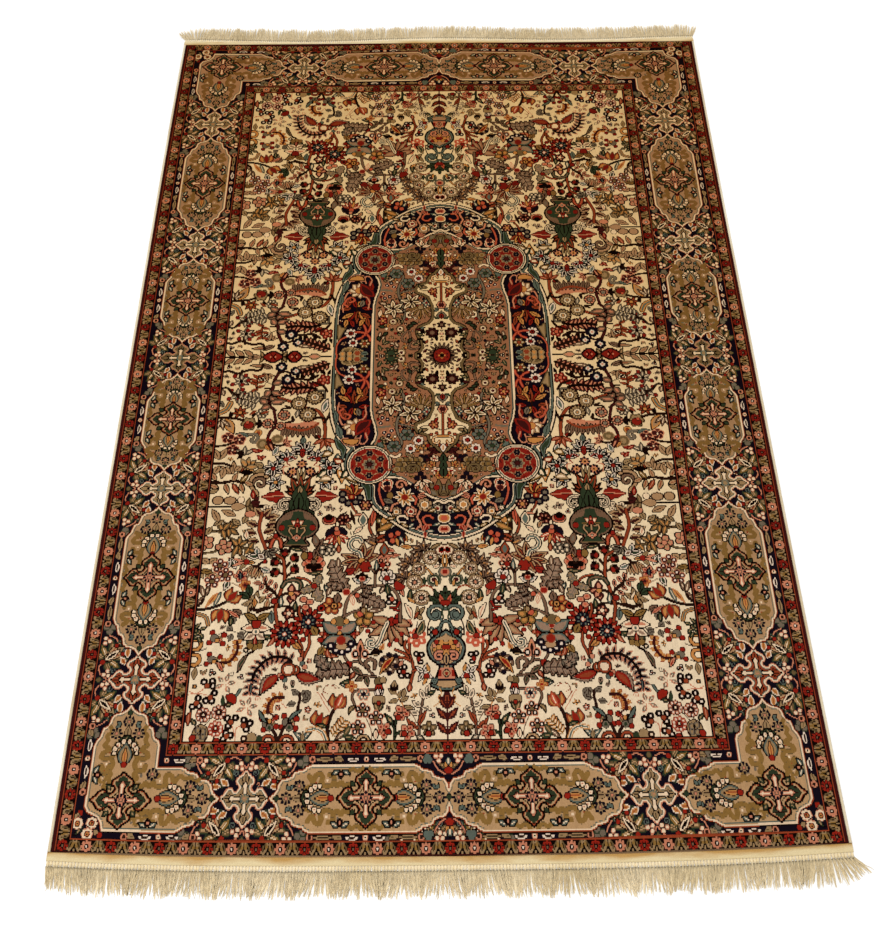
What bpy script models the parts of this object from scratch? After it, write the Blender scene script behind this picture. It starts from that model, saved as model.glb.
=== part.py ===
"""A hand-knotted silk rug lying flat on a floor, in metres, +Z up.

The rug is one knotted pile sheet with an overcast selvedge along each long side, and at each
end a flat-woven (kilim) band followed by a row of warp-end knots and a fringe of loose locks.
The front end is the -Y end. All pieces rest on the plane z = 0.
"""

import math
import random

import bmesh
import bpy

# Driving dimensions of the pile sheet
PILE_WIDTH = 1.22
PILE_LENGTH = 1.88
PILE_THICKNESS = 0.005
PILE_RIM_ROUNDING = 0.0012

# How the rug's outline departs from a plain rectangle
FRONT_BOW = 0.0125            # the front end bulges outwards between its corners
BACK_WAVE = 0.0045            # the back end is slightly wavy
BACK_WAVE_LENGTH = 0.62
SIDE_BOW = 0.003              # both long sides sway to -X at mid-length

GAP = 0.0003                  # clearance between neighbouring pieces

# Edges: overcast selvedge cords and flat-woven end bands
SELVEDGE_WIDTH = 0.005
SELVEDGE_HEIGHT = 0.0046
SELVEDGE_CHAMFER = 0.0013
BAND_DEPTH = {"front": 0.013, "back": 0.014}
BAND_THICKNESS = 0.0022

# Fringe: a strip of knots with loose locks
KNOT_STRIP_DEPTH = 0.008
KNOT_STRIP_THICKNESS = 0.0028
LOCKS_PER_END = 145
LOCK_ROOT_WIDTH = 0.0048
LOCK_TIP_WIDTH = 0.0030
LOCK_TIP_THICKNESS = 0.0014
LOCK_SEGMENTS = 3
LOCK_LENGTH = {"front": 0.036, "back": 0.029}
LOCK_LENGTH_SPREAD = 0.0035
LEAN_JITTER = math.radians(2.5)

# Corner tufts: the outermost locks fan out past the side of the rug
CORNER_FAN = {
    # (end, side): (share of the half width where it begins, turn of the last lock)
    ("front", -1): (0.93, math.radians(-6)),
    ("front", 1): (0.94, math.radians(58)),
    ("back", -1): (0.94, math.radians(46)),
    ("back", 1): (0.95, math.radians(36)),
}

FAN_SHORTENING = 0.35

# Slow drift of the locks' lean along each end: (size of the turn, waves per metre, phase)
LEAN_DRIFT = [
    (math.radians(7), 1.45, 0.6),
    (math.radians(4), 4.9, 0.0),
]

ROOT_DRIFT_SHARE = 0.4        # how much of its drift a lock already has at its root
FRINGE_SEED = {"front": 11, "back": 12}

# Outline resolution
COLUMNS_ACROSS = 32
ROWS_ALONG = 20

# Edges sharper than this stay sharp under smooth shading
SLAB_SHARP = math.radians(35)
CORD_SHARP = math.radians(60)

HALF_WIDTH = PILE_WIDTH / 2
HALF_LENGTH = PILE_LENGTH / 2
BAND_HALF_WIDTH = HALF_WIDTH + GAP + SELVEDGE_WIDTH
END_SIGN = {"front": -1, "back": 1}

COLOURS = {
    # slot: (red, green, blue, roughness)
    "silk_pile": (0.27, 0.19, 0.13, 0.55),
    "flat_weave": (0.72, 0.62, 0.42, 0.80),
    "warp_ends": (0.76, 0.68, 0.52, 0.85),
    "edge_cord": (0.68, 0.61, 0.46, 0.75),
}


def clear_scene():
    for obj in list(bpy.data.objects):
        bpy.data.objects.remove(obj, do_unlink=True)


def make_material(slot):
    red, green, blue, roughness = COLOURS[slot]
    material = bpy.data.materials.new(slot)
    material.use_nodes = True
    shader = material.node_tree.nodes["Principled BSDF"]
    shader.inputs["Base Color"].default_value = (red, green, blue, 1)
    shader.inputs["Roughness"].default_value = roughness
    shader.inputs["Metallic"].default_value = 0
    return material


def side_x(side, y):
    """X of the pile's long side (side -1 or 1) at the length y."""
    share = min(abs(y) / HALF_LENGTH, 1)
    return side * HALF_WIDTH - SIDE_BOW * (1 - share ** 4)


def end_y(end, x):
    """Y of the pile's front or back edge at the width x."""
    share = min(abs(x) / HALF_WIDTH, 1)
    if end == "front":
        return -HALF_LENGTH - FRONT_BOW * (1 - share ** 3)
    return HALF_LENGTH + BACK_WAVE * math.cos(2 * math.pi * x / BACK_WAVE_LENGTH)


def outward_y(end, x, distance):
    """Y at a distance outside the pile's front or back edge."""
    return end_y(end, x) + END_SIGN[end] * distance


def spread(low, high, count):
    """count + 1 evenly spaced values."""
    return [low + (high - low) * i / count for i in range(count + 1)]


def new_object(name, mesh, slot, parent):
    mesh.materials.append(make_material(slot))
    obj = bpy.data.objects.new(name, mesh)
    obj.parent = parent
    bpy.context.scene.collection.objects.link(obj)
    return obj


def slab(outline, thickness):
    """A closed bmesh slab over the plan outline (counter-clockwise seen from above)."""
    bm = bmesh.new()
    floor_face = bm.faces.new([bm.verts.new((x, y, 0)) for x, y in outline])
    floor_face.normal_flip()
    raised = bmesh.ops.extrude_face_region(bm, geom=[floor_face], use_keep_orig=True)
    top_verts = [v for v in raised["geom"] if isinstance(v, bmesh.types.BMVert)]
    bmesh.ops.translate(bm, verts=top_verts, vec=(0, 0, thickness))
    bmesh.ops.recalc_face_normals(bm, faces=bm.faces)
    return bm


def finished_mesh(bm, name, sharp_angle=SLAB_SHARP):
    mesh = bpy.data.meshes.new(name)
    bm.to_mesh(mesh)
    bm.free()
    mesh.shade_smooth()
    mesh.set_sharp_from_angle(angle=sharp_angle)
    return mesh


def make_pile(parent):
    across = spread(-HALF_WIDTH, HALF_WIDTH, COLUMNS_ACROSS)
    along = spread(-HALF_LENGTH, end_y("back", HALF_WIDTH), ROWS_ALONG)
    outline = [(x, end_y("front", x)) for x in across]
    outline += [(side_x(1, y), y) for y in along[1:-1]]
    outline += [(x, end_y("back", x)) for x in reversed(across)]
    outline += [(side_x(-1, y), y) for y in reversed(along[1:-1])]
    bm = slab(outline, PILE_THICKNESS)
    pile = new_object("pile", finished_mesh(bm, "pile"), "silk_pile", parent)
    rounding = pile.modifiers.new("rounded rim", "BEVEL")
    rounding.width = PILE_RIM_ROUNDING
    rounding.segments = 2
    rounding.limit_method = "WEIGHT"
    weights = pile.data.attributes.new("bevel_weight_edge", "FLOAT", "EDGE")
    for edge in pile.data.edges:
        heights = [pile.data.vertices[i].co.z for i in edge.vertices]
        weights.data[edge.index].value = float(min(heights) > PILE_THICKNESS / 2)


def make_band(end, parent):
    """The flat-woven band next to the pile's front or back edge."""
    xs = [-BAND_HALF_WIDTH] + spread(-HALF_WIDTH, HALF_WIDTH, COLUMNS_ACROSS) + [BAND_HALF_WIDTH]
    inner = [(x, outward_y(end, x, GAP)) for x in xs]
    outer = [(x, outward_y(end, x, GAP + BAND_DEPTH[end])) for x in xs]
    outline = outer + inner[::-1] if end == "front" else inner + outer[::-1]
    mesh = finished_mesh(slab(outline, BAND_THICKNESS), "band")
    new_object(f"kilim_{end}", mesh, "flat_weave", parent)


def make_selvedge(name, side, parent):
    """The overcast cord along one long side, flat where it rests on the floor."""
    start = end_y("front", HALF_WIDTH)
    stop = end_y("back", HALF_WIDTH)
    near = GAP
    far = GAP + SELVEDGE_WIDTH
    cut = SELVEDGE_CHAMFER
    section = [
        (near, 0), (far - cut, 0), (far, cut), (far, SELVEDGE_HEIGHT - cut),
        (far - cut, SELVEDGE_HEIGHT), (near + cut, SELVEDGE_HEIGHT), (near, SELVEDGE_HEIGHT - cut),
    ]
    bm = bmesh.new()
    rings = []
    for y in spread(start, stop, ROWS_ALONG):
        edge = side_x(side, y)
        rings.append([bm.verts.new((edge + side * out, y, z)) for out, z in section])
    for ring, following in zip(rings, rings[1:]):
        for i in range(len(section)):
            j = (i + 1) % len(section)
            bm.faces.new((ring[i], ring[j], following[j], following[i]))
    bm.faces.new(rings[0])
    bm.faces.new(rings[-1])
    bmesh.ops.recalc_face_normals(bm, faces=bm.faces)
    new_object(name, finished_mesh(bm, name, CORD_SHARP), "edge_cord", parent)


def corner_turn(end, x):
    """How far a lock rooted at x turns outwards near a corner, and its share of the fan."""
    side = 1 if x > 0 else -1
    begins, last_turn = CORNER_FAN[end, side]
    share = max(0, (abs(x) / BAND_HALF_WIDTH - begins) / (1 - begins))
    return side * last_turn * share, share


def lock_path(end, x, draw):
    """Plan points, headings and shares of length of one lock, from its root to its tip."""
    turn, fan = corner_turn(end, x)
    drift = draw.uniform(-LEAN_JITTER, LEAN_JITTER)
    for size, waves, phase in LEAN_DRIFT:
        drift += size * math.sin(2 * math.pi * waves * x + phase)
    length = LOCK_LENGTH[end] + draw.uniform(-1, 1) * LOCK_LENGTH_SPREAD
    length *= 1 - FAN_SHORTENING * fan
    root = GAP + BAND_DEPTH[end] + GAP + KNOT_STRIP_DEPTH
    px = x
    py = outward_y(end, x, root)
    stations = [(px, py, 0.0, 0.0)]
    for step in range(1, LOCK_SEGMENTS + 1):
        share = step / LOCK_SEGMENTS
        heading = turn + drift * (ROOT_DRIFT_SHARE + (1 - ROOT_DRIFT_SHARE) * share)
        px += math.sin(heading) * length / LOCK_SEGMENTS
        py += END_SIGN[end] * math.cos(heading) * length / LOCK_SEGMENTS
        stations.append((px, py, heading, share))
    return stations


def make_fringe(end, parent):
    """The strip of knots and its locks, each lock grown out of the strip's outer face."""
    draw = random.Random(FRINGE_SEED[end])
    pitch = 2 * BAND_HALF_WIDTH / LOCKS_PER_END
    inner_distance = GAP + BAND_DEPTH[end] + GAP
    outer_distance = inner_distance + KNOT_STRIP_DEPTH
    bm = bmesh.new()

    def column(x, distance, thickness=KNOT_STRIP_THICKNESS):
        y = outward_y(end, x, distance)
        return bm.verts.new((x, y, 0)), bm.verts.new((x, y, thickness))

    def wall(one, other):
        bm.faces.new((one[0], other[0], other[1], one[1]))

    def grow_lock(left, right, stations):
        ring = (left[0], right[0], right[1], left[1])
        for px, py, heading, share in stations[1:]:
            half = (LOCK_ROOT_WIDTH + (LOCK_TIP_WIDTH - LOCK_ROOT_WIDTH) * share) / 2
            top = KNOT_STRIP_THICKNESS + (LOCK_TIP_THICKNESS - KNOT_STRIP_THICKNESS) * share
            dx = half * math.cos(heading)
            dy = -END_SIGN[end] * half * math.sin(heading)
            following = tuple(
                bm.verts.new((px + way * dx, py + way * dy, z))
                for way, z in ((-1, 0), (1, 0), (1, top), (-1, top))
            )
            for i in range(4):
                j = (i + 1) % 4
                bm.faces.new((ring[i], ring[j], following[j], following[i]))
            ring = following
        bm.faces.new(ring)

    inner_edge = column(-BAND_HALF_WIDTH, inner_distance)
    outer_edge = column(-BAND_HALF_WIDTH, outer_distance)
    wall(inner_edge, outer_edge)
    for number in range(LOCKS_PER_END):
        middle = -BAND_HALF_WIDTH + (number + 0.5) * pitch
        left = column(middle - LOCK_ROOT_WIDTH / 2, outer_distance)
        right = column(middle + LOCK_ROOT_WIDTH / 2, outer_distance)
        cell_end = column(middle + pitch / 2, outer_distance)
        inner_end = column(middle + pitch / 2, inner_distance)
        cell = (inner_edge, outer_edge, left, right, cell_end, inner_end)
        for level in (0, 1):
            bm.faces.new([corner[level] for corner in cell])
        wall(outer_edge, left)
        grow_lock(left, right, lock_path(end, middle, draw))
        wall(right, cell_end)
        wall(inner_end, inner_edge)
        outer_edge = cell_end
        inner_edge = inner_end
    wall(outer_edge, inner_edge)
    bmesh.ops.recalc_face_normals(bm, faces=bm.faces)
    name = f"fringe_{end}"
    new_object(name, finished_mesh(bm, name), "warp_ends", parent)


def centre_on_origin(parent):
    """Moves the parent empty so that the middle of the whole rug's box lies over the origin."""
    points = [v.co for obj in parent.children for v in obj.data.vertices]
    for axis in (0, 1):
        values = [p[axis] for p in points]
        parent.location[axis] = -(min(values) + max(values)) / 2


def main():
    clear_scene()
    rug = bpy.data.objects.new("rug", None)
    bpy.context.scene.collection.objects.link(rug)
    make_pile(rug)
    make_selvedge("selvedge_left", -1, rug)
    make_selvedge("selvedge_right", 1, rug)
    for end in ("front", "back"):
        make_band(end, rug)
        make_fringe(end, rug)
    centre_on_origin(rug)


main()
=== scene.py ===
"""Looks of a hand-knotted silk rug with a medallion design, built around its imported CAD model.

The design is charted knot by knot for a quarter of the rug and mirrored. The pile is meshed row
by row from that chart, with each dyed shape as its own faces. Chart lengths are in millimetres and
everything else is in metres. The front end is the -Y end.
"""

import math
import random

import bpy
import numpy as np
from mathutils import Matrix, Vector


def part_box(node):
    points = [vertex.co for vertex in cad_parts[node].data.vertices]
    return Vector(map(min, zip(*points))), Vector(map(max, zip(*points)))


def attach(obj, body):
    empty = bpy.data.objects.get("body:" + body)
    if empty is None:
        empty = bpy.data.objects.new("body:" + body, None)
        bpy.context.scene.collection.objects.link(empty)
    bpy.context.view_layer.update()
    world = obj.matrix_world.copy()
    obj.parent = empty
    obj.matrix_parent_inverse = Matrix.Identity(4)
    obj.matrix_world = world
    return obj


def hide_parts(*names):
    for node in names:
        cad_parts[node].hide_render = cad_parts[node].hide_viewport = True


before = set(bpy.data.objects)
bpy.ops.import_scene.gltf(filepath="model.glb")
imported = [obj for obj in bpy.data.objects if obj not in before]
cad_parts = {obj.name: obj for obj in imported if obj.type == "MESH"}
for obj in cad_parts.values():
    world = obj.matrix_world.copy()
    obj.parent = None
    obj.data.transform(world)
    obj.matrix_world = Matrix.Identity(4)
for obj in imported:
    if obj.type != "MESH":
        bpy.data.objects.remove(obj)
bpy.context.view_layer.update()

# Yarns of the pile: name, (red, green, blue) as dyed
YARNS = [
    ("ivory", (229, 209, 165)),
    ("cream", (228, 202, 158)),
    ("tan", (182, 146, 98)),
    ("ochre", (142, 108, 50)),
    ("moss", (104, 84, 50)),
    ("navy", (20, 14, 21)),
    ("green", (44, 54, 33)),
    ("teal", (88, 98, 82)),
    ("rust", (148, 66, 35)),
    ("rose", (192, 124, 88)),
    ("crimson", (144, 36, 22)),
    ("gold", (188, 128, 64)),
    ("brown", (44, 24, 16)),
    ("black", (18, 10, 8)),
    ("khaki", (150, 122, 80)),
    ("taupe", (112, 84, 60)),
    ("coral", (196, 92, 60)),
    ("white", (232, 213, 182)),
    ("grey", (110, 98, 76)),
    ("maroon", (60, 20, 17)),
    ("salmon", (156, 109, 77)),
    ("stone", (146, 118, 90)),
]
(IVORY, CREAM, TAN, OCHRE, MOSS, NAVY, GREEN, TEAL, RUST, ROSE, CRIMSON, GOLD, BROWN, BLACK, KHAKI,
 TAUPE, CORAL, WHITE, GREY, MAROON, SALMON, STONE) = range(len(YARNS))

HALF_WIDTH = 610.0
HALF_LENGTH = 940.0
KNOTS_ACROSS = 436
KNOTS_ALONG = 495
OUTLINE = 1.75                          # how much wider than drawn an outline is tied
THIN_LINE = (0.7, BROWN)                # the line round a small shape that is given none
UNLINED = 0.01                          # a first level that is too thin to tie and keeps that line off
LINED_DISC = (3.0, 9.0)                 # radii between which a disc gets that line
LINED_LEAF = 3.5                        # width from which a leaf gets it
VEINED_LEAF = (5.5, 10.0)               # width and length from which a leaf has a vein
WIDE_LEAF = 9.0                         # width from which the vein has the outline's yarn
MARGIN = 4                              # room for the outlines around a shape

# The second yarn in a petal or leaf of each yarn
SHADES = {
    RUST: ROSE, CRIMSON: ROSE, MAROON: ROSE, CORAL: CREAM, ROSE: CRIMSON, SALMON: CRIMSON, TAN: RUST,
    GOLD: RUST, OCHRE: CREAM, KHAKI: MOSS, MOSS: TAN, GREEN: KHAKI, TEAL: CREAM, NAVY: TEAL, TAUPE: CREAM,
    GREY: CREAM, CREAM: ROSE, WHITE: GREY, STONE: TAUPE,
}


def line_and(fill, line=BLACK, width=1.1):
    """Coats of a filled shape inside a thin outline."""
    return [(width, line), (0, fill)]


def coats_of(coats, lined=False):
    """A list of coats (level in mm outside the shape's edge, yarn), outermost first. A yarn alone
    starts at the edge. A shape that is to be lined and has no outline gets a thin one."""
    coats = [coat if isinstance(coat, tuple) else (0, coat)
             for coat in (coats if isinstance(coats, list) else [coats])]
    return [THIN_LINE, *coats] if lined and coats[0][0] <= 0 else coats


class Chart:
    """One quarter of the design as a grid of knots, each holding the number of its yarn."""

    def __init__(self):
        self.xs = (np.arange(KNOTS_ACROSS) + 0.5) * HALF_WIDTH / KNOTS_ACROSS
        self.ys = (np.arange(KNOTS_ALONG) + 0.5) * HALF_LENGTH / KNOTS_ALONG
        self.ink = np.zeros((KNOTS_ALONG, KNOTS_ACROSS), np.uint8)


class Place:
    """A spot on a chart, with its own origin, turn, size and flip, where motifs are knotted."""

    def __init__(self, chart, x=0.0, y=0.0, matrix=None):
        self.chart = chart
        self.origin = np.array([x, y], float)
        self.matrix = np.eye(2) if matrix is None else matrix

    def at(self, x, y, turn=0.0, size=1.0, flip=1):
        c, s = math.cos(math.radians(turn)), math.sin(math.radians(turn))
        local = size * np.array([[c, -s * flip], [s, c * flip]])
        ox, oy = self.origin + self.matrix @ (x, y)
        return Place(self.chart, ox, oy, self.matrix @ local)

    def mirrored(self, sx, sy, x=0.0, y=0.0):
        """The place at x, y, turned round along u where sx is -1 and along v where sy is -1."""
        ox, oy = self.origin + self.matrix @ (x, y)
        return Place(self.chart, ox, oy, self.matrix @ np.diag([float(sx), float(sy)]))

    def window(self, x0, x1, y0, y1):
        """The knots around a local box: their slice and their local coordinates."""
        corners = np.array([(x0, y0), (x1, y0), (x0, y1), (x1, y1)]) @ self.matrix.T + self.origin
        low, high = corners.min(0), corners.max(0)
        chart = self.chart
        cols = slice(*np.searchsorted(chart.xs, (low[0], high[0])))
        rows = slice(*np.searchsorted(chart.ys, (low[1], high[1])))
        dx = chart.xs[cols][None, :] - self.origin[0]
        dy = chart.ys[rows][:, None] - self.origin[1]
        inverse = np.linalg.inv(self.matrix)
        return (rows, cols), inverse[0, 0] * dx + inverse[0, 1] * dy, inverse[1, 0] * dx + inverse[1, 1] * dy

    def knot(self, slot, depth, coats):
        """Ties each coat's yarn where the depth is under its level, outermost coat first."""
        ink = self.chart.ink[slot]
        for level, yarn in coats_of(coats):
            ink[depth < (level * OUTLINE if level > 0 else level)] = yarn

    def round_window(self, x, y, reach):
        slot, u, v = self.window(x - reach, x + reach, y - reach, y + reach)
        return slot, u - x, v - y

    # shapes

    def disc(self, x, y, r, coats, ry=None, turn=0.0):
        ry = ry or r
        coats = coats_of(coats, lined=LINED_DISC[0] <= r <= LINED_DISC[1])
        slot, u, v = self.round_window(x, y, max(r, ry) + MARGIN)
        c, s = math.cos(math.radians(turn)), math.sin(math.radians(turn))
        a, b = u * c + v * s, v * c - u * s
        self.knot(slot, (np.hypot(a / r, b / ry) - 1) * min(r, ry), coats)

    def lobed(self, x, y, r, lobes, coats, notch=0.14, turn=0.0, ry=None):
        """A round shape with a scalloped rim."""
        ry = ry or r
        slot, u, v = self.round_window(x, y, max(r, ry) + MARGIN)
        angle = np.arctan2(v, u) - math.radians(turn)
        rim = 1 - notch + notch * np.abs(np.cos(lobes * angle / 2)) * 1.3
        self.knot(slot, (np.hypot(u / r, v / ry) - rim) * min(r, ry), coats)

    def leaf(self, x, y, length, width, turn, coats, bend=0.0, teeth=0, tip=0.85):
        """A leaf or petal from its foot at x, y; bend bows it sideways and teeth notch its edge."""
        place = self.at(x, y, turn)
        reach = width / 2 + abs(bend) + MARGIN
        slot, u, v = place.window(1 - MARGIN, length + MARGIN - 1, -reach, reach)
        share = np.clip(u / length, 0, 1)
        half = width / 2 * np.sin(math.pi * share ** tip)
        coats = coats_of(coats, lined=width >= LINED_LEAF)
        large = width >= VEINED_LEAF[0] and length >= VEINED_LEAF[1]
        veined = large and len(coats) == 2 and coats[0][0] > 0
        if teeth:
            half = half * (0.72 + 0.28 * np.abs(np.cos(teeth * math.pi * share)))
        middle = bend * np.sin(math.pi * share)
        depth = np.maximum(np.abs(v - middle) - half, np.maximum(-u, u - length))
        place.knot(slot, depth, coats)
        if veined:
            vein = coats[0][1] if width >= WIDE_LEAF else SHADES.get(coats[1][1], BROWN)
            place.knot(slot, np.maximum(np.abs(v - middle) - 0.75, np.abs(share - 0.45) * 100 - 30), vein)

    def stem(self, points, width, coats, smooth=True):
        """A cord of the given width through the points."""
        path = smooth_path(points) if smooth else np.array(points, float)
        reach = width / 2 + MARGIN - 1
        low, high = path.min(0) - reach, path.max(0) + reach
        slot, u, v = self.window(low[0], high[0], low[1], high[1])
        self.knot(slot, path_distance(path, u, v) - width / 2, coats)

    def region(self, points, coats, smooth=False):
        """A closed outline; coats with a level under 0 lie that far inside it."""
        path = smooth_path(points, closed=True) if smooth else np.array([*points, points[0]], float)
        low, high = path.min(0) - MARGIN, path.max(0) + MARGIN
        slot, u, v = self.window(low[0], high[0], low[1], high[1])
        depth = path_distance(path, u, v)
        self.knot(slot, np.where(inside(path, u, v), -depth, depth), coats)

    def fan(self, x, y, length, width, turn, spread, count, coats, **shape):
        """Petals that share a foot; the middle ones lie on top."""
        order = sorted(range(count), key=lambda i: -abs(i - (count - 1) / 2))
        for i in order:
            share = i / (count - 1) - 0.5 if count > 1 else 0
            self.leaf(x, y, length, width, turn + share * spread, coats, **shape)

    def wheel(self, x, y, reach, count, draw, turn=0.0):
        """Calls draw(x, y, direction) for each place around a circle."""
        for i in range(count):
            direction = turn + 360 * i / count
            angle = math.radians(direction)
            draw(x + reach * math.cos(angle), y + reach * math.sin(angle), direction)

    def curl(self, x, y, r, turn, coats, width=3.0, turns=1.25, hand=1):
        """A spiral that starts at its rim in the given direction and winds inwards."""
        steps = np.linspace(0, 1, int(12 * turns) + 2)
        angle = math.radians(turn) + hand * steps * turns * 2 * math.pi
        rho = r * (1 - 0.8 * steps)
        points = np.stack([x + rho * np.cos(angle), y + rho * np.sin(angle)], 1)
        self.stem(points, width, coats, smooth=False)

    # several of one shape

    def discs(self, places, r, coats, **shape):
        """Discs at each x and y; each has a radius of its own where r is None."""
        for x, y, *own in places:
            self.disc(x, y, r or own[0], coats, **shape)

    def ring(self, x, y, reach, count, r, coats, turn=0.0, ry=None):
        """Discs around a circle; with ry they are ovals that point outwards."""
        self.wheel(x, y, reach, count, lambda u, v, d: self.disc(u, v, r, coats, ry, d if ry else 0.0), turn)

    def leaves(self, places, width, coats, length=None, **shape):
        """A leaf at each x, y and direction. A length of its own follows where none is given, and a
        width of its own comes last where width is None."""
        for x, y, turn, *own in places:
            self.leaf(x, y, length or own[0], width or own[-1], turn, coats, **shape)

    def burst(self, x, y, turns, width, coats, length=None, **shape):
        """Leaves from one foot; each direction comes with a length where length is left out."""
        for turn in turns:
            way, long = (turn, length) if length else turn
            self.leaf(x, y, long, width, way, coats, **shape)

    def pair(self, x, y, length, width, turn, spread, coats, bend=0.0, **shape):
        """Two leaves from one foot, spread and bent to either side of a direction."""
        for side in (-1, 1):
            self.leaf(x, y, length, width, turn + side * spread, coats, side * bend, **shape)

    def stems(self, paths, width, coats):
        for points in paths:
            self.stem(points, width, coats)


def smooth_path(points, closed=False, steps=6):
    """A Catmull-Rom curve through the points."""
    p = np.array(points, float)
    ends = (p[-1:], p[:1], p[1:2]) if closed else (2 * p[:1] - p[1:2], 2 * p[-1:] - p[-2:-1])
    q = np.concatenate([ends[0], p, *ends[1:]])
    t = np.linspace(0, 1, steps, endpoint=False)[:, None]
    parts = []
    for a, b, c, d in zip(q, q[1:], q[2:], q[3:]):
        parts.append(0.5 * (2 * b + (c - a) * t + (2 * a - 5 * b + 4 * c - d) * t ** 2
                            + (3 * b - a - 3 * c + d) * t ** 3))
    return np.concatenate([*parts, q[-2:-1] if not closed else q[1:2]])


def path_distance(path, u, v):
    best = np.full(np.broadcast(u, v).shape, 1e9)
    for (ax, ay), (bx, by) in zip(path, path[1:]):
        dx, dy = bx - ax, by - ay
        share = np.clip(((u - ax) * dx + (v - ay) * dy) / max(dx * dx + dy * dy, 1e-9), 0, 1)
        np.minimum(best, np.hypot(u - ax - share * dx, v - ay - share * dy), out=best)
    return best


def inside(path, u, v):
    odd = np.zeros(np.broadcast(u, v).shape, bool)
    for (ax, ay), (bx, by) in zip(path, path[1:]):
        if ay == by:
            continue
        crosses = (v < ay) != (v < by)
        odd ^= crosses & (u < ax + (v - ay) * (bx - ax) / (by - ay))
    return odd


# ---------------------------------------------------------------- borders

FIELD_X, FIELD_Y = 426.0, 769.0
SIDE_X, END_Y = 515.5, 858.0            # middles of the main border
OUTER_GUARD = (593.5, 930.2, 16, 24)    # a stripe's middle at the side and the end, flowers along each
INNER_GUARD = (439.6, 781.2, 12, 20)
EDGE_X, EDGE_Y = 606.4, 938.4           # where the last line of the pile starts
GUARD_BANDS = [                         # half widths in mm beside the sides and at the ends, yarn
    (12.8, 11.2, BLACK), (11.4, 10.2, RUST), (9.6, 9.2, MAROON), (8.2, 8.4, BLACK),
]


def guard_flower(p, x, y, red):
    p.lobed(x, y, 8.3, 8, [(0.7, BROWN), (0, CRIMSON if red else ROSE)], notch=0.2)
    if red:
        p.ring(x, y, 5.4, 8, 1.1, MAROON, 22)
    p.disc(x, y, 3.2, [(0.2, BLACK), (-1.6, TAUPE if red else WHITE)])


def guard_leaves(p, x, y, turn):
    """Two hooked olive vines about a gold bud, between two guard flowers."""
    q = p.at(x, y, turn)
    for side in (-1, 1):
        q.stem([(side * 2, 7), (side * 3.5, 0), (side * 6.5, -5.4), (side * 10, -4), (side * 11, 1)], 3.4,
               KHAKI)
        q.stem([(side * 4, 7.5), (side * 7.5, 3), (side * 8, -1)], 2.2, MOSS)
        q.leaf(side * 1.0, 7, 12, 2.6, -90 + side * 12, OCHRE)
    q.leaf(0, -3, 6, 3.2, -90, KHAKI)


def guard(p, half_x, half_y, across, along):
    """A guard stripe whose middle runs at x = half_x and y = half_y, with flowers evenly spaced."""
    slot, u, v = p.window(-5, half_x + 20, -5, half_y + 20)
    off_x, off_y = np.broadcast_arrays(u - half_x, v - half_y)
    depth = np.abs(np.maximum(off_x, off_y))
    for beside, at_end, yarn in GUARD_BANDS:
        p.knot(slot, depth - np.where(off_x > off_y, beside, at_end), yarn)
    for count, reach, place, turn in (
        (across, half_x, lambda s: (s, half_y), 180), (along, half_y, lambda s: (half_x, s), 90),
    ):
        gap = reach / count
        for i in range(count):
            x, y = place(gap * (i + 0.5))
            guard_leaves(p, x, y, turn)
        for i in range(count + 1):
            x, y = place(gap * i)
            guard_flower(p, x, y, i % 2 == count % 2)


# half outline of a cross arm: distance along the arm, half width, as shares of the cross's reach
CROSS_ARM = [
    (1.0, 0.0), (0.88, 0.13), (0.79, 0.25), (0.72, 0.33), (0.62, 0.37), (0.53, 0.34), (0.46, 0.26),
    (0.37, 0.23),
]


def cross_outline(rx, ry):
    points = []
    for turn in range(4):
        arm = [(a, -w) for a, w in CROSS_ARM[:0:-1]] + CROSS_ARM
        for a, w in arm:
            x, y = [(a, w), (-w, a), (-a, -w), (w, -a)][turn]
            points.append((x * rx, y * ry))
    return points


def plus_outline(length, half, tip):
    """A slender plus with flared arm ends."""
    points = []
    for turn in range(4):
        for a, w in ((half, -half), (length * 0.7, -half), (length * 0.8, -tip), (length, 0),
                     (length * 0.8, tip), (length * 0.7, half)):
            points.append([(a, w), (-w, a), (-a, -w), (w, -a)][turn])
    return points


def green_cross(p, x, y, rx=46.0, ry=46.0, ring=TAN, ground=GREEN):
    q = p.at(x, y)
    q.region(cross_outline(rx, ry), [(0.9, BLACK), (-1.6, RUST), (-2.6, ring), (-5.4, BLACK), (-7.0, TAN)],
             smooth=True)
    s = min(rx, ry) / 46
    for turn in (0, 90, 180, 270):
        arm = q.at(0, 0, turn, s)
        arm.leaves(((27, 0, 0, 13, 15), (22, 0, 58, 14, 9), (22, 0, -58, 14, 9)), None, ground)
    q.region(plus_outline(30 * s, 2.6 * s, 4.6 * s), [(1.2, BLACK), (0.3, ROSE), (-1.2, CREAM)])
    rosette(q, 0, 0, 10.5 * s, ground=ROSE)


def rosette(p, x, y, r, petal=NAVY, ground=KHAKI, eye=TAUPE, ring=ROSE, count=8):
    """A round flower: square dark petals with gaps between them about a taupe eye."""
    p.lobed(x, y, r, count, petal, notch=0.2)
    for i in range(count):
        p.leaf(x, y, r * 1.05, 1.7, 360 * (i + 0.5) / count, ground)
    p.disc(x, y, r * 0.44, [(0.4, ground), (-0.6, eye)])
    p.disc(x, y, r * 0.2, ring)


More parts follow.
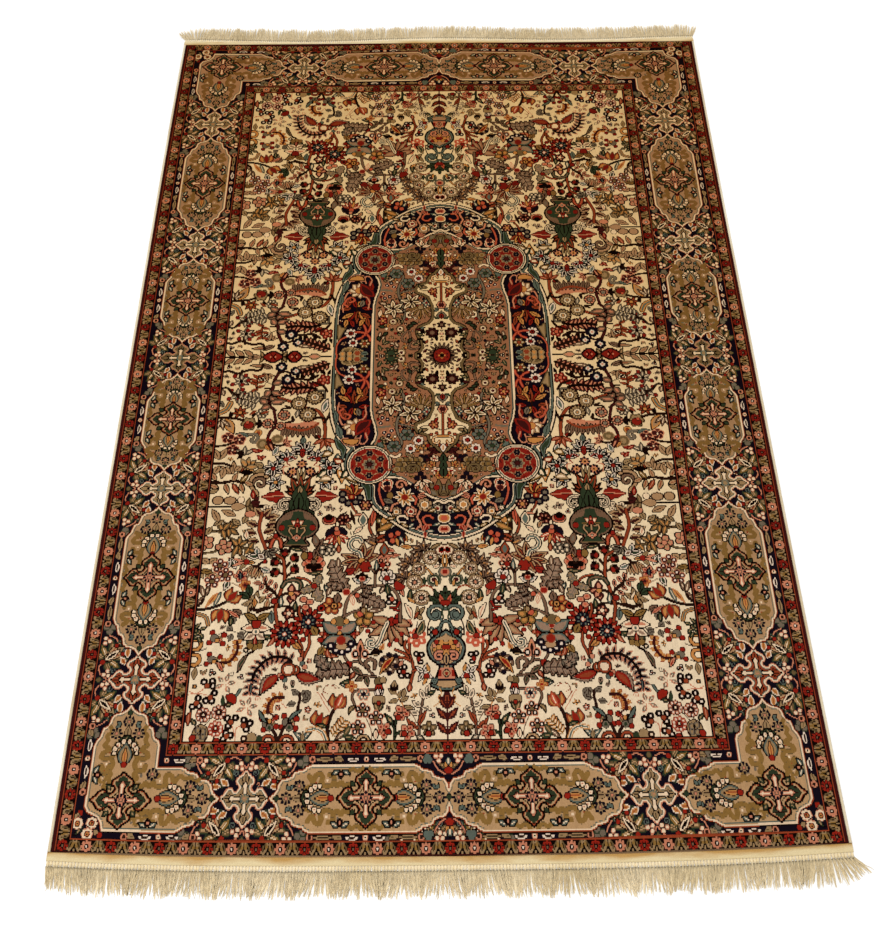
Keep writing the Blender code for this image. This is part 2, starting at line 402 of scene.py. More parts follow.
def cream_cross(p, x, y, rx=43.0, ry=38.0, ring=CREAM, ground=TAN, heart=KHAKI):
    q = p.at(x, y)
    coats = [(2.0, NAVY), (0.8, ROSE), (0, ring), (-2.4, TEAL), (-3.6, heart), (-7.2, BLACK), (-8.4, ground)]
    q.region(cross_outline(rx, ry), coats, smooth=True)
    s = min(rx, ry) / 43
    for turn, reach in ((0, rx), (90, ry), (180, rx), (270, ry)):
        arm = q.at(0, 0, turn, reach / 43)
        arm.leaf(25, 0, 13, 9, 0, line_and(heart, BLACK, 1.0))
    q.region(plus_outline(27 * s, 2.4 * s, 4.6 * s), [(1.0, BLACK), CREAM])
    rosette(q, 0, 0, 8.5 * s, petal=TEAL, eye=KHAKI)


# half outline of a cartouche's end: distance from its tip, half width as a share of the full one
CARTOUCHE_END = [
    (0, 0), (9, 0.15), (13, 0.27), (14, 0.42), (20, 0.56), (30, 0.60), (35, 0.65), (38, 0.77), (45, 0.82),
    (53, 0.85), (57, 0.93), (65, 1.0),
]
CARTOUCHE_COATS = [(1.6, BLACK), (0.8, RUST), (0, CREAM), (-2.4, TAN), (-3.4, TEAL), (-4.6, TAN)]
CLOUD = [(0.5, MOSS), (0, OCHRE)]


def cloud(p, x, y, sx, sy):
    """A looping cloud band in ochre, with its tails; sx and sy turn it round."""
    q = p.mirrored(sx, sy, x, y)
    q.stem([(31, 5), (25, -2), (20, 6), (14, 9), (10, 3), (11, -5), (5, -10), (-4, -9), (-9, -3), (-7, 5),
            (-1, 7)], 6.6, CLOUD)
    q.stem([(-8, -4), (-14, -9), (-20, -5), (-25, -9), (-35, -7)], 6.8, CLOUD)
    q.stem([(13, -7), (19, -12), (27, -10), (35, -13)], 6.0, CLOUD)
    q.disc(-16, 2, 2.6, GREY)
    q.disc(2, -1, 1.8, CREAM)
    q.disc(20, -4, 1.5, RUST)


def end_palmette(p, tip, toward):
    """The fan palmette and rosettes at one end of a cartouche, with its tip at u = tip."""
    q = p.at(tip, 0, 0 if toward > 0 else 180, 1, 1 if toward > 0 else -1)
    q.leaf(8, 0, 9, 8, 0, [(0.8, BLACK), GREEN])
    for side in (-1, 1):
        for lean in (60, 120):
            q.leaf(32, side * 12, 9, 5, side * lean, [(0.8, BLACK), TEAL])
        rosette(q, 47, side * 18, 9.6)
    rosette(q, 27, 0, 9.6)
    q.leaf(36, 0, 26, 11, 0, KHAKI)
    # scrolled white petals around a gold almond
    for side in (-1, 1):
        q.leaf(58, side * 12, 17, 8.5, 180 + side * 64, line_and(GREEN, BLACK, 1.2), bend=side * 2.5)
        for px, py, r in ((60, 4.6, 4.2), (66, 13, 4.6), (72, 17, 4.4), (79, 18, 3.4)):
            q.disc(px, side * py, r * 0.82, [(1.1, BLACK), CREAM, (-2.4, ROSE)])
    q.leaf(99, 0, 37, 22, 180, [(1.1, BLACK), TEAL, (-2.4, KHAKI)])
    q.leaf(96, 0, 24, 7.5, 180, [(0.9, BROWN), GOLD])
    q.disc(97, 0, 4.2, [(0.8, MAROON), CRIMSON])


def tri_flower(p, x, y, turn):
    q = p.at(x, y, turn)
    for side in (-1, 1):
        q.leaf(side * 3, 1, 12, 6.0, 90 - side * 62, line_and(TEAL, BLACK, 1.3))
    q.disc(0, 6.5, 4.6, [BLACK, (-2.4, ROSE)])
    q.disc(0, 12.5, 1.6, BLACK)


def cartouche(p, length, half, cross_at, cross=(46.0, 44.0)):
    """A lobed cartouche along u from 0 to its length, with a cross and a palmette at each end."""
    side = [(s, w * half) for s, w in CARTOUCHE_END]
    outline = side + [(length - s, w) for s, w in side[::-1]]
    outline += [(s, -w) for s, w in outline[::-1][1:-1]]
    p.region(outline, CARTOUCHE_COATS)
    reach_a = cross_at - cross[0]
    reach_b = length - cross_at - cross[0]
    for side in (-1, 1):
        for along, end in ((-1, reach_a), (1, reach_b)):
            cloud(p, cross_at + along * (42 + 0.16 * end), side * half * 0.56, along, side)
            p.stem([(cross_at + along * s, side * half * w) for s, w in ((6, 0.9), (14, 0.8), (22, 0.88),
                                                                         (29, 0.76))],
                   5.0, CLOUD)
        for at in (cross_at - 40, cross_at + 40):
            tri_flower(p, at, side * (half - 8), 0 if side < 0 else 180)
    scale = min(1.0, reach_a / 94)
    end_palmette(p.at(0, 0, 0, scale), 0, 1)
    scale = min(1.0, reach_b / 94)
    end_palmette(p.at(length, 0, 180, scale, -1), 0, 1)
    green_cross(p, cross_at, 0, *cross)
    for sx in (-1, 1):
        for sy in (-1, 1):
            p.leaf(cross_at + sx * 18, sy * 18, 9, 6.5, math.degrees(math.atan2(sy, sx)),
                   line_and(GREEN, BLACK, 1.0))


def border_palmette(p):
    """A leafy flower, foot at the origin, pointing along +u."""
    for side in (-1, 1):
        for at, length, lean, yarn in ((3, 17, 104, MOSS), (9, 21, 76, OCHRE), (18, 21, 52, MOSS),
                                       (26, 16, 30, TEAL)):
            p.leaf(at, side * 4, length, 8.5, side * lean, line_and(yarn, GREEN, 1.2), teeth=3)
            p.leaf(at + 3, side * 6, length * 0.6, 2.2, side * lean, TAN)
    p.leaf(2, 0, 37, 17, 0, line_and(KHAKI, BLACK, 1.0), teeth=5)
    for side in (-1, 1):
        p.leaf(12, side * 3, 27, 7, side * 14, line_and(TAN, BROWN, 0.9))
        p.disc(31, side * 9, 3.0, [(0.8, BROWN), CRIMSON])
    p.leaf(4, 0, 27, 8.5, 0, [(0.8, BROWN), CREAM, (-2.0, BLACK)])
    p.disc(0, 0, 3.6, CRIMSON)


def buds(p, x, y, turn=0, yarn=CREAM):
    q = p.at(x, y, turn)
    for bx, by in ((-4, -3), (4, -4), (1, 4)):
        q.disc(bx, by, 3.7, [ROSE, (-0.9, yarn)])


def junction_quarter(p):
    """One quarter of the design around a small cross: the cross is at the origin, u points to the
    guard and v along the border."""
    p.stems(([(46, 0), (57, 8), (63, 20), (59, 31)], [(36, 55), (36, 66), (43, 74), (53, 79)]), 2.2, ROSE)
    border_palmette(p.at(58, 31, 140, 1.08))
    buds(p, 48, 11, 20)
    buds(p, 56, 70, -20)
    p.leaves(((18, 40, 90, 17, 7.5), (20, 27, 55, 14, 7)), None, line_and(GOLD, WHITE, 0.9))
    p.curl(39, 15, 5.5, 0, TEAL, width=1.4)
    p.curl(24, 55, 4.0, 90, TEAL, width=1.4)
    for dx, dy in ((0, -5), (6, 3), (-6, 3)):
        p.disc(54 + dx, 91 + dy, 5.2, [(0.6, GREEN), GREY])


def junction(p, rx, ry, **cross):
    for sx in (-1, 1):
        for sy in (-1, 1):
            junction_quarter(p.mirrored(sx, sy))
    for sx in (-1, 1):
        p.leaf(sx * 56, 0, 9, 7, 0 if sx > 0 else 180, line_and(MOSS, GREEN, 1))
    cream_cross(p, 0, 0, rx, ry, **cross)


def strip_chain(p, reach):
    """The row of leaves and flowers in the narrow ground beside a cartouche, from its middle out."""
    p.disc(0, 0, 4.2, [ROSE, (-1.2, CREAM), (-2.6, BLACK)])
    for side in (-1, 1):
        q = p.mirrored(side, 1)
        q.leaf(11, 0, 21, 7.2, 0, line_and(WHITE, BLACK, 0.4), bend=1.2)
        q.leaf(15, 0, 13, 3.0, 0, BROWN, bend=0.8)
        q.leaf(36, 2, 17, 8, -8, KHAKI, bend=-2.0)
        if reach > 90:
            q.leaf(52, 0, 30, 6.8, 0, KHAKI)
            q.leaf(57, 0, 17, 1.8, 0, BLACK)
        q.disc(min(86, reach - 9), 0, 5.2, [ROSE, (-2.4, BROWN)])


def end_wedges(p):
    """The palmettes in the two dark wedges where the end cartouches meet."""
    for way, heart_y in ((1, 818), (-1, 894)):
        q = p.mirrored(1, way, 0, heart_y)
        for side in (-1, 1):
            q.stem([(side * 26, -18), (side * 18, -4), (side * 8, 4), (0, 5)], 2.2, [(0.6, MAROON), ROSE])
            q.leaf(0, -4, 17, 7, -90 + side * 66, [(0.8, BLACK), MOSS])
            buds(q, side * 15, -19, 10 * side)
            q.lobed(side * 33, -18, 7.5, 3, [(0.8, BLACK), TEAL], notch=0.25, turn=30)
        q.leaf(0, -2, 15, 13, -90, [(0.8, BLACK), GOLD])
        q.leaf(0, -9, 12, 8, -90, [(0.8, BLACK), TEAL])
        q.disc(0, 0, 6.4, [(0.8, MAROON), CRIMSON], ry=5)
        q.disc(0, 17, 3.0, CREAM, ry=1.8)


def corner_flowers(p):
    """Three cream flowers in the outer corner of the main border."""
    p.stem([(549, 912), (560, 902), (575, 912)], 2.0, GREY)
    p.leaf(565, 900, 18, 6, 50, line_and(GREEN))
    for x, y, yarn in ((573, 881, CRIMSON), (539, 913, CRIMSON), (577, 886, KHAKI), (546, 909, KHAKI)):
        p.disc(x, y, 4.2, yarn)
    for x, y in ((553, 896), (575, 897), (558, 912)):
        p.lobed(x, y, 9.2, 8, [(1.0, NAVY), ROSE, (-0.9, CREAM)], notch=0.16)
        p.disc(x, y, 3.6, [RUST, (-1.1, GOLD), (-2.2, BROWN)])


def corner_cartouche(p):
    """The L-shaped cartouche that turns the corner."""
    tip_x, tip_y = 359.0, 709.0
    low, high = 48.0, 49.5
    end_side = [(tip_x + s, w) for s, w in CARTOUCHE_END]
    long_side = [(tip_y + s, w) for s, w in CARTOUCHE_END]
    inner = [(x, END_Y - w * low) for x, w in end_side[:-1]] + [(424, END_Y - low),
                                                                (SIDE_X - 54, END_Y - low)]
    inner += [(SIDE_X - 54, 776), (SIDE_X - 51, 768)]
    inner += [(SIDE_X - w * 51, y) for y, w in long_side[:-1]][::-1]
    outer = [(SIDE_X + w * 51, y) for y, w in long_side[1:-1]] + [(SIDE_X + 51, 776), (SIDE_X + 52, 872)]
    outer += [(562, 880), (548, 886), (541, 893), (537, 907)]
    outer += [(x, END_Y + w * high) for x, w in end_side[1:]][::-1]
    p.region(inner + outer, CARTOUCHE_COATS)
    end = p.at(tip_x, END_Y)
    side = p.at(SIDE_X, tip_y, 90, 1, -1)
    for y in (-28, 28):
        for place in (end, side):
            cloud(place, 98, y, -1, 1 if y > 0 else -1)
    cloud(p.at(547, 828, 90, 0.62), 0, 0, -1, -1)
    for place, reach in ((end, 60), (side, 62)):
        for way in (-1, 1):
            place.stem([(reach + s, way * w) for s, w in ((-26, 29), (-18, 25), (-12, 32), (-4, 30),
                                                          (4, 35))], 5.4, CLOUD)
    cloud(p.at(483, 893, 0, 0.6), 0, 0, -1, 1)
    end_palmette(end, 0, 1)
    end_palmette(side, 0, 1)
    tri_flower(p, 467, 901, 180)
    tri_flower(p, 561, 822, 90)
    rosette(p, 468, 821, 9.5)
    green_cross(p, 513, 861, 48, 43)
    for sx, sy in ((-1, -1), (1, -1), (-1, 1), (1, 1)):
        p.leaf(513 + sx * 18, 861 + sy * 17, 10, 7, math.degrees(math.atan2(sy, sx)),
               line_and(GREEN, BLACK, 1.0))


def borders(p, front):
    slot, u, v = p.window(-5, 700, -5, 1000)
    p.knot(slot, -np.maximum(u - FIELD_X, v - FIELD_Y), NAVY)
    # junctions between cartouches, then the cartouches over them
    side = p.at(SIDE_X, 0)
    junction(side.at(0, 665), 44, 42, **({"ground": RUST, "heart": RUST} if front else {}))
    junction(side.at(0, 298), 43, 37)
    junction(side.at(0, 0, 0, 0.9), 44, 38, ring=TAN, ground=TAUPE, heart=MOSS)
    junction(p.at(320, END_Y, 90, 1, -1), 42, 38)
    middle = p.at(0, END_Y, 90, 1, -1)
    junction_quarter(middle)
    for at, reach in ((479, 95), (147, 62)):
        for x in (457.5, 574.2):
            strip_chain(p.at(x, at, 90), reach)
    for y in (799.2, 914.6):
        strip_chain(p.at(130, y), 95)
        strip_chain(p.at(448, y), 62)
    strip_chain(p.at(574.2, 796, 90), 62)
    end_wedges(p)
    cartouche(p.at(SIDE_X, 336, 90, 1, -1), 286, 50.5, 142)
    cartouche(p.at(SIDE_X, 38, 90, 1, -1), 222, 50.5, 107, (38, 44))
    cartouche(p.at(-12, END_Y), 294, 50, 142)
    corner_cartouche(p)
    corner_flowers(p)
    guard(p, *OUTER_GUARD)
    guard(p, *INNER_GUARD)
    p.knot(slot, -np.maximum(u - EDGE_X, v - EDGE_Y), MAROON)


# ---------------------------------------------------------------- flowers and leaves of the field

def walk(points, spacing, start=0.0):
    """Evenly spaced (x, y, direction) along a smooth path."""
    path = smooth_path(points)
    gaps = np.hypot(*np.diff(path, axis=0).T)
    along = np.concatenate([[0], np.cumsum(gaps)])
    for s in np.arange(start, along[-1], spacing):
        x, y = np.interp(s, along, path[:, 0]), np.interp(s, along, path[:, 1])
        x2, y2 = np.interp(s + 1, along, path[:, 0]), np.interp(s + 1, along, path[:, 1])
        if s + 1 > along[-1]:
            x2, y2 = x + path[-1, 0] - path[-2, 0], y + path[-1, 1] - path[-2, 1]
        yield x, y, math.degrees(math.atan2(y2 - y, x2 - x))


def twig(p, points, width=1.8, yarn=BROWN, line=None):
    """A stem, outlined where a line colour is given."""
    if line is None and width >= 1.8:
        line = BROWN
    p.stem(points, width, yarn if line is None else [(0.8, line), (0, yarn)])


def twigs(p, paths, width=1.8, yarn=BROWN, line=None):
    for points in paths:
        twig(p, points, width, yarn, line)


def spray(p, points, length, width, coats, spacing=8.0, stem=BROWN, thick=1.6, lean=58, core=None, start=3.0):
    """A stem with pairs of leaflets; core colours a slit in each leaflet."""
    for x, y, d in walk(points, spacing, start):
        for side in (-1, 1):
            p.leaf(x, y, length, width, d + side * lean, coats)
            if core is not None:
                p.leaf(x, y, length * 0.8, width * 0.42, d + side * lean, core)
    twig(p, points, thick, stem)


def blossom(p, x, y, r, coats, eye=None, petals=5, turn=0, reach=0.58, plump=0.42):
    """Separate round petals around an eye."""
    coats = coats_of(coats, lined=True)
    if len(coats) == 2 and r * plump > 2.8:
        coats = [*coats, (-r * plump * 0.5, SHADES.get(coats[1][1], CREAM))]
    p.ring(x, y, r * reach, petals, r * plump, coats, turn, ry=r * plump * 0.82)
    if eye is not None:
        p.disc(x, y, r * 0.3, eye)


def ringed(p, x, y, r, rim=TAUPE, petal=CREAM, heart=ROSE, count=9):
    """A daisy with a dark lobed rim, pale petals and a ringed heart."""
    p.lobed(x, y, r, count, [(0.8, BLACK), rim])
    p.ring(x, y, r * 0.68, count, r * 0.22, petal, 180 / count, ry=r * 0.14)
    p.disc(x, y, r * 0.42, [BLACK, (-1.4, heart)])


def berries(p, x, y, r, places, joint=RUST, rim=BLACK, halo=None):
    """Black berries with pale lights around a joint."""
    for dx, dy in places:
        p.disc(x + dx, y + dy, r, [*([(0.7, halo)] if halo is not None else []), rim, (-r * 0.6, WHITE)])
    p.disc(x, y, r * 0.75, joint)


def cluster(p, x, y, r=9.5, halo=ROSE, rim=BLACK, turn=-90):
    """Five berries around an olive heart."""
    places = []
    p.wheel(0, 0, r * 0.74, 5, lambda px, py, d: places.append((px, py)), turn)
    berries(p, x, y, r * 0.41, places, joint=MOSS, rim=rim, halo=halo)


def tulip(p, x, y, size, turn, outer=RUST, heart=CORAL, line=BROWN):
    """A cupped flower from its foot."""
    for side in (-1, 1):
        p.leaf(x, y, size, size * 0.5, turn + side * 26, [(1.1, BLACK), outer, (-2.8, GOLD)],
               bend=side * size * 0.13)
    p.leaf(x, y, size * 0.9, size * 0.4, turn, [(1.0, line), heart, (-2.8, CRIMSON)])


def palmette(p, x, y, r, turn, petal=TAN, heart=CRIMSON, line=BLACK, count=7, fan=250, core=None):
    """A fan of pointed petals about a heart."""
    p.fan(x, y, r, r * 0.36, turn, fan, count, line_and(petal, line))
    if core is not None:
        p.fan(x, y, r * 0.72, r * 0.13, turn, fan, count, core)
    p.disc(x, y, r * 0.26, [(0.9, line), heart])


def oak(p, x, y, length, width, turn, fill=TAUPE, edge=BLACK, lobes=4, bend=0.0, vein=GREY):
    """A ragged leaf with rounded lobes, veined and rimmed."""
    q = p.at(x, y, turn)
    side = []
    for i in range(lobes * 2 + 1):
        s = i / (lobes * 2)
        half = width / 2 * (math.sin(math.pi * min(0.92, s * 0.82 + 0.1)) ** 0.6) * (1.0 if i % 2 else 0.58)
        side.append((s * length, half))
    outline = [(0, 0)] + side + [(length * 1.06, 0)] + [(s, -w) for s, w in reversed(side)]
    bent = [(s, w + bend * math.sin(math.pi * min(1, s / length))) for s, w in outline]
    q.region(bent, [(1.2, BLACK), fill, (-2.0, STONE)], smooth=True)
    q.stem([(2, 0), (length * 0.5, bend), (length * 0.9, bend * 0.2)], 1.6, edge)
    for i in range(1, lobes * 2, 2):
        s, w = side[i]
        for way in (-1, 1):
            q.stem([(s - width * 0.2, bend * 0.6), (s, way * w * 0.82 + bend * 0.8)], 1.5, edge, smooth=False)
            q.stem([(s - width * 0.05, bend * 0.6 + way * w * 0.2),
                    (s + width * 0.1, way * w * 0.6 + bend * 0.8)], 1.4,
                   vein, smooth=False)


def bud(p, x, y, length, width, turn, fill, cup=GREEN, line=BLACK):
    p.leaf(x, y, length, width, turn, line_and(fill, line))
    p.pair(x, y, length * 0.6, width * 0.42, turn, 34, cup, bend=1.0)


def red_dots(p, x, y, size, flip=1):
    """A grey-green flower with four red berries and gold eyes."""
    q = p.at(x, y, 0, size / 12, flip)
    for dx, dy, d in ((-7, -4, 200), (6, -6, -40), (-6, 7, 140), (7, 6, 40)):
        q.leaf(0, 0, 13, 6.5, d, line_and(KHAKI if dy < 0 else ROSE, BLACK, 0.6))
    for dx, dy in ((-11, -6), (9, -11), (-10, 9), (13, 7)):
        q.disc(dx, dy, 4.2, CRIMSON)
    q.disc(5, -1, 6.5, GREY)
    q.disc(0, 3, 3.2, [(0.8, BLACK), GOLD])


# ---------------------------------------------------------------- field near the ends of the rug

def axis_vase(p):
    """The tall vase on the rug's middle line, with its cypress below."""
    for at, d in ((719, -62), (737, -50), (760, -50)):
        p.leaf(1, at, 25, 11, d, [MAROON, (-3.0, RUST)], teeth=5)
    p.leaf(1, 716, 28, 12, -90, [MAROON, (-3.2, RUST)], teeth=5)
    p.stem([(0, 768), (0, 700)], 3, MAROON)
    body = [(-6, 590), (10, 591), (22, 598), (29, 608), (30, 619), (25, 632), (15, 641), (9, 647), (11, 655),
            (16, 667), (22, 673), (23, 681), (-6, 681)]
    p.region(body, [(2.2, BLACK), TEAL, (-3.0, BLACK), (-4.2, TAN)], smooth=True)
    p.region([(-6, 606), (8, 606), (19, 612), (22, 619), (10, 625), (-6, 624)], [(0.9, BLACK), GOLD],
             smooth=True)
    for x, y, r, yarn in ((8, 605, 4.6, GOLD), (16, 604, 3.6, CRIMSON), (3, 613, 4.2, CRIMSON),
                          (12, 613, 4.2, GOLD),
                          (20, 611, 3.0, ROSE)):
        p.disc(x, y, r, line_and(yarn, BROWN, 0.6))
    p.curl(12, 629, 9, -120, [(1.2, NAVY), ROSE], width=3.6, turns=1.2)
    p.leaf(0, 644, 20, 9, -90, [(1.0, NAVY), TAN])
    p.stem([(0, 645), (12, 643)], 3.4, NAVY)
    p.region([(-6, 650), (10, 650), (14, 668), (-6, 668)], [(0.8, NAVY), ROSE])
    p.region([(-6, 659), (0, 652), (6, 659), (0, 666)], [(0.8, NAVY), TAN, (-2.2, CRIMSON)])
    p.region([(9, 654), (12, 654), (14, 664), (9, 664)], CRIMSON)
    p.stem([(0, 671), (14, 671)], 2.2, NAVY)
    p.curl(21, 672, 5, 90, [(0.8, BLACK), TEAL], width=2.6)
    p.stem([(14, 592), (8, 578), (6, 566), (10, 560)], 3.2, [(0.8, BLACK), TEAL])
    p.stem([(31, 592), (30, 574), (26, 562)], 2.4, BROWN)
    blossom(p, 19, 586, 10, line_and(TEAL), [BLACK, (-0.8, CRIMSON)], petals=4, turn=45)
    p.disc(18, 586, 4.4, [(1.4, BLACK), CRIMSON])


def small_plant(p):
    """Small plant at the bottom."""
    twig(p, [(46, 768), (46, 740), (42, 718), (38, 696)], 2.4, TAUPE, BROWN)
    p.leaves(((38, 700, -150), (38, 702, -70), (42, 716, 160), (43, 716, -35), (46, 728, -20),
              (34, 694, -110)), 7.5, [(0.8, BROWN), CREAM, (-1.8, GREY)], length=17)
    p.leaves(((46, 746, -118), (47, 752, -42)), 9, RUST, length=26, bend=2, teeth=2)
    p.leaf(20, 690, 12, 6, 20, line_and(GREEN))
    twig(p, [(12, 684), (9, 694), (15, 700), (12, 708), (22, 716)], 1.6, GOLD)
    p.stem([(50, 742), (56, 730), (62, 722)], 1.6, TAUPE)
    blossom(p, 30, 752, 12, line_and(MOSS, BROWN, 0.7), turn=-90, reach=0.62, plump=0.4)
    p.disc(31, 760, 4.4, [(1.0, BLACK), CRIMSON])


def pink_plant(p):
    """Thick-stemmed plant with pink flowers."""
    twigs(p, ([(86, 768), (85, 748), (83, 736)], [(86, 750), (94, 738), (102, 728)],
              [(85, 762), (74, 756), (64, 768)]), 2.6, GREEN, BLACK)
    p.leaf(88, 744, 20, 7, -52, [(1.0, BLACK), GREEN, (-2.2, TAN)])
    for x, y, ex, ey in ((74, 725, 80, 733), (65, 757, 70, 760), (103, 754, 96, 756)):
        blossom(p, x, y, 13, line_and(ROSE, BROWN, 0.7), turn=20)
        p.disc(ex, ey, 4.2, [(0.8, BLACK), CRIMSON])
    p.leaf(50, 764, 12, 7, 160, line_and(GREY))


def olive_sprig(p):
    """Olive sprig."""
    twig(p, [(66, 722), (76, 706), (84, 690), (86, 682)], 1.6, GOLD)
    p.leaves(((70, 716, 175), (76, 706, -150), (80, 704, 15), (84, 694, -35), (80, 700, -120),
              (72, 700, -100)), 7, [(0.8, BROWN), KHAKI], length=15)
    bud(p, 87, 688, 16, 11, -92, KHAKI, BLACK)


def vine_plant(p):
    """The rust stem beside the tall vase, with berries and a coral flower."""
    blossom(p, 50, 596, 17, line_and(CORAL, ROSE, 0.6), petals=6, turn=30)
    p.leaf(38, 566, 30, 10, 62, [(1.2, BLACK), KHAKI, (-2.0, GREEN)], bend=3)
    p.stem([(48, 566), (50, 578), (54, 590)], 1.8, BLACK)
    p.disc(52, 593, 4.6, [(0.8, BROWN), CRIMSON])
    p.leaf(57, 572, 16, 8, -20, line_and(ROSE, RUST, 0.8), bend=-3)
    twigs(p, ([(62, 684), (58, 668), (55, 655), (56, 643), (61, 626), (62, 608)],
              [(61, 634), (70, 624), (85, 617)], [(60, 637), (70, 632), (82, 630)],
              [(62, 624), (70, 612), (68, 602)], [(56, 655), (46, 652), (38, 657)]), 3.4, RUST, BROWN)
    p.leaves(((62, 690, -95, 14, 7), (60, 662, 20, 10, 6)), None, line_and(RUST, BROWN))
    p.leaf(73, 637, 12, 5, 50, line_and(ROSE, BROWN), bend=1)
    berries(p, 46, 634, 4.4, ((-5, -8), (4, -9), (-3, 5)), CRIMSON, halo=BROWN)
    berries(p, 71, 656, 4.4, ((-1, -8), (7, -1), (4, 7), (-6, 6)), CRIMSON, halo=BROWN)
    p.burst(38, 658, (-110, -40, 60, 150), 6.5, [(1.0, BLACK), WHITE, (-2.0, GREEN)], length=17)
    p.disc(33, 664, 4.6, CRIMSON)
    p.leaves(((28, 656, -70, 14), (33, 668, 60, 12)), 5, GOLD)
    small_plant(p)
    pink_plant(p)
    olive_sprig(p)


def slashed_flower(p):
    """Grey flower with a red slash."""
    blossom(p, 95, 642, 17, line_and(TAUPE, BROWN, 0.8), petals=7)
    p.discs(((85, 628), (96, 626), (107, 634), (84, 646), (95, 658)), 3.6, NAVY)
    p.leaf(88, 630, 36, 9, 52, [(1.1, BROWN), GOLD, (-1.8, CRIMSON)], bend=-2)


def flame_bud(p):
    """Flame bud between two berries."""
    p.leaf(144, 632, 34, 12, -90, [(1.0, BROWN), ROSE, (-2.4, GOLD)])
    p.leaf(144, 628, 20, 4, -90, BROWN)
    for side in (-1, 1):
        p.disc(144 + side * 8, 624, 5.4, [(1.0, ROSE), BLACK, (-2.8, WHITE)], ry=6.4)
    p.leaf(140, 560, 26, 10, 80, [(0.8, BROWN), KHAKI])
    for x, y, n, d, bend, yarn in ((108, 621, 20, 10, -4, BLACK), (182, 628, 24, -30, 4, RUST),
                                   (158, 676, 18, 0, 2, TEAL),
                                   (132, 576, 22, -40, 3, SALMON), (198, 628, 16, -70, 2, GOLD)):
        p.leaf(x, y, n, 7, d, line_and(yarn), bend=bend)
    twig(p, [(182, 684), (190, 678), (200, 680), (203, 688), (196, 692)], 1.5, RUST)
    p.stem([(186, 720), (196, 706), (206, 692)], 1.6, RUST)
    p.leaf(144, 576, 18, 5, -80, GOLD)


def grey_stems(p):
    """Grey stems and dark leaves."""
    twigs(p, ([(118, 664), (128, 654), (140, 642), (152, 637), (161, 641)],
              [(118, 664), (134, 662), (152, 658)], [(146, 630), (143, 638), (136, 646)],
              [(163, 640), (170, 628), (170, 620)]), 2.6, TAUPE, BLACK)
    p.stem([(120, 650), (119, 638), (127, 633), (135, 640), (130, 648)], 4.4, [(0.9, BLACK), TAUPE])
    p.leaves(((140, 660, -38, 24), (134, 664, 105, 16), (138, 664, 28, 14), (150, 659, 20, 12)), 7.5,
             [(1.0, BLACK), TAUPE, (-2.0, GREEN)])
    p.leaf(153, 656, 14, 6, 60, line_and(RUST, BROWN))
    p.disc(163, 642, 5.4, [(0.8, BROWN), CRIMSON])
    p.leaf(158, 672, 16, 7, 5, line_and(GREEN))


def oak_leaves(p):
    """Oak leaf."""
    oak(p, 162, 651, 52, 32, 8, TAUPE, BROWN, 5, -4)
    oak(p, 196, 648, 30, 22, -46, GREY, BROWN, 3, 2)


def mauve_lily(p):
    """Mauve lily."""
    for side in (-1, 1):
        blossom(p, 180 + side * 24, 587, 10, line_and(RUST, BROWN, 0.8), CRIMSON, petals=4)
        p.leaf(180, 585, 36, 18, -90 + side * 56, [(1.5, BLACK), TEAL, (-3.0, STONE)], bend=side * 2)
        p.leaf(180, 592, 32, 16, 90 - side * 64, [(1.5, BLACK), TEAL, (-3.0, STONE)])
    p.discs(((160, 606), (165, 615), (175, 620), (185, 617), (194, 609)), 6.4, [NAVY, (-3.8, WHITE)])
    p.disc(176, 610, 9, TAN, ry=6)
    p.disc(177, 599, 6.6, [(1.0, RUST), CRIMSON])
    p.disc(180, 576, 4.2, [(0.8, ROSE), CRIMSON])
    p.disc(180, 586, 3.2, [(0.8, BROWN), GOLD])
    p.disc(180, 564, 15, MOSS, ry=9)
    for side in (-1, 1):
        p.disc(180 + side * 11, 565, 4.4, GOLD)
    p.leaf(200, 615, 18, 7, 118, line_and(RUST, BROWN), bend=-3)
    for y, yarn, r in ((672, MOSS, 7), (683, CRIMSON, 5.6)):
        p.disc(112, y, r, line_and(yarn, BLACK, 0.8))
    p.disc(105, 670, 5, line_and(KHAKI, BLACK, 0.8))
    p.fan(112, 698, 14, 4.6, -90, 66, 4, [(0.9, BLACK), WHITE])
    p.region([(104, 698), (120, 698), (121, 710), (112, 714), (103, 710)], [(0.8, BROWN), KHAKI], smooth=True)
    p.disc(112, 709, 3.2, CRIMSON)
    for side in (-1, 1):
        p.leaf(112, 722, 14, 6, -90 + side * 30, line_and(GREEN if side < 0 else MOSS, BROWN))


def teal_arc(p):
    """Teal flower and its arc."""
    twig(p, [(120, 687), (136, 686), (150, 688), (156, 698), (151, 712)], 2.6, TAUPE)
    blossom(p, 137, 694, 10, line_and(TEAL, ROSE, 0.7), NAVY, petals=6)
    for x, y in ((138, 721), (116, 734), (145, 749)):
        cluster(p, x, y, 11)
    twig(p, [(122, 768), (124, 752), (132, 734)], 1.6, TAUPE)
    p.leaf(150, 714, 16, 6, 50, line_and(MOSS), bend=-3)
    blossom(p, 157, 680, 9, line_and(GOLD, RUST, 0.7), CRIMSON, petals=4)


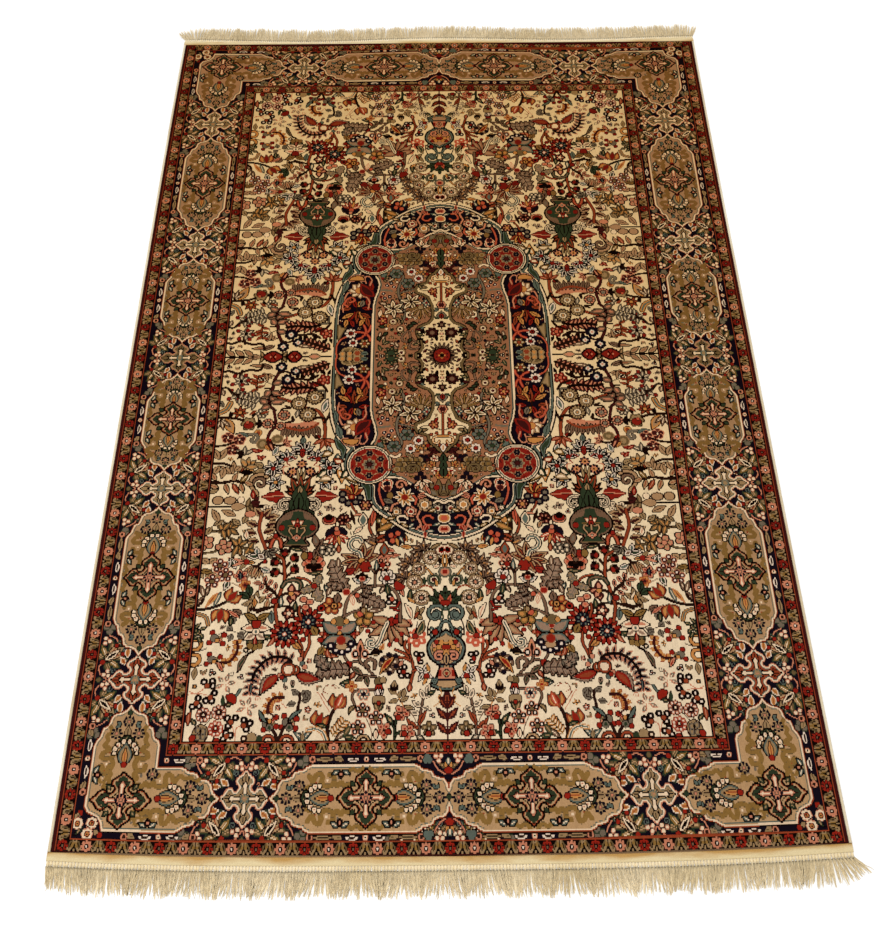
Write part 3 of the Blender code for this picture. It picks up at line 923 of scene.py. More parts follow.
def tulip_stem(p):
    """Tulips on a brown stem."""
    twig(p, [(192, 770), (194, 748), (188, 726), (182, 716)], 3.4, BROWN, BLACK)
    twig(p, [(194, 744), (200, 738)], 2.4)
    tulip(p, 182, 717, 25, -104, RUST, CRIMSON, MOSS)
    p.leaf(172, 694, 26, 7, 66, line_and(CORAL, RUST), bend=2)
    tulip(p, 212, 746, 25, -112, RUST, CRIMSON, MOSS)
    twig(p, [(192, 722), (200, 710), (208, 696), (213, 690)], 1.4, ROSE)
    twig(p, [(176, 684), (184, 678), (194, 676), (202, 682), (204, 690)], 1.3, TAUPE)
    spray(p, [(186, 762), (176, 750), (166, 736)], 12, 5.5, GOLD, 6, stem=OCHRE, core=CREAM)
    p.leaf(196, 748, 16, 6, -18, line_and(GREEN))
    p.leaf(150, 766, 18, 8, -8, line_and(GREEN, BROWN))
    p.leaf(164, 754, 22, 7, 40, line_and(TAUPE))
    p.leaf(158, 748, 16, 6, 56, line_and(MOSS, GREEN))
    for r, yarn in ((13, BLACK), (11, TAN), (7, BLACK), (5, CREAM)):
        p.disc(136, 772, r, yarn)
    p.leaf(116, 768, 16, 7, -90, line_and(CREAM))


def red_oak_group(p):
    """The tan palmette, grey flower, lily and oak leaf between the vase and the pair of red leaves."""
    p.burst(92, 566, ((8, 44), (34, 46), (62, 46), (88, 40), (112, 46), (138, 40), (166, 34), (-14, 36)), 14,
            [(1.4, BLACK), SALMON, (-3.2, TAN)], bend=2)
    p.disc(92, 566, 7, [(1.2, BLACK), CRIMSON])
    p.disc(80, 558, 6, [(1.0, BLACK), CRIMSON])
    p.disc(85, 566, 4.6, [(0.8, BLACK), CRIMSON])
    p.discs(((123, 567), (132, 583), (75, 589), (83, 600), (95, 608)), 3.4, CRIMSON)
    p.stem([(99, 568), (106, 584), (112, 602), (122, 613), (131, 609), (131, 601), (124, 600)], 6.4,
           [(1.0, BLACK), CREAM, (-2.0, TEAL)])
    p.leaf(104, 606, 18, 6, 60, line_and(GOLD, ROSE, 0.6))
    p.leaf(110, 618, 18, 7, 20, [(1.0, BLACK), KHAKI], bend=2.5)
    slashed_flower(p)
    flame_bud(p)
    grey_stems(p)
    oak_leaves(p)
    mauve_lily(p)
    teal_arc(p)
    tulip_stem(p)


def red_daisy(p, x, y, r):
    """Red petals about a wide navy ring with a pale diamond in it."""
    p.ring(x, y, r * 0.79, 14, r * 0.22, [(0.9, BLACK), CRIMSON], 8, ry=r * 0.12)
    p.ring(x, y, r * 0.62, 7, r * 0.12, ROSE, 20, ry=r * 0.07)
    p.disc(x, y, r * 0.5, NAVY)
    p.ring(x, y, r * 0.35, 8, r * 0.1, TEAL, 22, ry=r * 0.05)
    p.region([(x - r * 0.2, y), (x, y - r * 0.2), (x + r * 0.2, y), (x, y + r * 0.2)], [ROSE, (-1.3, WHITE)])


def field_fern(p):
    """Fern."""
    fern = [(258, 636), (268, 629), (285, 627), (302, 634), (313, 646), (320, 660), (322, 672), (323, 690)]
    spray(p, fern, 15, 7, [(0.5, ROSE), STONE, (-1.4, NAVY)], 10.5, stem=BLACK, thick=2.6, lean=66)
    p.leaf(323, 672, 22, 7, 90, [(0.6, ROSE), NAVY])


def red_leaves(p):
    """The pair of red leaves."""
    for x, y, r in ((252, 651, 7.5), (263, 650, 11)):
        p.disc(x, y, r, [(1.2, BROWN), RUST, (-3.0, BROWN), (-3.8, CREAM)])
    for foot, direction, bend in ((248, 168, -2), (280, 50, -4)):
        p.leaf(foot, 660, 42, 22, direction, [(1.5, BLACK), STONE], bend=bend, teeth=7, tip=0.75)
        p.leaf(foot, 660, 38, 15, direction, [(0.5, MAROON), CRIMSON, (-3.6, RUST)], bend=bend * 0.6,
               tip=0.75)
    for x, y, yarn in ((240, 640, TEAL), (244, 632, ROSE), (268, 668, TEAL), (276, 660, ROSE),
                       (236, 646, ROSE)):
        p.disc(x, y, 4.0, yarn)
    p.disc(273, 664, 3.4, CRIMSON)


def cream_palmette(p):
    """Cream palmette on a green bud."""
    for side in (-1, 1):
        p.leaf(322, 574, 24, 13, -90 + side * 96, [(1.3, BLACK), CREAM, (-3.4, ROSE)])
        p.leaf(322, 566, 22, 12, -90 + side * 50, [(1.3, BLACK), KHAKI, (-3.0, MOSS)])
        p.leaf(322, 612, 26, 12, -90 + side * 26, [(1.2, BLACK), GREEN, (-3, MOSS)], bend=side * 2)
        p.leaf(322, 586, 22, 12, 90 - side * 62, [(1.3, BLACK), CREAM, (-3.2, STONE)])
    p.disc(322, 566, 7.5, [(1.0, BROWN), CRIMSON], ry=10)
    p.disc(322, 582, 5.5, [(0.8, BROWN), CREAM, (-3, TEAL)])
    p.leaf(322, 610, 20, 5.5, -90, CRIMSON)
    for side in (-1, 0, 1):
        p.disc(322 + side * 8, 610 - abs(side) * 2, 5.2, OCHRE)
    p.leaf(290, 592, 20, 7, 56, [(0.8, BROWN), RUST], bend=2)
    p.leaf(296, 594, 12, 8, -20, line_and(GREEN))


def rust_fern(p):
    """Dark twig and rust fern."""
    twig(p, [(324, 618), (332, 622), (338, 632), (344, 650)], 1.8, BLACK)
    p.leaf(334, 624, 32, 7, 66, [(1.0, BLACK), TAUPE, (-1.8, GREEN)], bend=-2)
    p.disc(336, 615, 4, [BLACK, (-1.8, CREAM)])
    spray(p, [(378, 636), (364, 636), (354, 626), (350, 612), (352, 600)], 9.5, 7, [(0.5, RUST), GOLD], 10,
          stem=MAROON, thick=2.2)
    p.curl(356, 656, 5, 0, GREY, width=1.4)
    p.leaves(((352, 590, 210), (352, 588, 150), (362, 586, 70), (362, 580, -40), (360, 566, -80)), 9,
             line_and(GREY, BROWN, 0.7), length=13)
    twig(p, [(352, 584), (364, 580), (376, 582), (386, 588)], 1.6)
    red_dots(p, 386, 594, 12)
    red_dots(p, 388, 632, 11)
    p.leaf(372, 652, 20, 6, -60, [(1.0, BLACK), ROSE])
    for y in (605, 632):
        p.stem([(426, y - 9), (416, y - 8), (412, y), (418, y + 8), (427, y + 8)], 4.8, [(1.0, BROWN), GOLD])
        twig(p, [(402, y + 6), (412, y + 10), (428, y + 14)], 1.6)
    spray(p, [(428, 574), (416, 578), (420, 592)], 12, 6, line_and(GREEN, BLACK, 0.7), 8, stem=BLACK)
    p.leaf(418, 646, 20, 8, 88, [(0.8, BROWN), KHAKI])
    p.disc(416, 678, 3.2, [BROWN, (-1.4, GOLD)])


def triple_berries(p):
    """Black and white triple berries with red joints."""
    twigs(p, ([(428, 684), (412, 690), (398, 680)], [(428, 692), (408, 690), (390, 694)],
              [(342, 768), (341, 748), (326, 744)], [(342, 768), (344, 756), (350, 742)]), 1.5, ROSE)
    trios = ((395, 677, ((-8, -8), (6, -7), (-9, 0))), (388, 697, ((-6, -8), (-3, 6), (7, 5))),
             (410, 706, ((-2, -8), (-5, 5), (6, 6))), (330, 744, ((-10, -4), (0, -9), (-5, 6))),
             (351, 738, ((-7, -7), (6, -6), (4, 7))), (356, 761, ((-6, -1), (2, -6), (5, 5))))
    for x, y, places in trios:
        berries(p, x, y, 5.2, places)
    for x, y in ((366, 674), (327, 714)):
        for d in (-170, -105, -45, 20, 120):
            p.leaf(x + 5 * math.cos(math.radians(d)), y + 5 * math.sin(math.radians(d)), 12, 6.6, d,
                   [(0.5, ROSE), GREY])
        twig(p, [(x + 14, y + 8), (x, y), (x - 3, y + 10)], 1.3, ROSE)
    twig(p, [(340, 684), (346, 694), (352, 700)], 3.2, TEAL, BLACK)
    p.region([(346, 698), (352, 692), (362, 694), (358, 704), (352, 708), (346, 706)],
             [(1.0, BROWN), CRIMSON], smooth=True)
    p.leaf(352, 708, 12, 6, 10, line_and(GREEN, BROWN))
    p.stem([(358, 704), (364, 712), (368, 718)], 3.0, BROWN)
    p.leaf(366, 712, 18, 5, -84, GREEN)


def pink_rosettes(p):
    """Pink rosettes."""
    for x, y, r, rim in ((372, 722, 12, MAROON), (397, 726, 12, MAROON), (375, 749, 12.5, CRIMSON)):
        p.ring(x, y, r * 0.72, 9, r * 0.27, [(0.8, rim), ROSE, (-1.7, WHITE)])
        p.disc(x, y, r * 0.42, [rim, (-1.4, BLACK), (-3.2, CREAM)])
    twigs(p, ([(382, 730), (390, 740), (396, 746)], [(400, 738), (399, 746)], [(376, 760), (378, 768)]), 1.6)
    p.disc(399, 757, 12, line_and(KHAKI, BROWN, 1.0), ry=14)
    for dx, dy in ((-5, 5), (4, 6), (4, -6), (-4, -4)):
        p.disc(399 + dx, 757 + dy, 4.6, [GREY, (-2.0, KHAKI)])
    p.disc(399, 753, 2.4, BLACK)
    p.discs(((411, 764, 5), (372, 768, 4)), None, CRIMSON)
    p.leaf(408, 742, 12, 6, -50, line_and(GREEN))
    p.leaf(420, 742, 22, 7, -96, line_and(RUST, BROWN), bend=2)


def lower_plant(p):
    """Plant under the red leaves."""
    twig(p, [(244, 728), (243, 712), (241, 700), (244, 690)], 2.2)
    p.leaves(((238, 704, 195), (240, 694, -150), (244, 694, -40), (248, 708, 10), (228, 690, 60),
              (232, 688, 130)), 9, line_and(GREY, BROWN, 0.7), length=14)
    spray(p, [(268, 698), (282, 698), (292, 710), (292, 724)], 10, 7, [(0.5, RUST), GOLD], 9, stem=MAROON,
          thick=2.4)
    twig(p, [(262, 716), (270, 708), (276, 704)], 1.2, ROSE)
    for x, flip in ((256, 1), (288, -1)):
        red_dots(p, x, 740, 12, flip)
        p.disc(x, 748, 5.5, [(0.8, BLACK), GREY, (-2.4, GREEN)])
    p.stem([(292, 722), (280, 730)], 3.4, MAROON)
    p.leaves(((238, 720, 40, 26), (306, 720, 125, 24)), 5, line_and(TEAL), bend=-2)
    twigs(p, ([(272, 768), (268, 756), (266, 750)], [(274, 768), (278, 758), (282, 752)]), 3.0)
    for x in (259, 289):
        p.disc(x, 771, 11.5, [(1.0, BROWN), RUST, (-3.4, NAVY), (-5.6, CREAM), (-8.5, BROWN)])


def edge_bits(p):
    """Small things along the edge."""
    p.pair(234, 770, 20, 7, -90, 44, line_and(TEAL), bend=-2)
    p.leaf(234, 770, 14, 6, -90, KHAKI)
    p.stem([(196, 768), (202, 756), (214, 750), (226, 752)], 5.5, [(0.8, GOLD), CREAM, (-1.6, TEAL)])
    for x, y, r, yarn in ((304, 766, 5, GREEN), (316, 764, 8, KHAKI), (328, 765, 4.5, BROWN),
                          (328, 765, 2.2, CREAM)):
        p.disc(x, y, r, yarn)
    p.curl(311, 700, 5, 180, ROSE, width=1.3)
    p.leaves(((218, 590, -60, 20, 12), (206, 610, 60, 18, 10)), None, OCHRE)
    p.disc(212, 598, 4.4, CRIMSON)


def corner_field(p):
    """The red rosettes, fern, pair of red leaves and plants towards the field's corner."""
    twigs(p, ([(232, 586), (230, 606), (236, 622), (240, 634)],
              [(256, 590), (248, 600), (242, 614), (241, 632)], [(262, 604), (252, 606), (244, 620)]), 3.2,
          RUST, BROWN)
    p.leaf(243, 614, 24, 9, -48, line_and(GOLD, BROWN), bend=3)
    for x, y, r in ((234, 565, 25), (273, 587, 24)):
        red_daisy(p, x, y, r)
    p.disc(241, 597, 4.2, CRIMSON)
    field_fern(p)
    red_leaves(p)
    cream_palmette(p)
    rust_fern(p)
    triple_berries(p)
    pink_rosettes(p)
    lower_plant(p)
    edge_bits(p)


def field_ends(p):
    axis_vase(p)
    vine_plant(p)
    red_oak_group(p)
    corner_field(p)


# ---------------------------------------------------------------- field beside the medallion's ends

def leaf_fan(p, x, y, turn, count=7, length=19, width=7.5, fill=TAUPE, core=GOLD, spread=210):
    """A tuft of dark-edged leaves with coloured cores."""
    for i in range(count):
        d = turn + spread * (i / (count - 1) - 0.5)
        p.leaf(x, y, length, width, d, line_and(fill, BLACK, 0.9))
        p.leaf(x, y, length * 0.75, width * 0.36, d, core if i % 2 else BROWN)


def vase_foliage(p):
    """Foliage and handles on top of the tall vase."""
    p.leaves(((2, 536, -92, 34), (6, 536, -66, 32), (10, 534, -40, 24), (2, 530, -75, 20)), 11,
             line_and(GREEN), teeth=3)
    p.leaf(4, 540, 24, 9, -78, [(0.8, BROWN), CORAL], teeth=3)
    p.disc(3, 532, 5, CRIMSON)
    p.curl(17, 552, 17, -150, [(1.2, BLACK), TEAL], width=4.4, turns=1.2)
    p.disc(18, 554, 5.5, [(1.0, BLACK), TEAL])
    p.stem([(2, 540), (6, 548), (4, 560)], 3.0, GREEN)
    p.stem([(0, 565), (8, 572), (12, 582)], 3.0, [(0.9, BLACK), TEAL])
    p.leaves(((36, 540, 50, 26), (40, 562, -40, 14)), 6.5, [(1.0, BROWN), KHAKI])
    p.leaf(58, 560, 30, 8, -66, [(0.9, BROWN), CREAM], bend=-2)
    p.leaf(52, 560, 22, 6, -100, [(0.9, BROWN), KHAKI], bend=-2)
    p.leaf(46, 548, 16, 4, 60, RUST)
    p.leaf(62, 528, 22, 7, -96, line_and(GREEN))
    p.leaf(52, 532, 18, 4.5, -38, GOLD)


def axis_rosettes(p):
    for x, y, r in ((25, 445, 14), (45, 467, 12.5), (53, 493, 14), (41, 522, 14)):
        p.lobed(x, y, r, 14, [(0.9, BROWN), KHAKI, (-2.2, TAUPE), (-3.6, CREAM)], notch=0.08)
        p.ring(x, y, r * 0.62, 14, 1.3, TAUPE)
        p.lobed(x, y, r * 0.48, 8, BLACK, notch=0.22)
        p.disc(x, y, r * 0.2, [(0.6, TAUPE), (-0.6, ROSE)])
    p.lobed(19, 488, 12, 10, [(0.8, GREEN), GREY, (-1.8, GREEN), (-5.5, CREAM)], notch=0.1)
    p.disc(19, 488, 3.6, MAROON)
    p.lobed(1, 473, 10, 8, [(0.8, GREEN), GREY, (-3.4, ROSE), (-6, CRIMSON)], notch=0.1)
    p.lobed(5, 430, 12, 9, [(0.8, BROWN), TAUPE, (-2.4, CREAM), (-5.5, CRIMSON), (-8, BLACK)], notch=0.1)
    twig(p, [(22, 478), (28, 470), (34, 464)], 2.0, GOLD)
    twig(p, [(2, 440), (4, 452), (2, 462)], 2.4, GOLD)
    p.leaf(8, 446, 12, 4, 90, BLACK)
    p.leaf(36, 484, 14, 4.5, 90, line_and(GREEN, BLACK, 0.7))
    p.leaf(20, 464, 12, 7, 200, [(0.8, BROWN), CREAM])
    p.leaf(14, 500, 12, 5, -80, GOLD)
    p.stem([(18, 512), (24, 503), (34, 499), (42, 502)], 2.6, RUST)
    p.leaf(26, 428, 24, 7, 210, line_and(MOSS, BROWN, 0.8))
    vase_foliage(p)


def curled_palmette(p):
    """Brown palmette with a long curl."""
    for d, n in ((-160, 34), (-128, 38), (-96, 36), (-20, 36), (8, 36), (38, 34), (66, 28)):
        p.leaf(147, 450, n, 13, d, [(1.4, MAROON), TAN, (-2.6, BROWN)])
        p.leaf(147, 450, n * 0.8, 4, d, RUST)
    p.leaf(158, 466, 22, 12, 30, [(1.2, MAROON), CRIMSON])
    p.stem([(146, 446), (150, 434), (162, 428), (168, 418), (163, 407), (152, 405), (147, 411)], 6.6,
           [(1.2, BLACK), CREAM, (-1.6, TEAL)])
    p.disc(146, 450, 5.0, [(0.9, BROWN), GOLD])
    p.lobed(139, 462, 10, 6, [(1.0, MAROON), CRIMSON], notch=0.2)


def arch_and_cup(p):
    """Cup on the arch."""
    for side in (-1, 1):
        p.leaf(145, 494, 18, 9, -90 + side * 58, [(1.1, BLACK), WHITE, (-2.4, TEAL)], bend=side * -1.5)
        p.disc(145 + side * 7, 481, 3.4, BLACK)
    p.disc(145, 478, 4.2, BLACK)
    p.disc(144, 485, 4.0, [(0.8, ROSE), CRIMSON])
    arch = [(77, 566), (78, 532), (87, 509), (104, 499), (122, 499), (145, 501), (161, 514), (170, 530),
            (174, 556)]
    twig(p, arch, 4.2, TAUPE, BLACK)
    twig(p, [(122, 500), (122, 484), (123, 472), (132, 464)], 3.0, TAUPE, BLACK)
    twig(p, [(122, 474), (116, 466), (112, 468)], 2.0)
    twig(p, [(144, 500), (145, 492)], 3.0, TAUPE)
    oak(p, 172, 508, 62, 32, -66, TAUPE, BROWN, 5, 2)
    oak(p, 176, 500, 28, 18, -10, TAUPE, BROWN, 3, 1)
    oak(p, 150, 519, 48, 28, 158, TAUPE, BROWN, 5, 2)
    oak(p, 140, 520, 22, 16, -120, TAUPE, BROWN, 3, 1)
    p.disc(171, 510, 5.6, [(0.8, ROSE), CRIMSON])
    p.disc(152, 517, 4.2, [(0.8, BROWN), CORAL])
    berries(p, 92, 524, 5.0, ((-5, 6), (5, 6), (4, -5)), CORAL)
    twig(p, [(79, 530), (84, 540), (94, 540)], 3.2, CRIMSON)
    twig(p, [(80, 546), (88, 544)], 2.4, CRIMSON)
    p.leaf(98, 516, 20, 8, -80, line_and(GREEN))
    p.leaf(112, 512, 14, 6, -118, line_and(TAUPE))
    twig(p, [(174, 556), (160, 548), (148, 544), (140, 536)], 3.4, TAUPE, BLACK)
    p.leaf(158, 534, 18, 6, -76, [(0.8, ROSE), CREAM])
    p.leaf(132, 546, 26, 8, 184, [(1.0, BLACK), TAUPE])
    blossom(p, 140, 557, 17, [(1.0, BROWN), OCHRE, (-2.4, GOLD)], turn=-90)
    p.disc(146, 551, 5, CORAL)
    p.disc(141, 545, 3.6, [(0.8, BROWN), KHAKI])


def ring_flower(p):
    """Rust ring flower."""
    blossom(p, 195, 535, 17, [(0.8, BROWN), RUST, (-2.4, GOLD)], petals=6)
    p.disc(191, 536, 6.0, [BROWN, (-1.6, GOLD), (-3.4, BROWN)])
    p.leaf(187, 530, 18, 12, -96, [(1.2, BLACK), TAUPE])
    p.leaf(200, 512, 18, 8, -60, line_and(TEAL))
    p.leaf(198, 500, 18, 8, 70, line_and(TAUPE))
    p.disc(213, 540, 6, [(1, BROWN), CRIMSON, (-3, BLACK)])
    p.leaf(186, 462, 18, 8, -86, [(1.0, BROWN), TAUPE])


def upper_stems(p):
    """Upper stems, gold leaf and buds."""
    for points, yarn in (([(119, 352), (120, 380), (118, 404), (124, 412)], BROWN),
                         ([(127, 352), (133, 368), (134, 384), (126, 404)], RUST)):
        twig(p, points, 3.6, yarn, BROWN)
    p.leaf(125, 346, 34, 9, 82, CORAL)
    leaf_fan(p, 121, 418, -60, 4, 22, 8, TAUPE, GOLD, 70)
    p.leaves(((104, 408, 20, 16, 6), (106, 398, 30, 18, 5)), None, line_and(RUST, BROWN))
    blossom(p, 108, 370, 13, [(0.9, GREEN), OCHRE])
    p.disc(108, 370, 5.4, [(0.8, BROWN), GOLD])
    p.leaf(92, 377, 32, 11, 26, [(1.1, BROWN), OCHRE, (-2.6, GOLD)])
    p.leaf(111, 350, 16, 6, 80, line_and(GREEN))
    p.leaf(145, 380, 26, 15, -88, [(1.4, BLACK), CREAM, (-2.4, TEAL)])
    p.leaf(147, 384, 18, 7, 40, [(1.1, BLACK), CREAM], bend=-1)
    p.leaf(160, 376, 28, 4, -72, BROWN)
    p.leaf(148, 356, 16, 5, 10, ROSE)
    blossom(p, 180, 368, 12, [(0.9, BLACK), MAROON], petals=6)
    p.leaf(168, 386, 14, 7, -60, line_and(TAN, BROWN))
    p.stem([(176, 352), (188, 360), (194, 372), (194, 384)], 3.4, BROWN)
    p.disc(206, 368, 12, [(1.0, BROWN), ROSE], ry=9)
    p.disc(207, 366, 9, CRIMSON, ry=7)
    p.disc(207, 362, 5.5, BLACK)
    p.stem([(162, 398), (162, 392), (167, 392), (166, 398)], 1.4, BLACK)


def navy_red_flower(p):
    """Navy over red flower."""
    for d in (-160, -128, -96, -64, -30, -4):
        q = math.radians(d)
        p.disc(192 + 13 * math.cos(q), 398 + 11 * math.sin(q), 6.4, [(0.8, BROWN), NAVY])
    for d in (30, 55, 80, 105, 130, 155):
        p.leaf(192, 396, 25, 7, d, [(0.8, BROWN), (0, CORAL if d % 2 else CRIMSON)])
    p.leaf(189, 400, 22, 4.5, 102, GOLD)
    p.disc(191, 394, 4.8, CORAL)
    p.disc(192, 386, 3.8, ROSE)


def grapes(p):
    """Dark grapes."""
    p.discs(((196, 428), (202, 422), (209, 426), (216, 424), (200, 434), (208, 434), (216, 432), (204, 428)),
            4.6, [(1.0, BLACK), GREY, (-2.4, CREAM)])
    p.leaf(187, 434, 16, 7, -88, [(1.0, BROWN), RUST])


def palmette_group(p):
    """The navy and brown flowers, the oak leaves and the vine arch."""
    for turn, x, y in ((-30, 40, 432), (-70, 62, 458), (-60, 70, 486)):
        leaf_fan(p, x, y, turn, 7, 22, 8)
    for x, y, d in ((66, 412, -60), (58, 424, -5), (98, 441, 185), (88, 432, -15)):
        p.leaf(x, y, 20, 7.5, d, line_and(ROSE if x > 80 else GOLD, BROWN, 0.9))
    p.ring(88, 402, 12.5, 7, 6.6, line_and(NAVY, BROWN, 0.8), 12)
    p.disc(88, 402, 12, NAVY)
    p.discs(((83, 396), (95, 400), (92, 411)), 4.6, [(0.8, BLACK), CORAL])
    p.disc(88, 403, 2.6, CRIMSON)
    p.leaf(76, 404, 14, 6, 110, [(0.8, BROWN), CRIMSON])
    p.leaf(80, 402, 14, 6, 120, TEAL)
    p.leaf(86, 406, 17, 5, 108, GOLD)
    p.leaf(106, 440, 24, 14, -88, [(1.3, BROWN), RUST, (-3.2, TEAL)])
    p.pair(107, 445, 17, 8, -90, 70, [(0.9, BROWN), ROSE])
    blossom(p, 108, 457, 13, [(0.9, ROSE), BLACK], petals=6)
    p.discs(((102, 450), (112, 450)), 2.2, ROSE)
    p.disc(109, 459, 4.4, CRIMSON)
    p.leaf(119, 474, 24, 6.5, -88, line_and(TEAL))
    blossom(p, 100, 483, 14, [(1.2, BLACK), WHITE], petals=6, turn=10)
    p.disc(101, 484, 5.0, [(0.8, BROWN), CRIMSON])
    p.leaf(72, 518, 19, 6, -66, line_and(ROSE, BROWN))
    p.region([(70, 500), (78, 494), (85, 490), (88, 498), (84, 507), (75, 507)], [(0.9, BROWN), CRIMSON],
             smooth=True)
    curled_palmette(p)
    arch_and_cup(p)
    ring_flower(p)
    upper_stems(p)
    navy_red_flower(p)
    grapes(p)


def side_vase(p):
    """The dark-green vase at each side of the medallion's end."""
    axis = 263
    p.leaf(axis, 350, 40, 16, -90, line_and(GREEN))
    body = [(0, 346), (16, 351), (29, 361), (36, 374), (35, 388), (25, 399), (15, 403), (15, 408), (21, 418),
            (0, 418)]
    outline = [(axis + x, y) for x, y in body] + [(axis - x, y) for x, y in reversed(body[1:-1])]
    p.region(outline, [(2.0, BLACK), (0.2, TAUPE), (-2.4, GREEN)], smooth=True)
    for side in (-1, 1):
        p.region([(axis + side * x, y) for x, y in ((10, 352), (28, 363), (33, 377), (26, 369), (13, 364))],
                 TAUPE, smooth=True)
        p.stem([(axis + side * x, y) for x, y in ((1, 404), (8, 398), (14, 390), (12, 383), (6, 385))], 2.4,
               [(0.8, BLACK), TAN])
        p.stem([(axis + side * x, y) for x, y in ((3, 380), (10, 379), (20, 380))], 1.4, OCHRE)
        p.disc(axis + side * 27.5, 383, 5.4, CRIMSON)
        p.leaf(axis, 378, 15, 8, -90 + side * 48, [(0.8, BLACK), ROSE, (-1.8, CREAM)])
        p.stem([(axis + side * x, y) for x, y in ((16, 402), (14, 409), (19, 417))], 2.2, BLACK)
    p.leaf(axis, 382, 18, 7, -90, [(0.8, BLACK), CRIMSON])
    p.disc(axis, 378, 4.6, CRIMSON)
    p.leaf(axis, 394, 14, 4, -90, TAN)
    p.region([(axis - 9, 403), (axis, 397), (axis + 9, 403), (axis, 410)], [(0.8, BLACK), ROSE])
    p.disc(axis, 403, 2.6, [BLACK, (-1.2, CREAM)])
    p.stem([(axis - 19, 416), (axis + 19, 416)], 2.0, MOSS)


def dark_bell(p, x, y, size, turn):
    """A small nodding flower: an olive cup, a red heart and three black petals."""
    q = p.at(x, y, turn)
    q.pair(-3, 0, size, 6, 0, 50, line_and(MOSS, BROWN, 0.6))
    q.disc(3, 0, size * 0.44, [(0.7, BLACK), CRIMSON])
    for side in (-1, 0, 1):
        q.disc(size * 0.72 - abs(side) * 1.6, side * size * 0.46, size * 0.25, BLACK if side else MAROON)


def coral_flower(p):
    """Navy-hearted coral flower."""
    blossom(p, 230, 455, 20, [(0.8, BROWN), ROSE, (-2.4, CORAL)], petals=8)
    p.discs(((222, 460), (229, 464), (237, 460)), 5.0, BLACK)
    p.disc(230, 451, 4.0, [(1.0, BLACK), TAUPE])
    for x, yarn in ((229, GOLD), (238, CRIMSON), (247, OCHRE)):
        p.disc(x, 439, 5.6, [(0.9, BROWN), yarn], ry=7)
    leaf_fan(p, 226, 424, 180, 6, 22, 8, TAUPE, BROWN, 200)
    p.leaf(226, 420, 24, 11, -76, [(1.1, BLACK), TAUPE, (-3, GREY)])
    p.leaf(243, 428, 18, 11, -30, [(1.0, BROWN), TAUPE])
    p.leaf(252, 428, 22, 6, -12, line_and(GREEN))
    p.leaf(215, 470, 24, 6, 8, line_and(GREEN, BROWN), bend=2)
    twig(p, [(230, 496), (240, 486), (256, 482), (266, 486)], 3.0, RUST, BROWN)
    p.stem([(250, 503), (251, 492), (262, 486), (276, 489), (282, 498)], 6.0,
           [(1.0, BLACK), GREEN, (-1.8, TAUPE)])
    oak(p, 227, 500, 28, 20, 116, KHAKI, GREY, 3, 0)
    oak(p, 226, 500, 24, 16, 20, KHAKI, GREY, 3, 0)
    oak(p, 226, 498, 22, 16, -114, KHAKI, GREY, 3, 0)
    p.disc(227, 498, 4.6, [(0.8, BROWN), CRIMSON])


def maroon_flower(p):
    """Maroon and cream flower, pink buds."""
    for d, n in ((-90, 17), (180, 16), (88, 18), (120, 14)):
        p.leaf(266, 512, n + 2, 13, d, [(0.8, BLACK), MAROON, (-3.0, ROSE)])
    p.disc(266, 512, 4.0, GOLD)
    p.discs(((244, 523), (233, 528), (240, 538)), 5.6, [(1.0, MAROON), ROSE, (-2.4, CORAL)], ry=4.6)
    blossom(p, 268, 549, 11, [(1.0, BLACK), MAROON, (-2.2, ROSE)], CREAM)
    p.leaf(258, 544, 16, 7, -92, line_and(GREEN))
    p.leaf(282, 536, 20, 7, -84, [(1.0, BLACK), TEAL, (-2, CREAM)])
    p.disc(294, 526, 4.8, [(1.2, BROWN), CRIMSON])
    p.leaf(308, 538, 16, 8, -100, [(1.0, BLACK), TAN])
    p.leaf(296, 566, 22, 10, -84, [(0.8, BROWN), TEAL])


def olive_lily(p):
    """Olive lily."""
    p.burst(328, 528, (-150, -100, -50, 10, 60), 10, [(1.0, BROWN), KHAKI], length=21)
    p.leaf(328, 536, 16, 6, -90, [(0.9, BLACK), GOLD])
    p.leaf(320, 528, 16, 4, -60, [(0.7, BLACK), CREAM])
    twig(p, [(308, 538), (322, 542), (334, 540)], 3.4)
    p.pair(322, 560, 24, 10, -90, 62, [(1.2, BLACK), OCHRE])


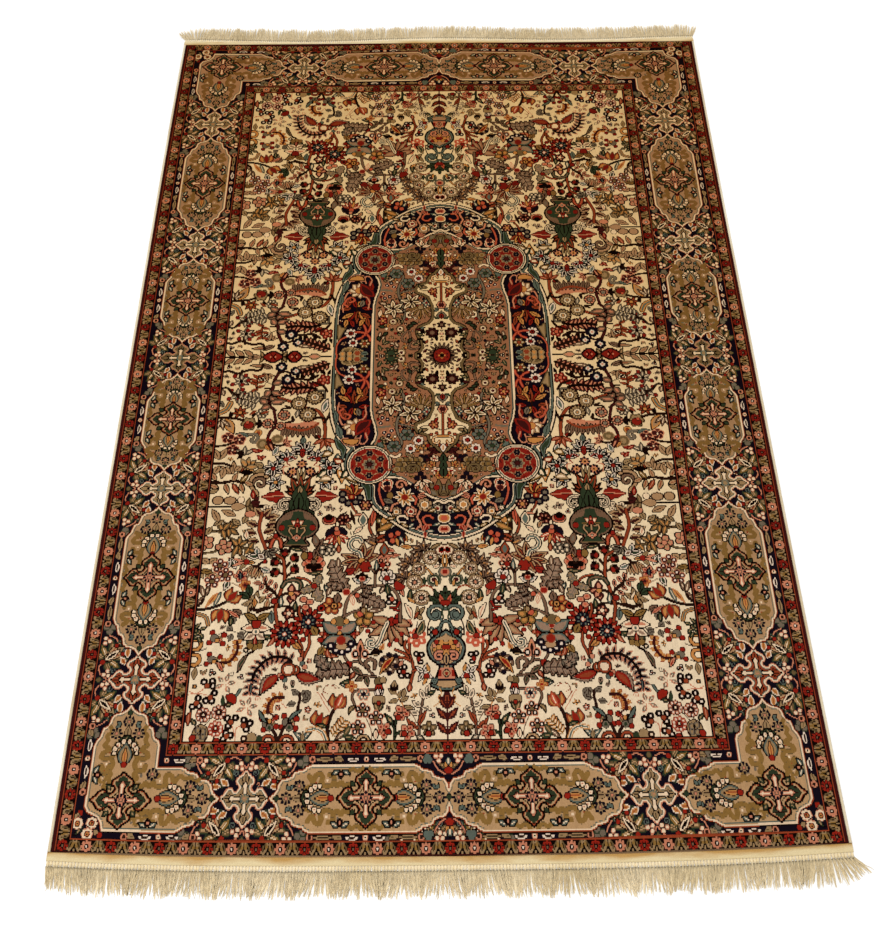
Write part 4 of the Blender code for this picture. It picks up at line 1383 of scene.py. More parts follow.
def shell_and_trefoils(p):
    """Shell, teal leaves, trefoils."""
    p.fan(329, 458, 24, 8, 72, 96, 7, [(0.9, BROWN), TAN])
    twig(p, [(313, 450), (322, 452), (330, 460)], 2.4)
    p.disc(316, 450, 3.4, CRIMSON)
    for x, y, d, n, yarn in ((306, 470, -22, 18, TEAL), (326, 440, -4, 22, GREEN), (366, 462, -56, 22, GREEN),
                             (330, 436, -80, 14, TEAL), (318, 444, -40, 14, TAUPE), (376, 486, 68, 18, GREEN),
                             (384, 462, -120, 18, TEAL)):
        p.leaf(x, y, n, 9, d, [(1.2, BLACK), WHITE, (-1.8, yarn)])
    for x, y in ((394, 457), (383, 475), (405, 487)):
        cluster(p, x, y, 12, rim=MAROON)
    p.leaf(334, 452, 16, 6, -10, [(0.9, BROWN), GOLD, (-2, GREEN)])
    p.pair(348, 450, 18, 7, 0, 52, [(0.9, BROWN), KHAKI])
    p.disc(348, 450, 5.0, CRIMSON)
    p.burst(352, 450, (-20, 20), 5, ROSE, length=22)
    blossom(p, 356, 477, 12, [(0.8, BROWN), ROSE])
    p.leaf(355, 484, 16, 7, -80, NAVY)
    p.stem([(344, 478), (346, 492), (358, 496), (370, 490)], 2.0, TAUPE)
    blossom(p, 347, 495, 10, [(0.8, RUST), GOLD], [(1.0, RUST), MAROON])
    p.leaves(((336, 514, -74), (338, 520, -34)), 11, line_and(GREEN), length=20)
    for x, y, d in ((294, 497, 90), (303, 490, 60), (313, 484, 80), (318, 498, 60), (309, 506, 40),
                    (303, 516, 40), (325, 491, 0)):
        q = math.radians(d)
        p.leaf(x - 6 * math.cos(q), y - 6 * math.sin(q), 14, 7, d, [ROSE, (-1.8, NAVY)])
    twig(p, [(286, 520), (296, 510), (308, 500), (312, 488)])


def branch_tulips(p):
    """Tulips on the side branch."""
    twig(p, [(428, 541), (404, 538), (388, 532), (373, 524)], 3.0, BROWN, BLACK)
    tulip(p, 374, 525, 26, -128, RUST, CRIMSON, MOSS)
    tulip(p, 384, 540, 27, 84, RUST, CRIMSON, MOSS)
    p.leaf(388, 508, 30, 7, 70, [(0.8, BROWN), TEAL])
    p.leaf(394, 510, 30, 7, 56, [(0.8, ROSE), GOLD])
    p.leaf(348, 550, 18, 9, -30, [(1.0, BLACK), TAUPE])
    p.leaf(352, 556, 26, 6, -34, [(0.9, BROWN), ROSE])
    p.leaf(366, 570, 16, 7, -90, line_and(GREEN))
    p.stem([(404, 568), (410, 554), (426, 548)], 5.5, [(0.8, BROWN), GOLD, (-1.6, TEAL)])
    p.burst(416, 516, (-110, -70, 60), 8, [(1.0, BLACK), TAUPE], length=22)
    twig(p, [(416, 520), (424, 534)], 2.0)


def thistle_tree(p):
    """The tall brown stem with thistles, and the flowers around it."""
    stem = [(286, 570), (291, 545), (289, 528), (284, 506), (279, 484), (281, 462), (284, 446), (296, 437)]
    twigs(p, ([(281, 466), (272, 452)], [(282, 458), (290, 452)], [(279, 482), (268, 472)],
              [(280, 474), (290, 472)], [(284, 448), (281, 440)], [(288, 520), (298, 506), (306, 500)],
              [(286, 518), (276, 512), (266, 512)], [(290, 536), (270, 536), (254, 544)],
              [(290, 534), (306, 540), (322, 546)], [(284, 500), (276, 488), (262, 482)]), 2.6)
    twig(p, stem, 4.2, RUST, BROWN)
    twig(p, [(246, 560), (250, 548), (250, 536)], 3.0, RUST, BROWN)
    for x, y, d in ((282, 436, -95), (268, 444, -165), (294, 452, -20), (267, 466, -165), (293, 472, -15)):
        dark_bell(p, x, y, 12, d)
    coral_flower(p)
    maroon_flower(p)
    olive_lily(p)
    shell_and_trefoils(p)
    branch_tulips(p)


def side_branches(p):
    """The maroon branch and the leafy twigs that come in from the field's long edge."""
    for x, y, d in ((320, 362, 190), (318, 378, 196), (322, 392, 196), (334, 378, -22), (336, 394, -14),
                    (330, 410, -4),
                    (326, 360, -130), (328, 358, -50), (318, 412, 210)):
        p.leaf(x, y, 24, 14, d, [(1.0, BROWN), TAN], teeth=3)
        p.leaf(x, y, 16, 3.6, d, MAROON)
    twig(p, [(316, 424), (325, 402), (331, 382), (328, 352)], 4.6, RUST, MAROON)
    p.stem([(289, 421), (291, 409), (298, 403), (305, 409), (308, 421)], 5.6,
           [(1.2, BLACK), RUST, (-1.6, CORAL)])
    p.disc(300, 399, 4.0, [(1, BROWN), CRIMSON])
    leaf_fan(p, 310, 428, 110, 5, 18, 8, GREY, TAUPE, 150)
    twigs(p, ([(428, 388), (404, 388), (384, 384), (372, 388)],
              [(404, 389), (394, 394), (380, 404), (372, 418)], [(372, 420), (356, 422), (344, 424)],
              [(428, 432), (410, 430), (398, 424)]), 2.4, MOSS)
    groups = ((386, 384, ((-160, 20), (-110, 20), (-60, 16), (150, 22), (100, 16))),
              (396, 386, ((-130, 20), (-60, 18), (110, 20))),
              (366, 418, ((-150, 20), (-100, 20), (-50, 20), (110, 22), (70, 24))),
              (346, 424, ((150, 14), (-120, 14), (60, 12))))
    for x, y, leaves in groups:
        for d, n in leaves:
            p.leaf(x, y, n, 8.5, d, [(1.1, BROWN), MOSS])
            p.leaf(x, y, n * 0.8, 3, d, GOLD)
    for x, y, r in ((390, 420, 15), (424, 411, 15)):
        blossom(p, x, y, r, [(1.2, BLACK), ROSE, (-2.6, TAN)], [(0.8, BROWN), ROSE])
    p.pair(414, 452, 16, 11, -90, 55, [(1.0, BLACK), TAN])
    p.leaf(352, 404, 16, 8, -86, [(1.1, BLACK), CREAM])
    p.leaves(((360, 372, -110), (366, 376, -40), (412, 376, -150), (416, 380, 60)), 9, [(1.1, BLACK), KHAKI],
             length=18)
    p.leaves(((376, 356, -22, 26), (404, 368, -60, 28)), 11, [(1.1, BROWN), TAN])
    p.disc(349, 354, 9, ROSE, ry=6)
    spray(p, [(428, 470), (410, 474), (396, 480)], 12, 5, [(0.7, BROWN), KHAKI], 9, stem=MOSS)
    p.leaf(428, 466, 22, 10, 170, [(1, BROWN), OCHRE], teeth=3)
    twig(p, [(382, 440), (374, 448), (366, 452)], 1.4, ROSE)


def field_middle(p):
    trunk_side(p)
    sprig_side(p)
    side_bouquet(p)
    side_branches(p)
    thistle_tree(p)
    side_vase(p)
    palmette_group(p)
    axis_rosettes(p)


# ---------------------------------------------------------------- field beside the medallion's sides

def comb_leaf(p, points, length, width, back, teeth_yarn, lean=62):
    """A leaf with a row of round teeth along each side of its bent spine."""
    spray(p, points, length, width, [(0.8, back), teeth_yarn], 9.4, stem=back, thick=3.4, lean=lean,
          core=ROSE)


def wheel_rosette(p, x, y, r, rim, petal, line, eye, spokes=14):
    """A round flower of many thin petals, with dark gaps between them."""
    p.lobed(x, y, r, spokes, [(1.1, line), (-0.6, line)], notch=0.05)
    p.wheel(x, y, r * 0.4, spokes, lambda px, py,
            d: p.leaf(px, py, r * 0.58, r * 0.27, d, [(UNLINED, line), petal], tip=1.3))
    p.disc(x, y, r * 0.44, [(0.6, line), eye, (-r * 0.16, rim), (-r * 0.3, GOLD)])


def star_flower(p, x, y, r, turn, count=7, spread=230, core=TEAL, foot=CRIMSON):
    """Slim white petals edged in black that open from a red foot."""
    for i in range(count):
        d = turn + spread * (i / (count - 1) - 0.5)
        p.leaf(x, y, r, r * 0.42, d, [(1.4, BLACK), WHITE, (-1.5, core if i % 2 else BLACK)])
    p.disc(x, y, r * 0.2, [(0.8, BROWN), foot])


def middle_flowers(p):
    """Dark and red flowers by the middle line."""
    p.stem([(216, 0), (240, 0), (320, 0)], 2.4, BLACK)
    p.leaf(262, 0, 24, 12, 180, [(1.2, BLACK), TAN, (-2.4, ROSE)])
    p.leaf(284, 28, 26, 8, 190, [(1.0, BROWN), TAUPE])
    for x, long in ((290, 13), (332, 19)):
        p.region([(x - long, -2), (x - long, 2), (x - 4, 12), (x + 5, 12), (x + long, 2), (x + long, -2)],
                 [(1.6, BLACK), MAROON, (-1.8, CRIMSON)], smooth=True)
        for d in (0, 55, 125, 180):
            p.leaf(x, 0, 11, 2.0, d, BLACK if d % 180 else ROSE)
    for x, d in ((308, 60), (312, 120), (352, 70)):
        p.leaf(x, 1, 13, 5.5, d, [(1.1, BLACK), MOSS])


def trunk_side(p):
    """The brown trees, comb leaves and ringed rosettes beside the medallion."""
    twig(p, [(212, 214), (222, 200), (222, 176), (226, 150), (238, 130), (262, 122), (290, 108), (316, 98)],
         5.0, RUST, BROWN)
    twigs(p, ([(212, 120), (216, 140), (224, 156)], [(224, 148), (234, 145), (250, 150)]), 3.0)
    p.burst(222, 194, (28, 72, 122, 160), 8, [(0.8, BROWN), RUST], length=24)
    p.disc(234, 188, 4.2, [(0.8, BROWN), CRIMSON])
    p.disc(238, 190, 3.0, BROWN)
    twig(p, [(320, 128), (332, 112), (328, 84), (326, 60), (318, 38)], 4.4, MAROON, BROWN)
    twig(p, [(322, 126), (318, 146), (316, 162), (326, 178), (330, 196)], 3.6, MAROON, BROWN)
    twig(p, [(286, 144), (284, 152), (300, 158), (306, 160)], 3.0)
    twig(p, [(308, 128), (304, 124), (290, 122), (300, 118)], 2.0)
    p.leaves(((328, 66, 200, 20), (330, 84, 160, 24), (332, 96, 140, 28), (330, 110, 188, 30),
              (332, 80, 60, 20), (334, 98, 20, 22), (334, 110, -20, 20), (330, 116, 30, 20)), 12,
             [(1.3, BLACK), TAUPE, (-3.8, ROSE)])
    comb_leaf(p, [(244, 78), (264, 74), (286, 77), (310, 73)], 18, 8, BLACK, MAROON)
    p.region([(234, 158), (252, 152), (276, 158), (300, 158), (300, 166), (270, 172), (244, 170)], ROSE,
             smooth=True)
    for i in range(8):
        p.leaf(240 + 8 * i, 164 + (i * 5) % 4, 24, 9, 112 - 6 * i, [(1.0, BROWN), TAUPE])
    p.stem([(236, 158), (248, 168), (266, 174), (286, 170), (300, 166)], 4.4, RUST)
    comb_leaf(p, [(222, 18), (240, 26), (256, 32), (274, 40)], 14, 7, BROWN, MAROON)
    for x, y, r in ((245, 98, 15.5), (275, 112, 14.5), (256.5, 138, 15.5)):
        wheel_rosette(p, x, y, r, GREY, KHAKI, BROWN, CREAM)
    for x, y, r in ((302, 139, 11.5), (331, 158, 11), (307, 164, 9.5)):
        p.disc(x, y, r, [(0.6, BLACK), (-1.0, MAROON)])
        p.ring(x, y, r * 0.74, 9, r * 0.2, [(UNLINED, MAROON), ROSE], 20)
        p.disc(x, y, r * 0.44, [(0.8, BLACK), (-0.6, STONE)])
        p.disc(x, y, r * 0.2, TEAL)
    p.leaf(228, 132, 30, 11, -104, [(1.1, BLACK), WHITE, (-2.6, TEAL)])
    p.stem([(226, 100), (228, 84), (240, 82)], 5.0, [BLACK, (-1.6, GREY)])
    p.leaf(278, 144, 18, 8, -100, [(0.9, BROWN), GREY])
    blossom(p, 229, 57, 13, [(0.8, BROWN), CRIMSON], [(0.8, BROWN), CORAL])
    p.disc(243, 67, 6.6, CRIMSON, ry=5.4)
    twig(p, [(222, 84), (230, 72), (246, 64)], 2.2)
    twig(p, [(242, 46), (256, 56), (276, 54), (296, 56)], 3.0)
    p.leaves(((248, 48, -40), (258, 56, 220), (268, 54, -60), (282, 52, -100), (222, 44, -120),
              (228, 42, -40)), 6, BLACK, length=14)
    for x, y, r in ((285, 35, 11), (314, 25, 11.5), (300, 55, 12.5)):
        p.ring(x, y, r * 0.72, 8, r * 0.36, [(UNLINED, NAVY), NAVY], 22)
        p.region([(x - r * 0.5, y), (x, y - r * 0.5), (x + r * 0.5, y), (x, y + r * 0.5)],
                 [(0.6, TEAL), WHITE])
        p.disc(x, y, r * 0.2, ROSE)
    twig(p, [(318, 40), (306, 36), (296, 40)], 2.2)
    middle_flowers(p)


def olive_poppy(p):
    """Olive poppy with its stem and gold leaf."""
    twig(p, [(374, 152), (390, 146), (406, 144), (430, 142)], 3.0)
    p.leaf(402, 144, 14, 6, -80, BLACK)
    p.lobed(367, 158, 14, 6, [(0.9, BROWN), MOSS, (-2.4, KHAKI)], notch=0.2)
    p.disc(367, 161, 9, [(0.8, BROWN), CRIMSON], ry=7.6)
    p.disc(370, 155, 3.0, CORAL)
    p.leaf(412, 146, 38, 17, 118, [(1.1, BROWN), GOLD, (-3.4, TAN)])
    p.burst(420, 148, (70, 104, 138), 7, [(0.9, BLACK), TAUPE], length=24)
    p.burst(344, 158, (-60, 0, 60), 5, BLACK, length=12)
    p.disc(348, 179, 7, [(0.8, BROWN), GOLD, (-3, RUST)])
    p.stem([(366, 182), (352, 182), (348, 190), (352, 200), (360, 196), (356, 190)], 5.0,
           [(0.7, BROWN), GREY])
    p.leaf(366, 186, 24, 10, -14, [(0.9, BLACK), TEAL])
    for x, y in ((382, 194), (404, 189), (393, 216)):
        p.ring(x, y, 6.4, 5, 5.0, [(0.9, ROSE), MAROON], -90)
        p.disc(x, y, 2.8, [(0.8, MAROON), (-0.8, CREAM)])
    twig(p, [(393, 200), (408, 206), (430, 208)], 2.4)
    for side in (-1, 1):
        p.leaf(416, 236, 26, 12, -90 + side * 30, [(1.1, BLACK), TAN])
        p.leaf(370, 226, 20, 8, -90 + side * 60, [(0.8, BLACK), GREY])
    p.leaf(370, 228, 20, 8, -90, [(0.8, BLACK), GREY])
    p.leaves(((372, 222, 8, 7), (372, 226, 44, 6)), None, BLACK, length=14)
    p.leaves(((336, 218, 4), (344, 222, -30), (330, 232, 12), (336, 240, -50)), 7, [(0.7, BROWN), CRIMSON],
             length=15)


def maroon_bloom(p):
    """Olive and maroon flower."""
    p.disc(311, 193, 10, [(1.0, TAN), MOSS, (-4.5, KHAKI)], ry=8.5)
    p.disc(338, 204, 10, [(1.0, TAN), MOSS, (-4.5, KHAKI)], ry=11)
    p.leaf(330, 190, 20, 9, 116, CRIMSON)
    p.leaf(328, 198, 26, 11, 118, [(1.2, BROWN), MAROON])
    p.leaf(325, 202, 17, 3.6, 118, ROSE)
    p.leaf(334, 206, 16, 6, 130, GOLD)
    p.burst(298, 204, (160, 205, 250), 6, [(0.8, ROSE), MAROON], length=15)
    twig(p, [(296, 205), (306, 208), (316, 206)], 2.0)


def leafy_group(p):
    """Leafy group and lower stems."""
    p.leaves(((332, 254, -24, 22), (330, 262, 10, 18)), 11, [(1.2, BLACK), KHAKI])
    for d in (-140, -100, -60, 40, 90, 140, 180):
        p.leaf(364, 254, 21, 9, d, [(1.1, BROWN), KHAKI, (-2.4, GOLD if d % 40 else RUST)])
    p.leaves(((388, 268, -90, 26), (392, 268, -40, 24), (384, 262, -140, 16), (404, 256, 80, 22),
              (414, 252, 60, 20)), 11, [(1.1, BLACK), TAN])
    twig(p, [(392, 252), (408, 246), (430, 246)], 2.8)
    p.stem([(350, 300), (340, 308), (338, 318)], 3.0, [(0.9, BROWN), TAN])
    p.curl(336, 290, 15, 40, [(1.2, BROWN), TAUPE], width=4.4, turns=1.1, hand=-1)
    p.stem([(324, 276), (336, 270), (352, 278), (352, 296), (340, 310)], 5.0, [(1.2, BLACK), TAN])
    twig(p, [(430, 286), (404, 287), (384, 284), (362, 288)], 3.4)
    for x, y, d, n, yarn in ((364, 286, 150, 18, TAN), (372, 286, -130, 20, OCHRE), (386, 284, -110, 18, TAN),
                             (372, 290, 110, 20, TAN),
                             (386, 290, 120, 24, RUST), (400, 290, 110, 22, TAN), (412, 298, -20, 20, TAN),
                             (412, 302, 24, 20, KHAKI),
                             (418, 282, -60, 20, TAN), (352, 266, 0, 22, BLACK)):
        p.leaf(x, y, n, 8, d, [(1.1, BLACK), yarn])
    p.leaf(346, 322, 18, 8, -84, [(0.9, BLACK), CRIMSON])
    p.stem([(430, 338), (400, 338), (384, 338)], 3.0, BLACK)
    p.leaf(386, 338, 28, 15, 180, [(1.1, BROWN), TAN])
    p.disc(388, 325, 10, [(1.1, BROWN), TAN], ry=7)
    p.disc(410, 325, 9, [(1.1, BROWN), TAN], ry=8)
    p.disc(368, 324, 6, [(0.8, BROWN), CREAM])
    p.burst(356, 338, (-140, -100, 150, 110), 7, [(0.9, BROWN), MOSS], length=18)
    p.discs(((340, 322), (338, 330), (342, 337), (339, 345), (345, 330), (336, 338)), 3.8,
            [(0.8, BROWN), MAROON])
    p.leaf(336, 338, 20, 5, 182, BLACK)


def sprig_side(p):
    """The sprigs, petals and small flowers by the field's long edge."""
    p.stem([(430, 0), (400, 0), (350, 0)], 2.6, BLACK)
    p.leaf(381, 0, 26, 11, 180, [(1.3, BLACK), TAN, (-2.6, TAUPE)])
    for x in (372, 390, 408):
        p.leaf(x, 3, 22, 8.5, 38, [(1.3, BLACK), TAN, (-2.6, SALMON)])
    p.leaf(332, 27, 26, 9, -20, [(1.1, BLACK), TAUPE])
    p.leaf(350, 22, 24, 6, -4, [(1.1, BLACK), TAN])
    twig(p, [(350, 20), (356, 32), (378, 32), (398, 40), (414, 34), (430, 36)], 3.0)
    twig(p, [(390, 32), (394, 46), (392, 56)], 2.0)
    p.leaves(((328, 46, 0), (332, 52, -30), (346, 40, 110)), 9, [(1.0, BROWN), TAN], length=20)
    p.leaf(343, 58, 17, 8, -36, [(1.2, BLACK), CREAM, (-1.4, BLACK)])
    p.stem([(330, 66), (340, 62), (344, 66)], 1.6, BLACK)
    p.stem([(330, 76), (344, 76)], 2.0, BROWN)
    twig(p, [(356, 46), (360, 60), (358, 80)], 2.2, RUST)
    p.leaves(((357, 52, -40), (359, 60, -30), (360, 66, -20), (357, 50, 210), (359, 62, 190), (358, 74, 200),
              (359, 76, 40)), 5, [(0.7, BROWN), RUST], length=15)
    for x, y in ((390, 58), (394, 92)):
        p.burst(x, y, (-150, -90, -30, 30, 90, 150), 7, [(0.8, BROWN), GREY], length=17)
        for dx, dy in ((-8, -14), (13, -12), (-3, 9), (-14, -2), (16, 8)):
            p.disc(x + dx, y + dy, 3.5, [(0.8, MAROON), CRIMSON])
        p.disc(x, y, 3.0, BLACK)
    twig(p, [(430, 76), (416, 74), (406, 84), (394, 94), (384, 106)], 2.4)
    spray(p, [(392, 98), (376, 102), (356, 112)], 16, 6.5, [(0.8, BROWN), GREY], 8, lean=80)
    p.leaves(((353, 98, -64, 18, 8), (368, 96, -80, 14, 7)), None, [(0.8, BROWN), GREY])
    p.leaf(420, 92, 16, 8, -70, [(0.9, BLACK), TAUPE])
    p.leaf(418, 118, 20, 9, -50, [(0.9, BLACK), GREY])
    palmette(p, 386, 132, 14, -90, RUST, GOLD, BROWN, 7, 290)
    p.stem([(406, 110), (412, 124), (424, 132), (434, 134)], 9, [(0.9, BROWN), GOLD, (-2.6, TEAL)])
    blossom(p, 344, 135, 11, [(0.8, BROWN), GREY], MOSS, petals=6)
    p.leaf(332, 130, 16, 5, 20, line_and(RUST, BROWN, 0.7))
    p.disc(360, 138, 3.0, BLACK)
    p.leaf(356, 128, 14, 5, 40, RUST)
    olive_poppy(p)
    maroon_bloom(p)
    leafy_group(p)


def side_bouquet(p):
    """The bouquet, spiral handles and red wings over the side vase."""
    axis = 262
    for side in (-1, 1):
        twig(p, [(axis, 288), (axis + side * 20, 276), (axis + side * 38, 262)], 2.6)
        q = p.mirrored(side, 1, axis, 0)
        star_flower(q, 30, 238, 20, -74, 6, 190)
        star_flower(q, 52, 258, 19, -60, 7, 300)
        star_flower(q, 46, 288, 17, -90, 6, 300, TEAL, GOLD)
        q.leaf(54, 228, 20, 9, -112, [(1.2, BLACK), WHITE, (-1.6, TEAL)])
        q.stem([(12, 238), (22, 232), (28, 244), (22, 252)], 2.4, CRIMSON)
        q.stem([(26, 254), (34, 256), (32, 270)], 2.2, ROSE)
        q.leaf(28, 318, 42, 26, 0, [(0.9, BROWN), CRIMSON], teeth=3, tip=0.6)
        q.stem([(28, 316), (46, 317), (66, 318)], 2.0, ROSE)
        q.burst(4, 318, ((-66, 34), (-46, 32), (-26, 26)), 8, [(0.9, BLACK), BROWN, (-2.2, RUST)])
        q.curl(26, 336, 16, 150, [(1.2, BLACK), CREAM, (-1.4, GREY)], width=5.6, turns=1.35)
        q.stem([(4, 318), (14, 330), (14, 346), (24, 354)], 6.5, [(1.2, BLACK), GREEN])
    rosettes = ((0, 249), (-16, 265), (16, 265))
    for dx, y in rosettes:
        rosette(p, axis + dx, y, 10.5, ground=ROSE, eye=GOLD, ring=MAROON)
    star_flower(p, axis, 220, 23, -90, 7, 200)
    p.leaf(axis, 204, 15, 9, -90, [(1.2, BLACK), TEAL])
    p.leaf(axis, 222, 12, 9, 90, line_and(CRIMSON, BROWN))
    for dx in (-3, 0, 3):
        p.leaf(axis + dx, 288, 30, 4, -90 + dx * 3, [(0.8, BLACK), KHAKI])
    p.burst(axis, 322, (-112, -90, -68), 11, [(0.9, BLACK), RUST, (-2.4, GREEN)], length=48)
    p.region([(axis + x, y) for x, y in ((-13, 350), (-10, 332), (-13, 314), (0, 294), (13, 314), (10, 332),
                                         (13, 350))],
             [(0.8, BLACK), GREEN], smooth=True)
    p.leaf(axis, 312, 16, 9, -90, line_and(KHAKI, BLACK, 0.9))
    p.region([(axis - 5, 320), (axis, 314), (axis + 5, 320), (axis, 328)], ROSE)
    p.leaf(axis, 348, 18, 8, -90, [(0.8, BLACK), TAN])
    p.discs(((306, 340), (314, 343), (322, 340), (304, 349), (320, 348)), 4.4,
            [(0.8, BROWN), CREAM, (-2.4, GREY)])


# ---------------------------------------------------------------- medallion

RIM = [(4.4, BLACK), (2.8, CREAM), (0.8, BLACK), (-0.4, TEAL), (-3.6, BLACK), (-4.8, CREAM)]


def medallion_ground(p):
    """The outer outline, its navy ends and sides, and the salmon ground between them."""
    outer = [(213, -20), (213.5, 40), (213.5, 96), (211, 126), (207, 152), (200, 176), (191, 196), (181, 209),
             (171, 216),
             (180, 228), (184, 250), (180, 270), (168, 286), (150, 293), (137, 295), (132, 300), (132, 322),
             (128, 336),
             (118, 348), (108, 356), (95, 366), (80, 378), (60, 391), (40, 399), (20, 405), (0, 408),
             (-20, 408), (-20, -20)]
    p.region(outer, [*RIM, (-6.6, NAVY)])
    ground = [(-20, 328), (0, 328), (20, 321), (40, 308), (60, 292), (76, 280), (92, 277), (104, 278),
              (100, 266), (97, 250),
              (101, 234), (112, 220), (124, 212), (134, 209), (128, 200), (124, 184), (127, 164), (132, 148),
              (135, 128),
              (136, 100), (136, -20), (-20, -20)]
    p.region(ground, [(3.4, BLACK), (2.0, CREAM), (0.2, BLACK), (-1.2, TEAL), (-2.6, SALMON)])
    for points in ([(183, 214), (202, 192), (198, 212), (190, 222), (188, 240), (184, 230)],
                   [(134, 296), (152, 294), (144, 304), (140, 322), (134, 330)]):
        p.region(points, [(1.2, BLACK), TEAL, (-1.8, GREEN)], smooth=True)
    for x, y, n, d, bend, yarn in ((160, 290, 44, -28, -5, OCHRE), (196, 262, 30, 108, 4, GOLD),
                                   (178, 262, 20, 60, 3, GREEN),
                                   (196, 228, 24, 70, 4, TEAL), (206, 226, 20, 20, -3, OCHRE),
                                   (216, 262, 22, 40, 3, GREEN),
                                   (186, 244, 18, -20, 3, RUST), (204, 282, 26, 10, -4, KHAKI)):
        p.leaf(x, y, n, 12, d, [(1.3, BLACK), yarn, (-2.8, CREAM)], bend=bend)
    for d, yarn in ((-150, RUST), (-118, GOLD), (-90, CRIMSON), (-62, GOLD), (-30, RUST)):
        p.leaf(168, 316, 24, 10, d, [(1.1, BROWN), yarn])
    p.discs(((152, 322), (160, 331), (173, 333), (184, 326), (184, 314)), 7,
            [(0.6, BROWN), NAVY, (-3.4, GREY)])
    p.disc(168, 320, 5.5, [(0.9, BLACK), CRIMSON, (-2.8, GOLD)])
    blossom(p, 142, 338, 11, [(1.0, BLACK), MAROON, (-2.2, ROSE)], GOLD, petals=6)
    twig(p, [(168, 334), (164, 344), (158, 352)], 2.6, RUST, BROWN)
    for points in ([(108, 214), (118, 196), (126, 208), (118, 216)], [(84, 276), (94, 262), (104, 276)]):
        p.region(points, [GREEN, (-2.0, TEAL)])


def roundel(p):
    """The red disc at the medallion's shoulder, with six navy flowers."""
    x, y = 137, 251
    p.disc(x, y, 41, [(1.6, BLACK), CREAM, (-1.8, BLACK), (-2.8, TEAL), (-4.4, CREAM), (-5.6, CRIMSON)])
    p.disc(x, y, 24, [MAROON, (-1.6, CRIMSON)])
    p.wheel(x, y, 24, 12, lambda px, py, d: p.leaf(px, py, 11, 2.4, d + 100, TAN), 14)
    p.wheel(x, y, 30, 12, lambda px, py, d: p.leaf(px, py, 8, 2.2, d + 70, MAROON), 2)

    def flower(px, py, d):
        p.lobed(px, py, 6.6, 6, [(0.8, SALMON), NAVY], notch=0.25)
        p.disc(px, py, 1.6, GREY)

    p.wheel(x, y, 24, 6, flower, 30)
    p.lobed(x, y, 13, 8, [KHAKI, (-2.4, GREY)], notch=0.2)
    p.wheel(x, y, 7.5, 8, lambda px, py, d: p.leaf(x, y, 11, 3.4, d, BROWN), 22)
    p.disc(x, y, 4.6, MAROON)


def rust_tree(p):
    """Rust tree."""
    for i, (x, y, d, n) in enumerate((
            (170, 116, -90, 34), (166, 112, -120, 32), (174, 112, -60, 32), (162, 108, -150, 24),
            (178, 108, -30, 26),
            (160, 122, 190, 20), (182, 122, -10, 22), (170, 124, 110, 18), (172, 124, 70, 22),
            (150, 96, -100, 22),
            (190, 92, -80, 20), (150, 128, 96, 26), (188, 126, 96, 24), (158, 92, -70, 18),
            (182, 90, -110, 18))):
        p.leaf(x, y, n, 9, d, [(0.9, BLACK), (RUST, GOLD, CRIMSON)[i % 3]])
    p.stem([(170, 128), (170, 110), (168, 96)], 2.6, BROWN)
    p.stem([(186, 136), (176, 142), (182, 150), (192, 144), (196, 132), (190, 126)], 4.0,
           [(0.8, MAROON), CORAL])
    p.stems(([(198, 112), (200, 130), (196, 148), (190, 162), (180, 160)],
             [(148, 120), (146, 138), (152, 150), (160, 152)]), 3.0, ROSE)
    p.leaf(158, 142, 18, 10, -74, [(0.8, BROWN), GREY])
    p.leaf(204, 130, 28, 9, 96, [(0.8, BLACK), TEAL])


def red_wing(p):
    """Cream flower with a red wing, and the bowl."""
    p.burst(168, 168, ((-150, 22), (-100, 22), (-50, 22), (0, 22), (50, 22), (100, 24), (150, 20)), 15,
            [(0.9, BROWN), TAN, (-3, CREAM)])
    p.disc(168, 168, 7, [(0.8, RUST), GOLD])
    p.leaf(136, 152, 46, 22, 50, [(1.0, MAROON), CRIMSON, (-4.2, MAROON)], bend=-4)
    p.leaf(140, 168, 28, 10, 76, [(0.8, MAROON), CRIMSON])
    p.leaf(192, 192, 32, 12, -76, [(0.9, BLACK), TEAL])
    p.stem([(146, 182), (142, 196), (150, 206), (158, 200), (154, 188)], 2.8, ROSE)
    p.region([(158, 194), (188, 194), (186, 204), (172, 209), (160, 206)], [(0.8, ROSE), BROWN, (-2.6, GOLD)],
             smooth=True)


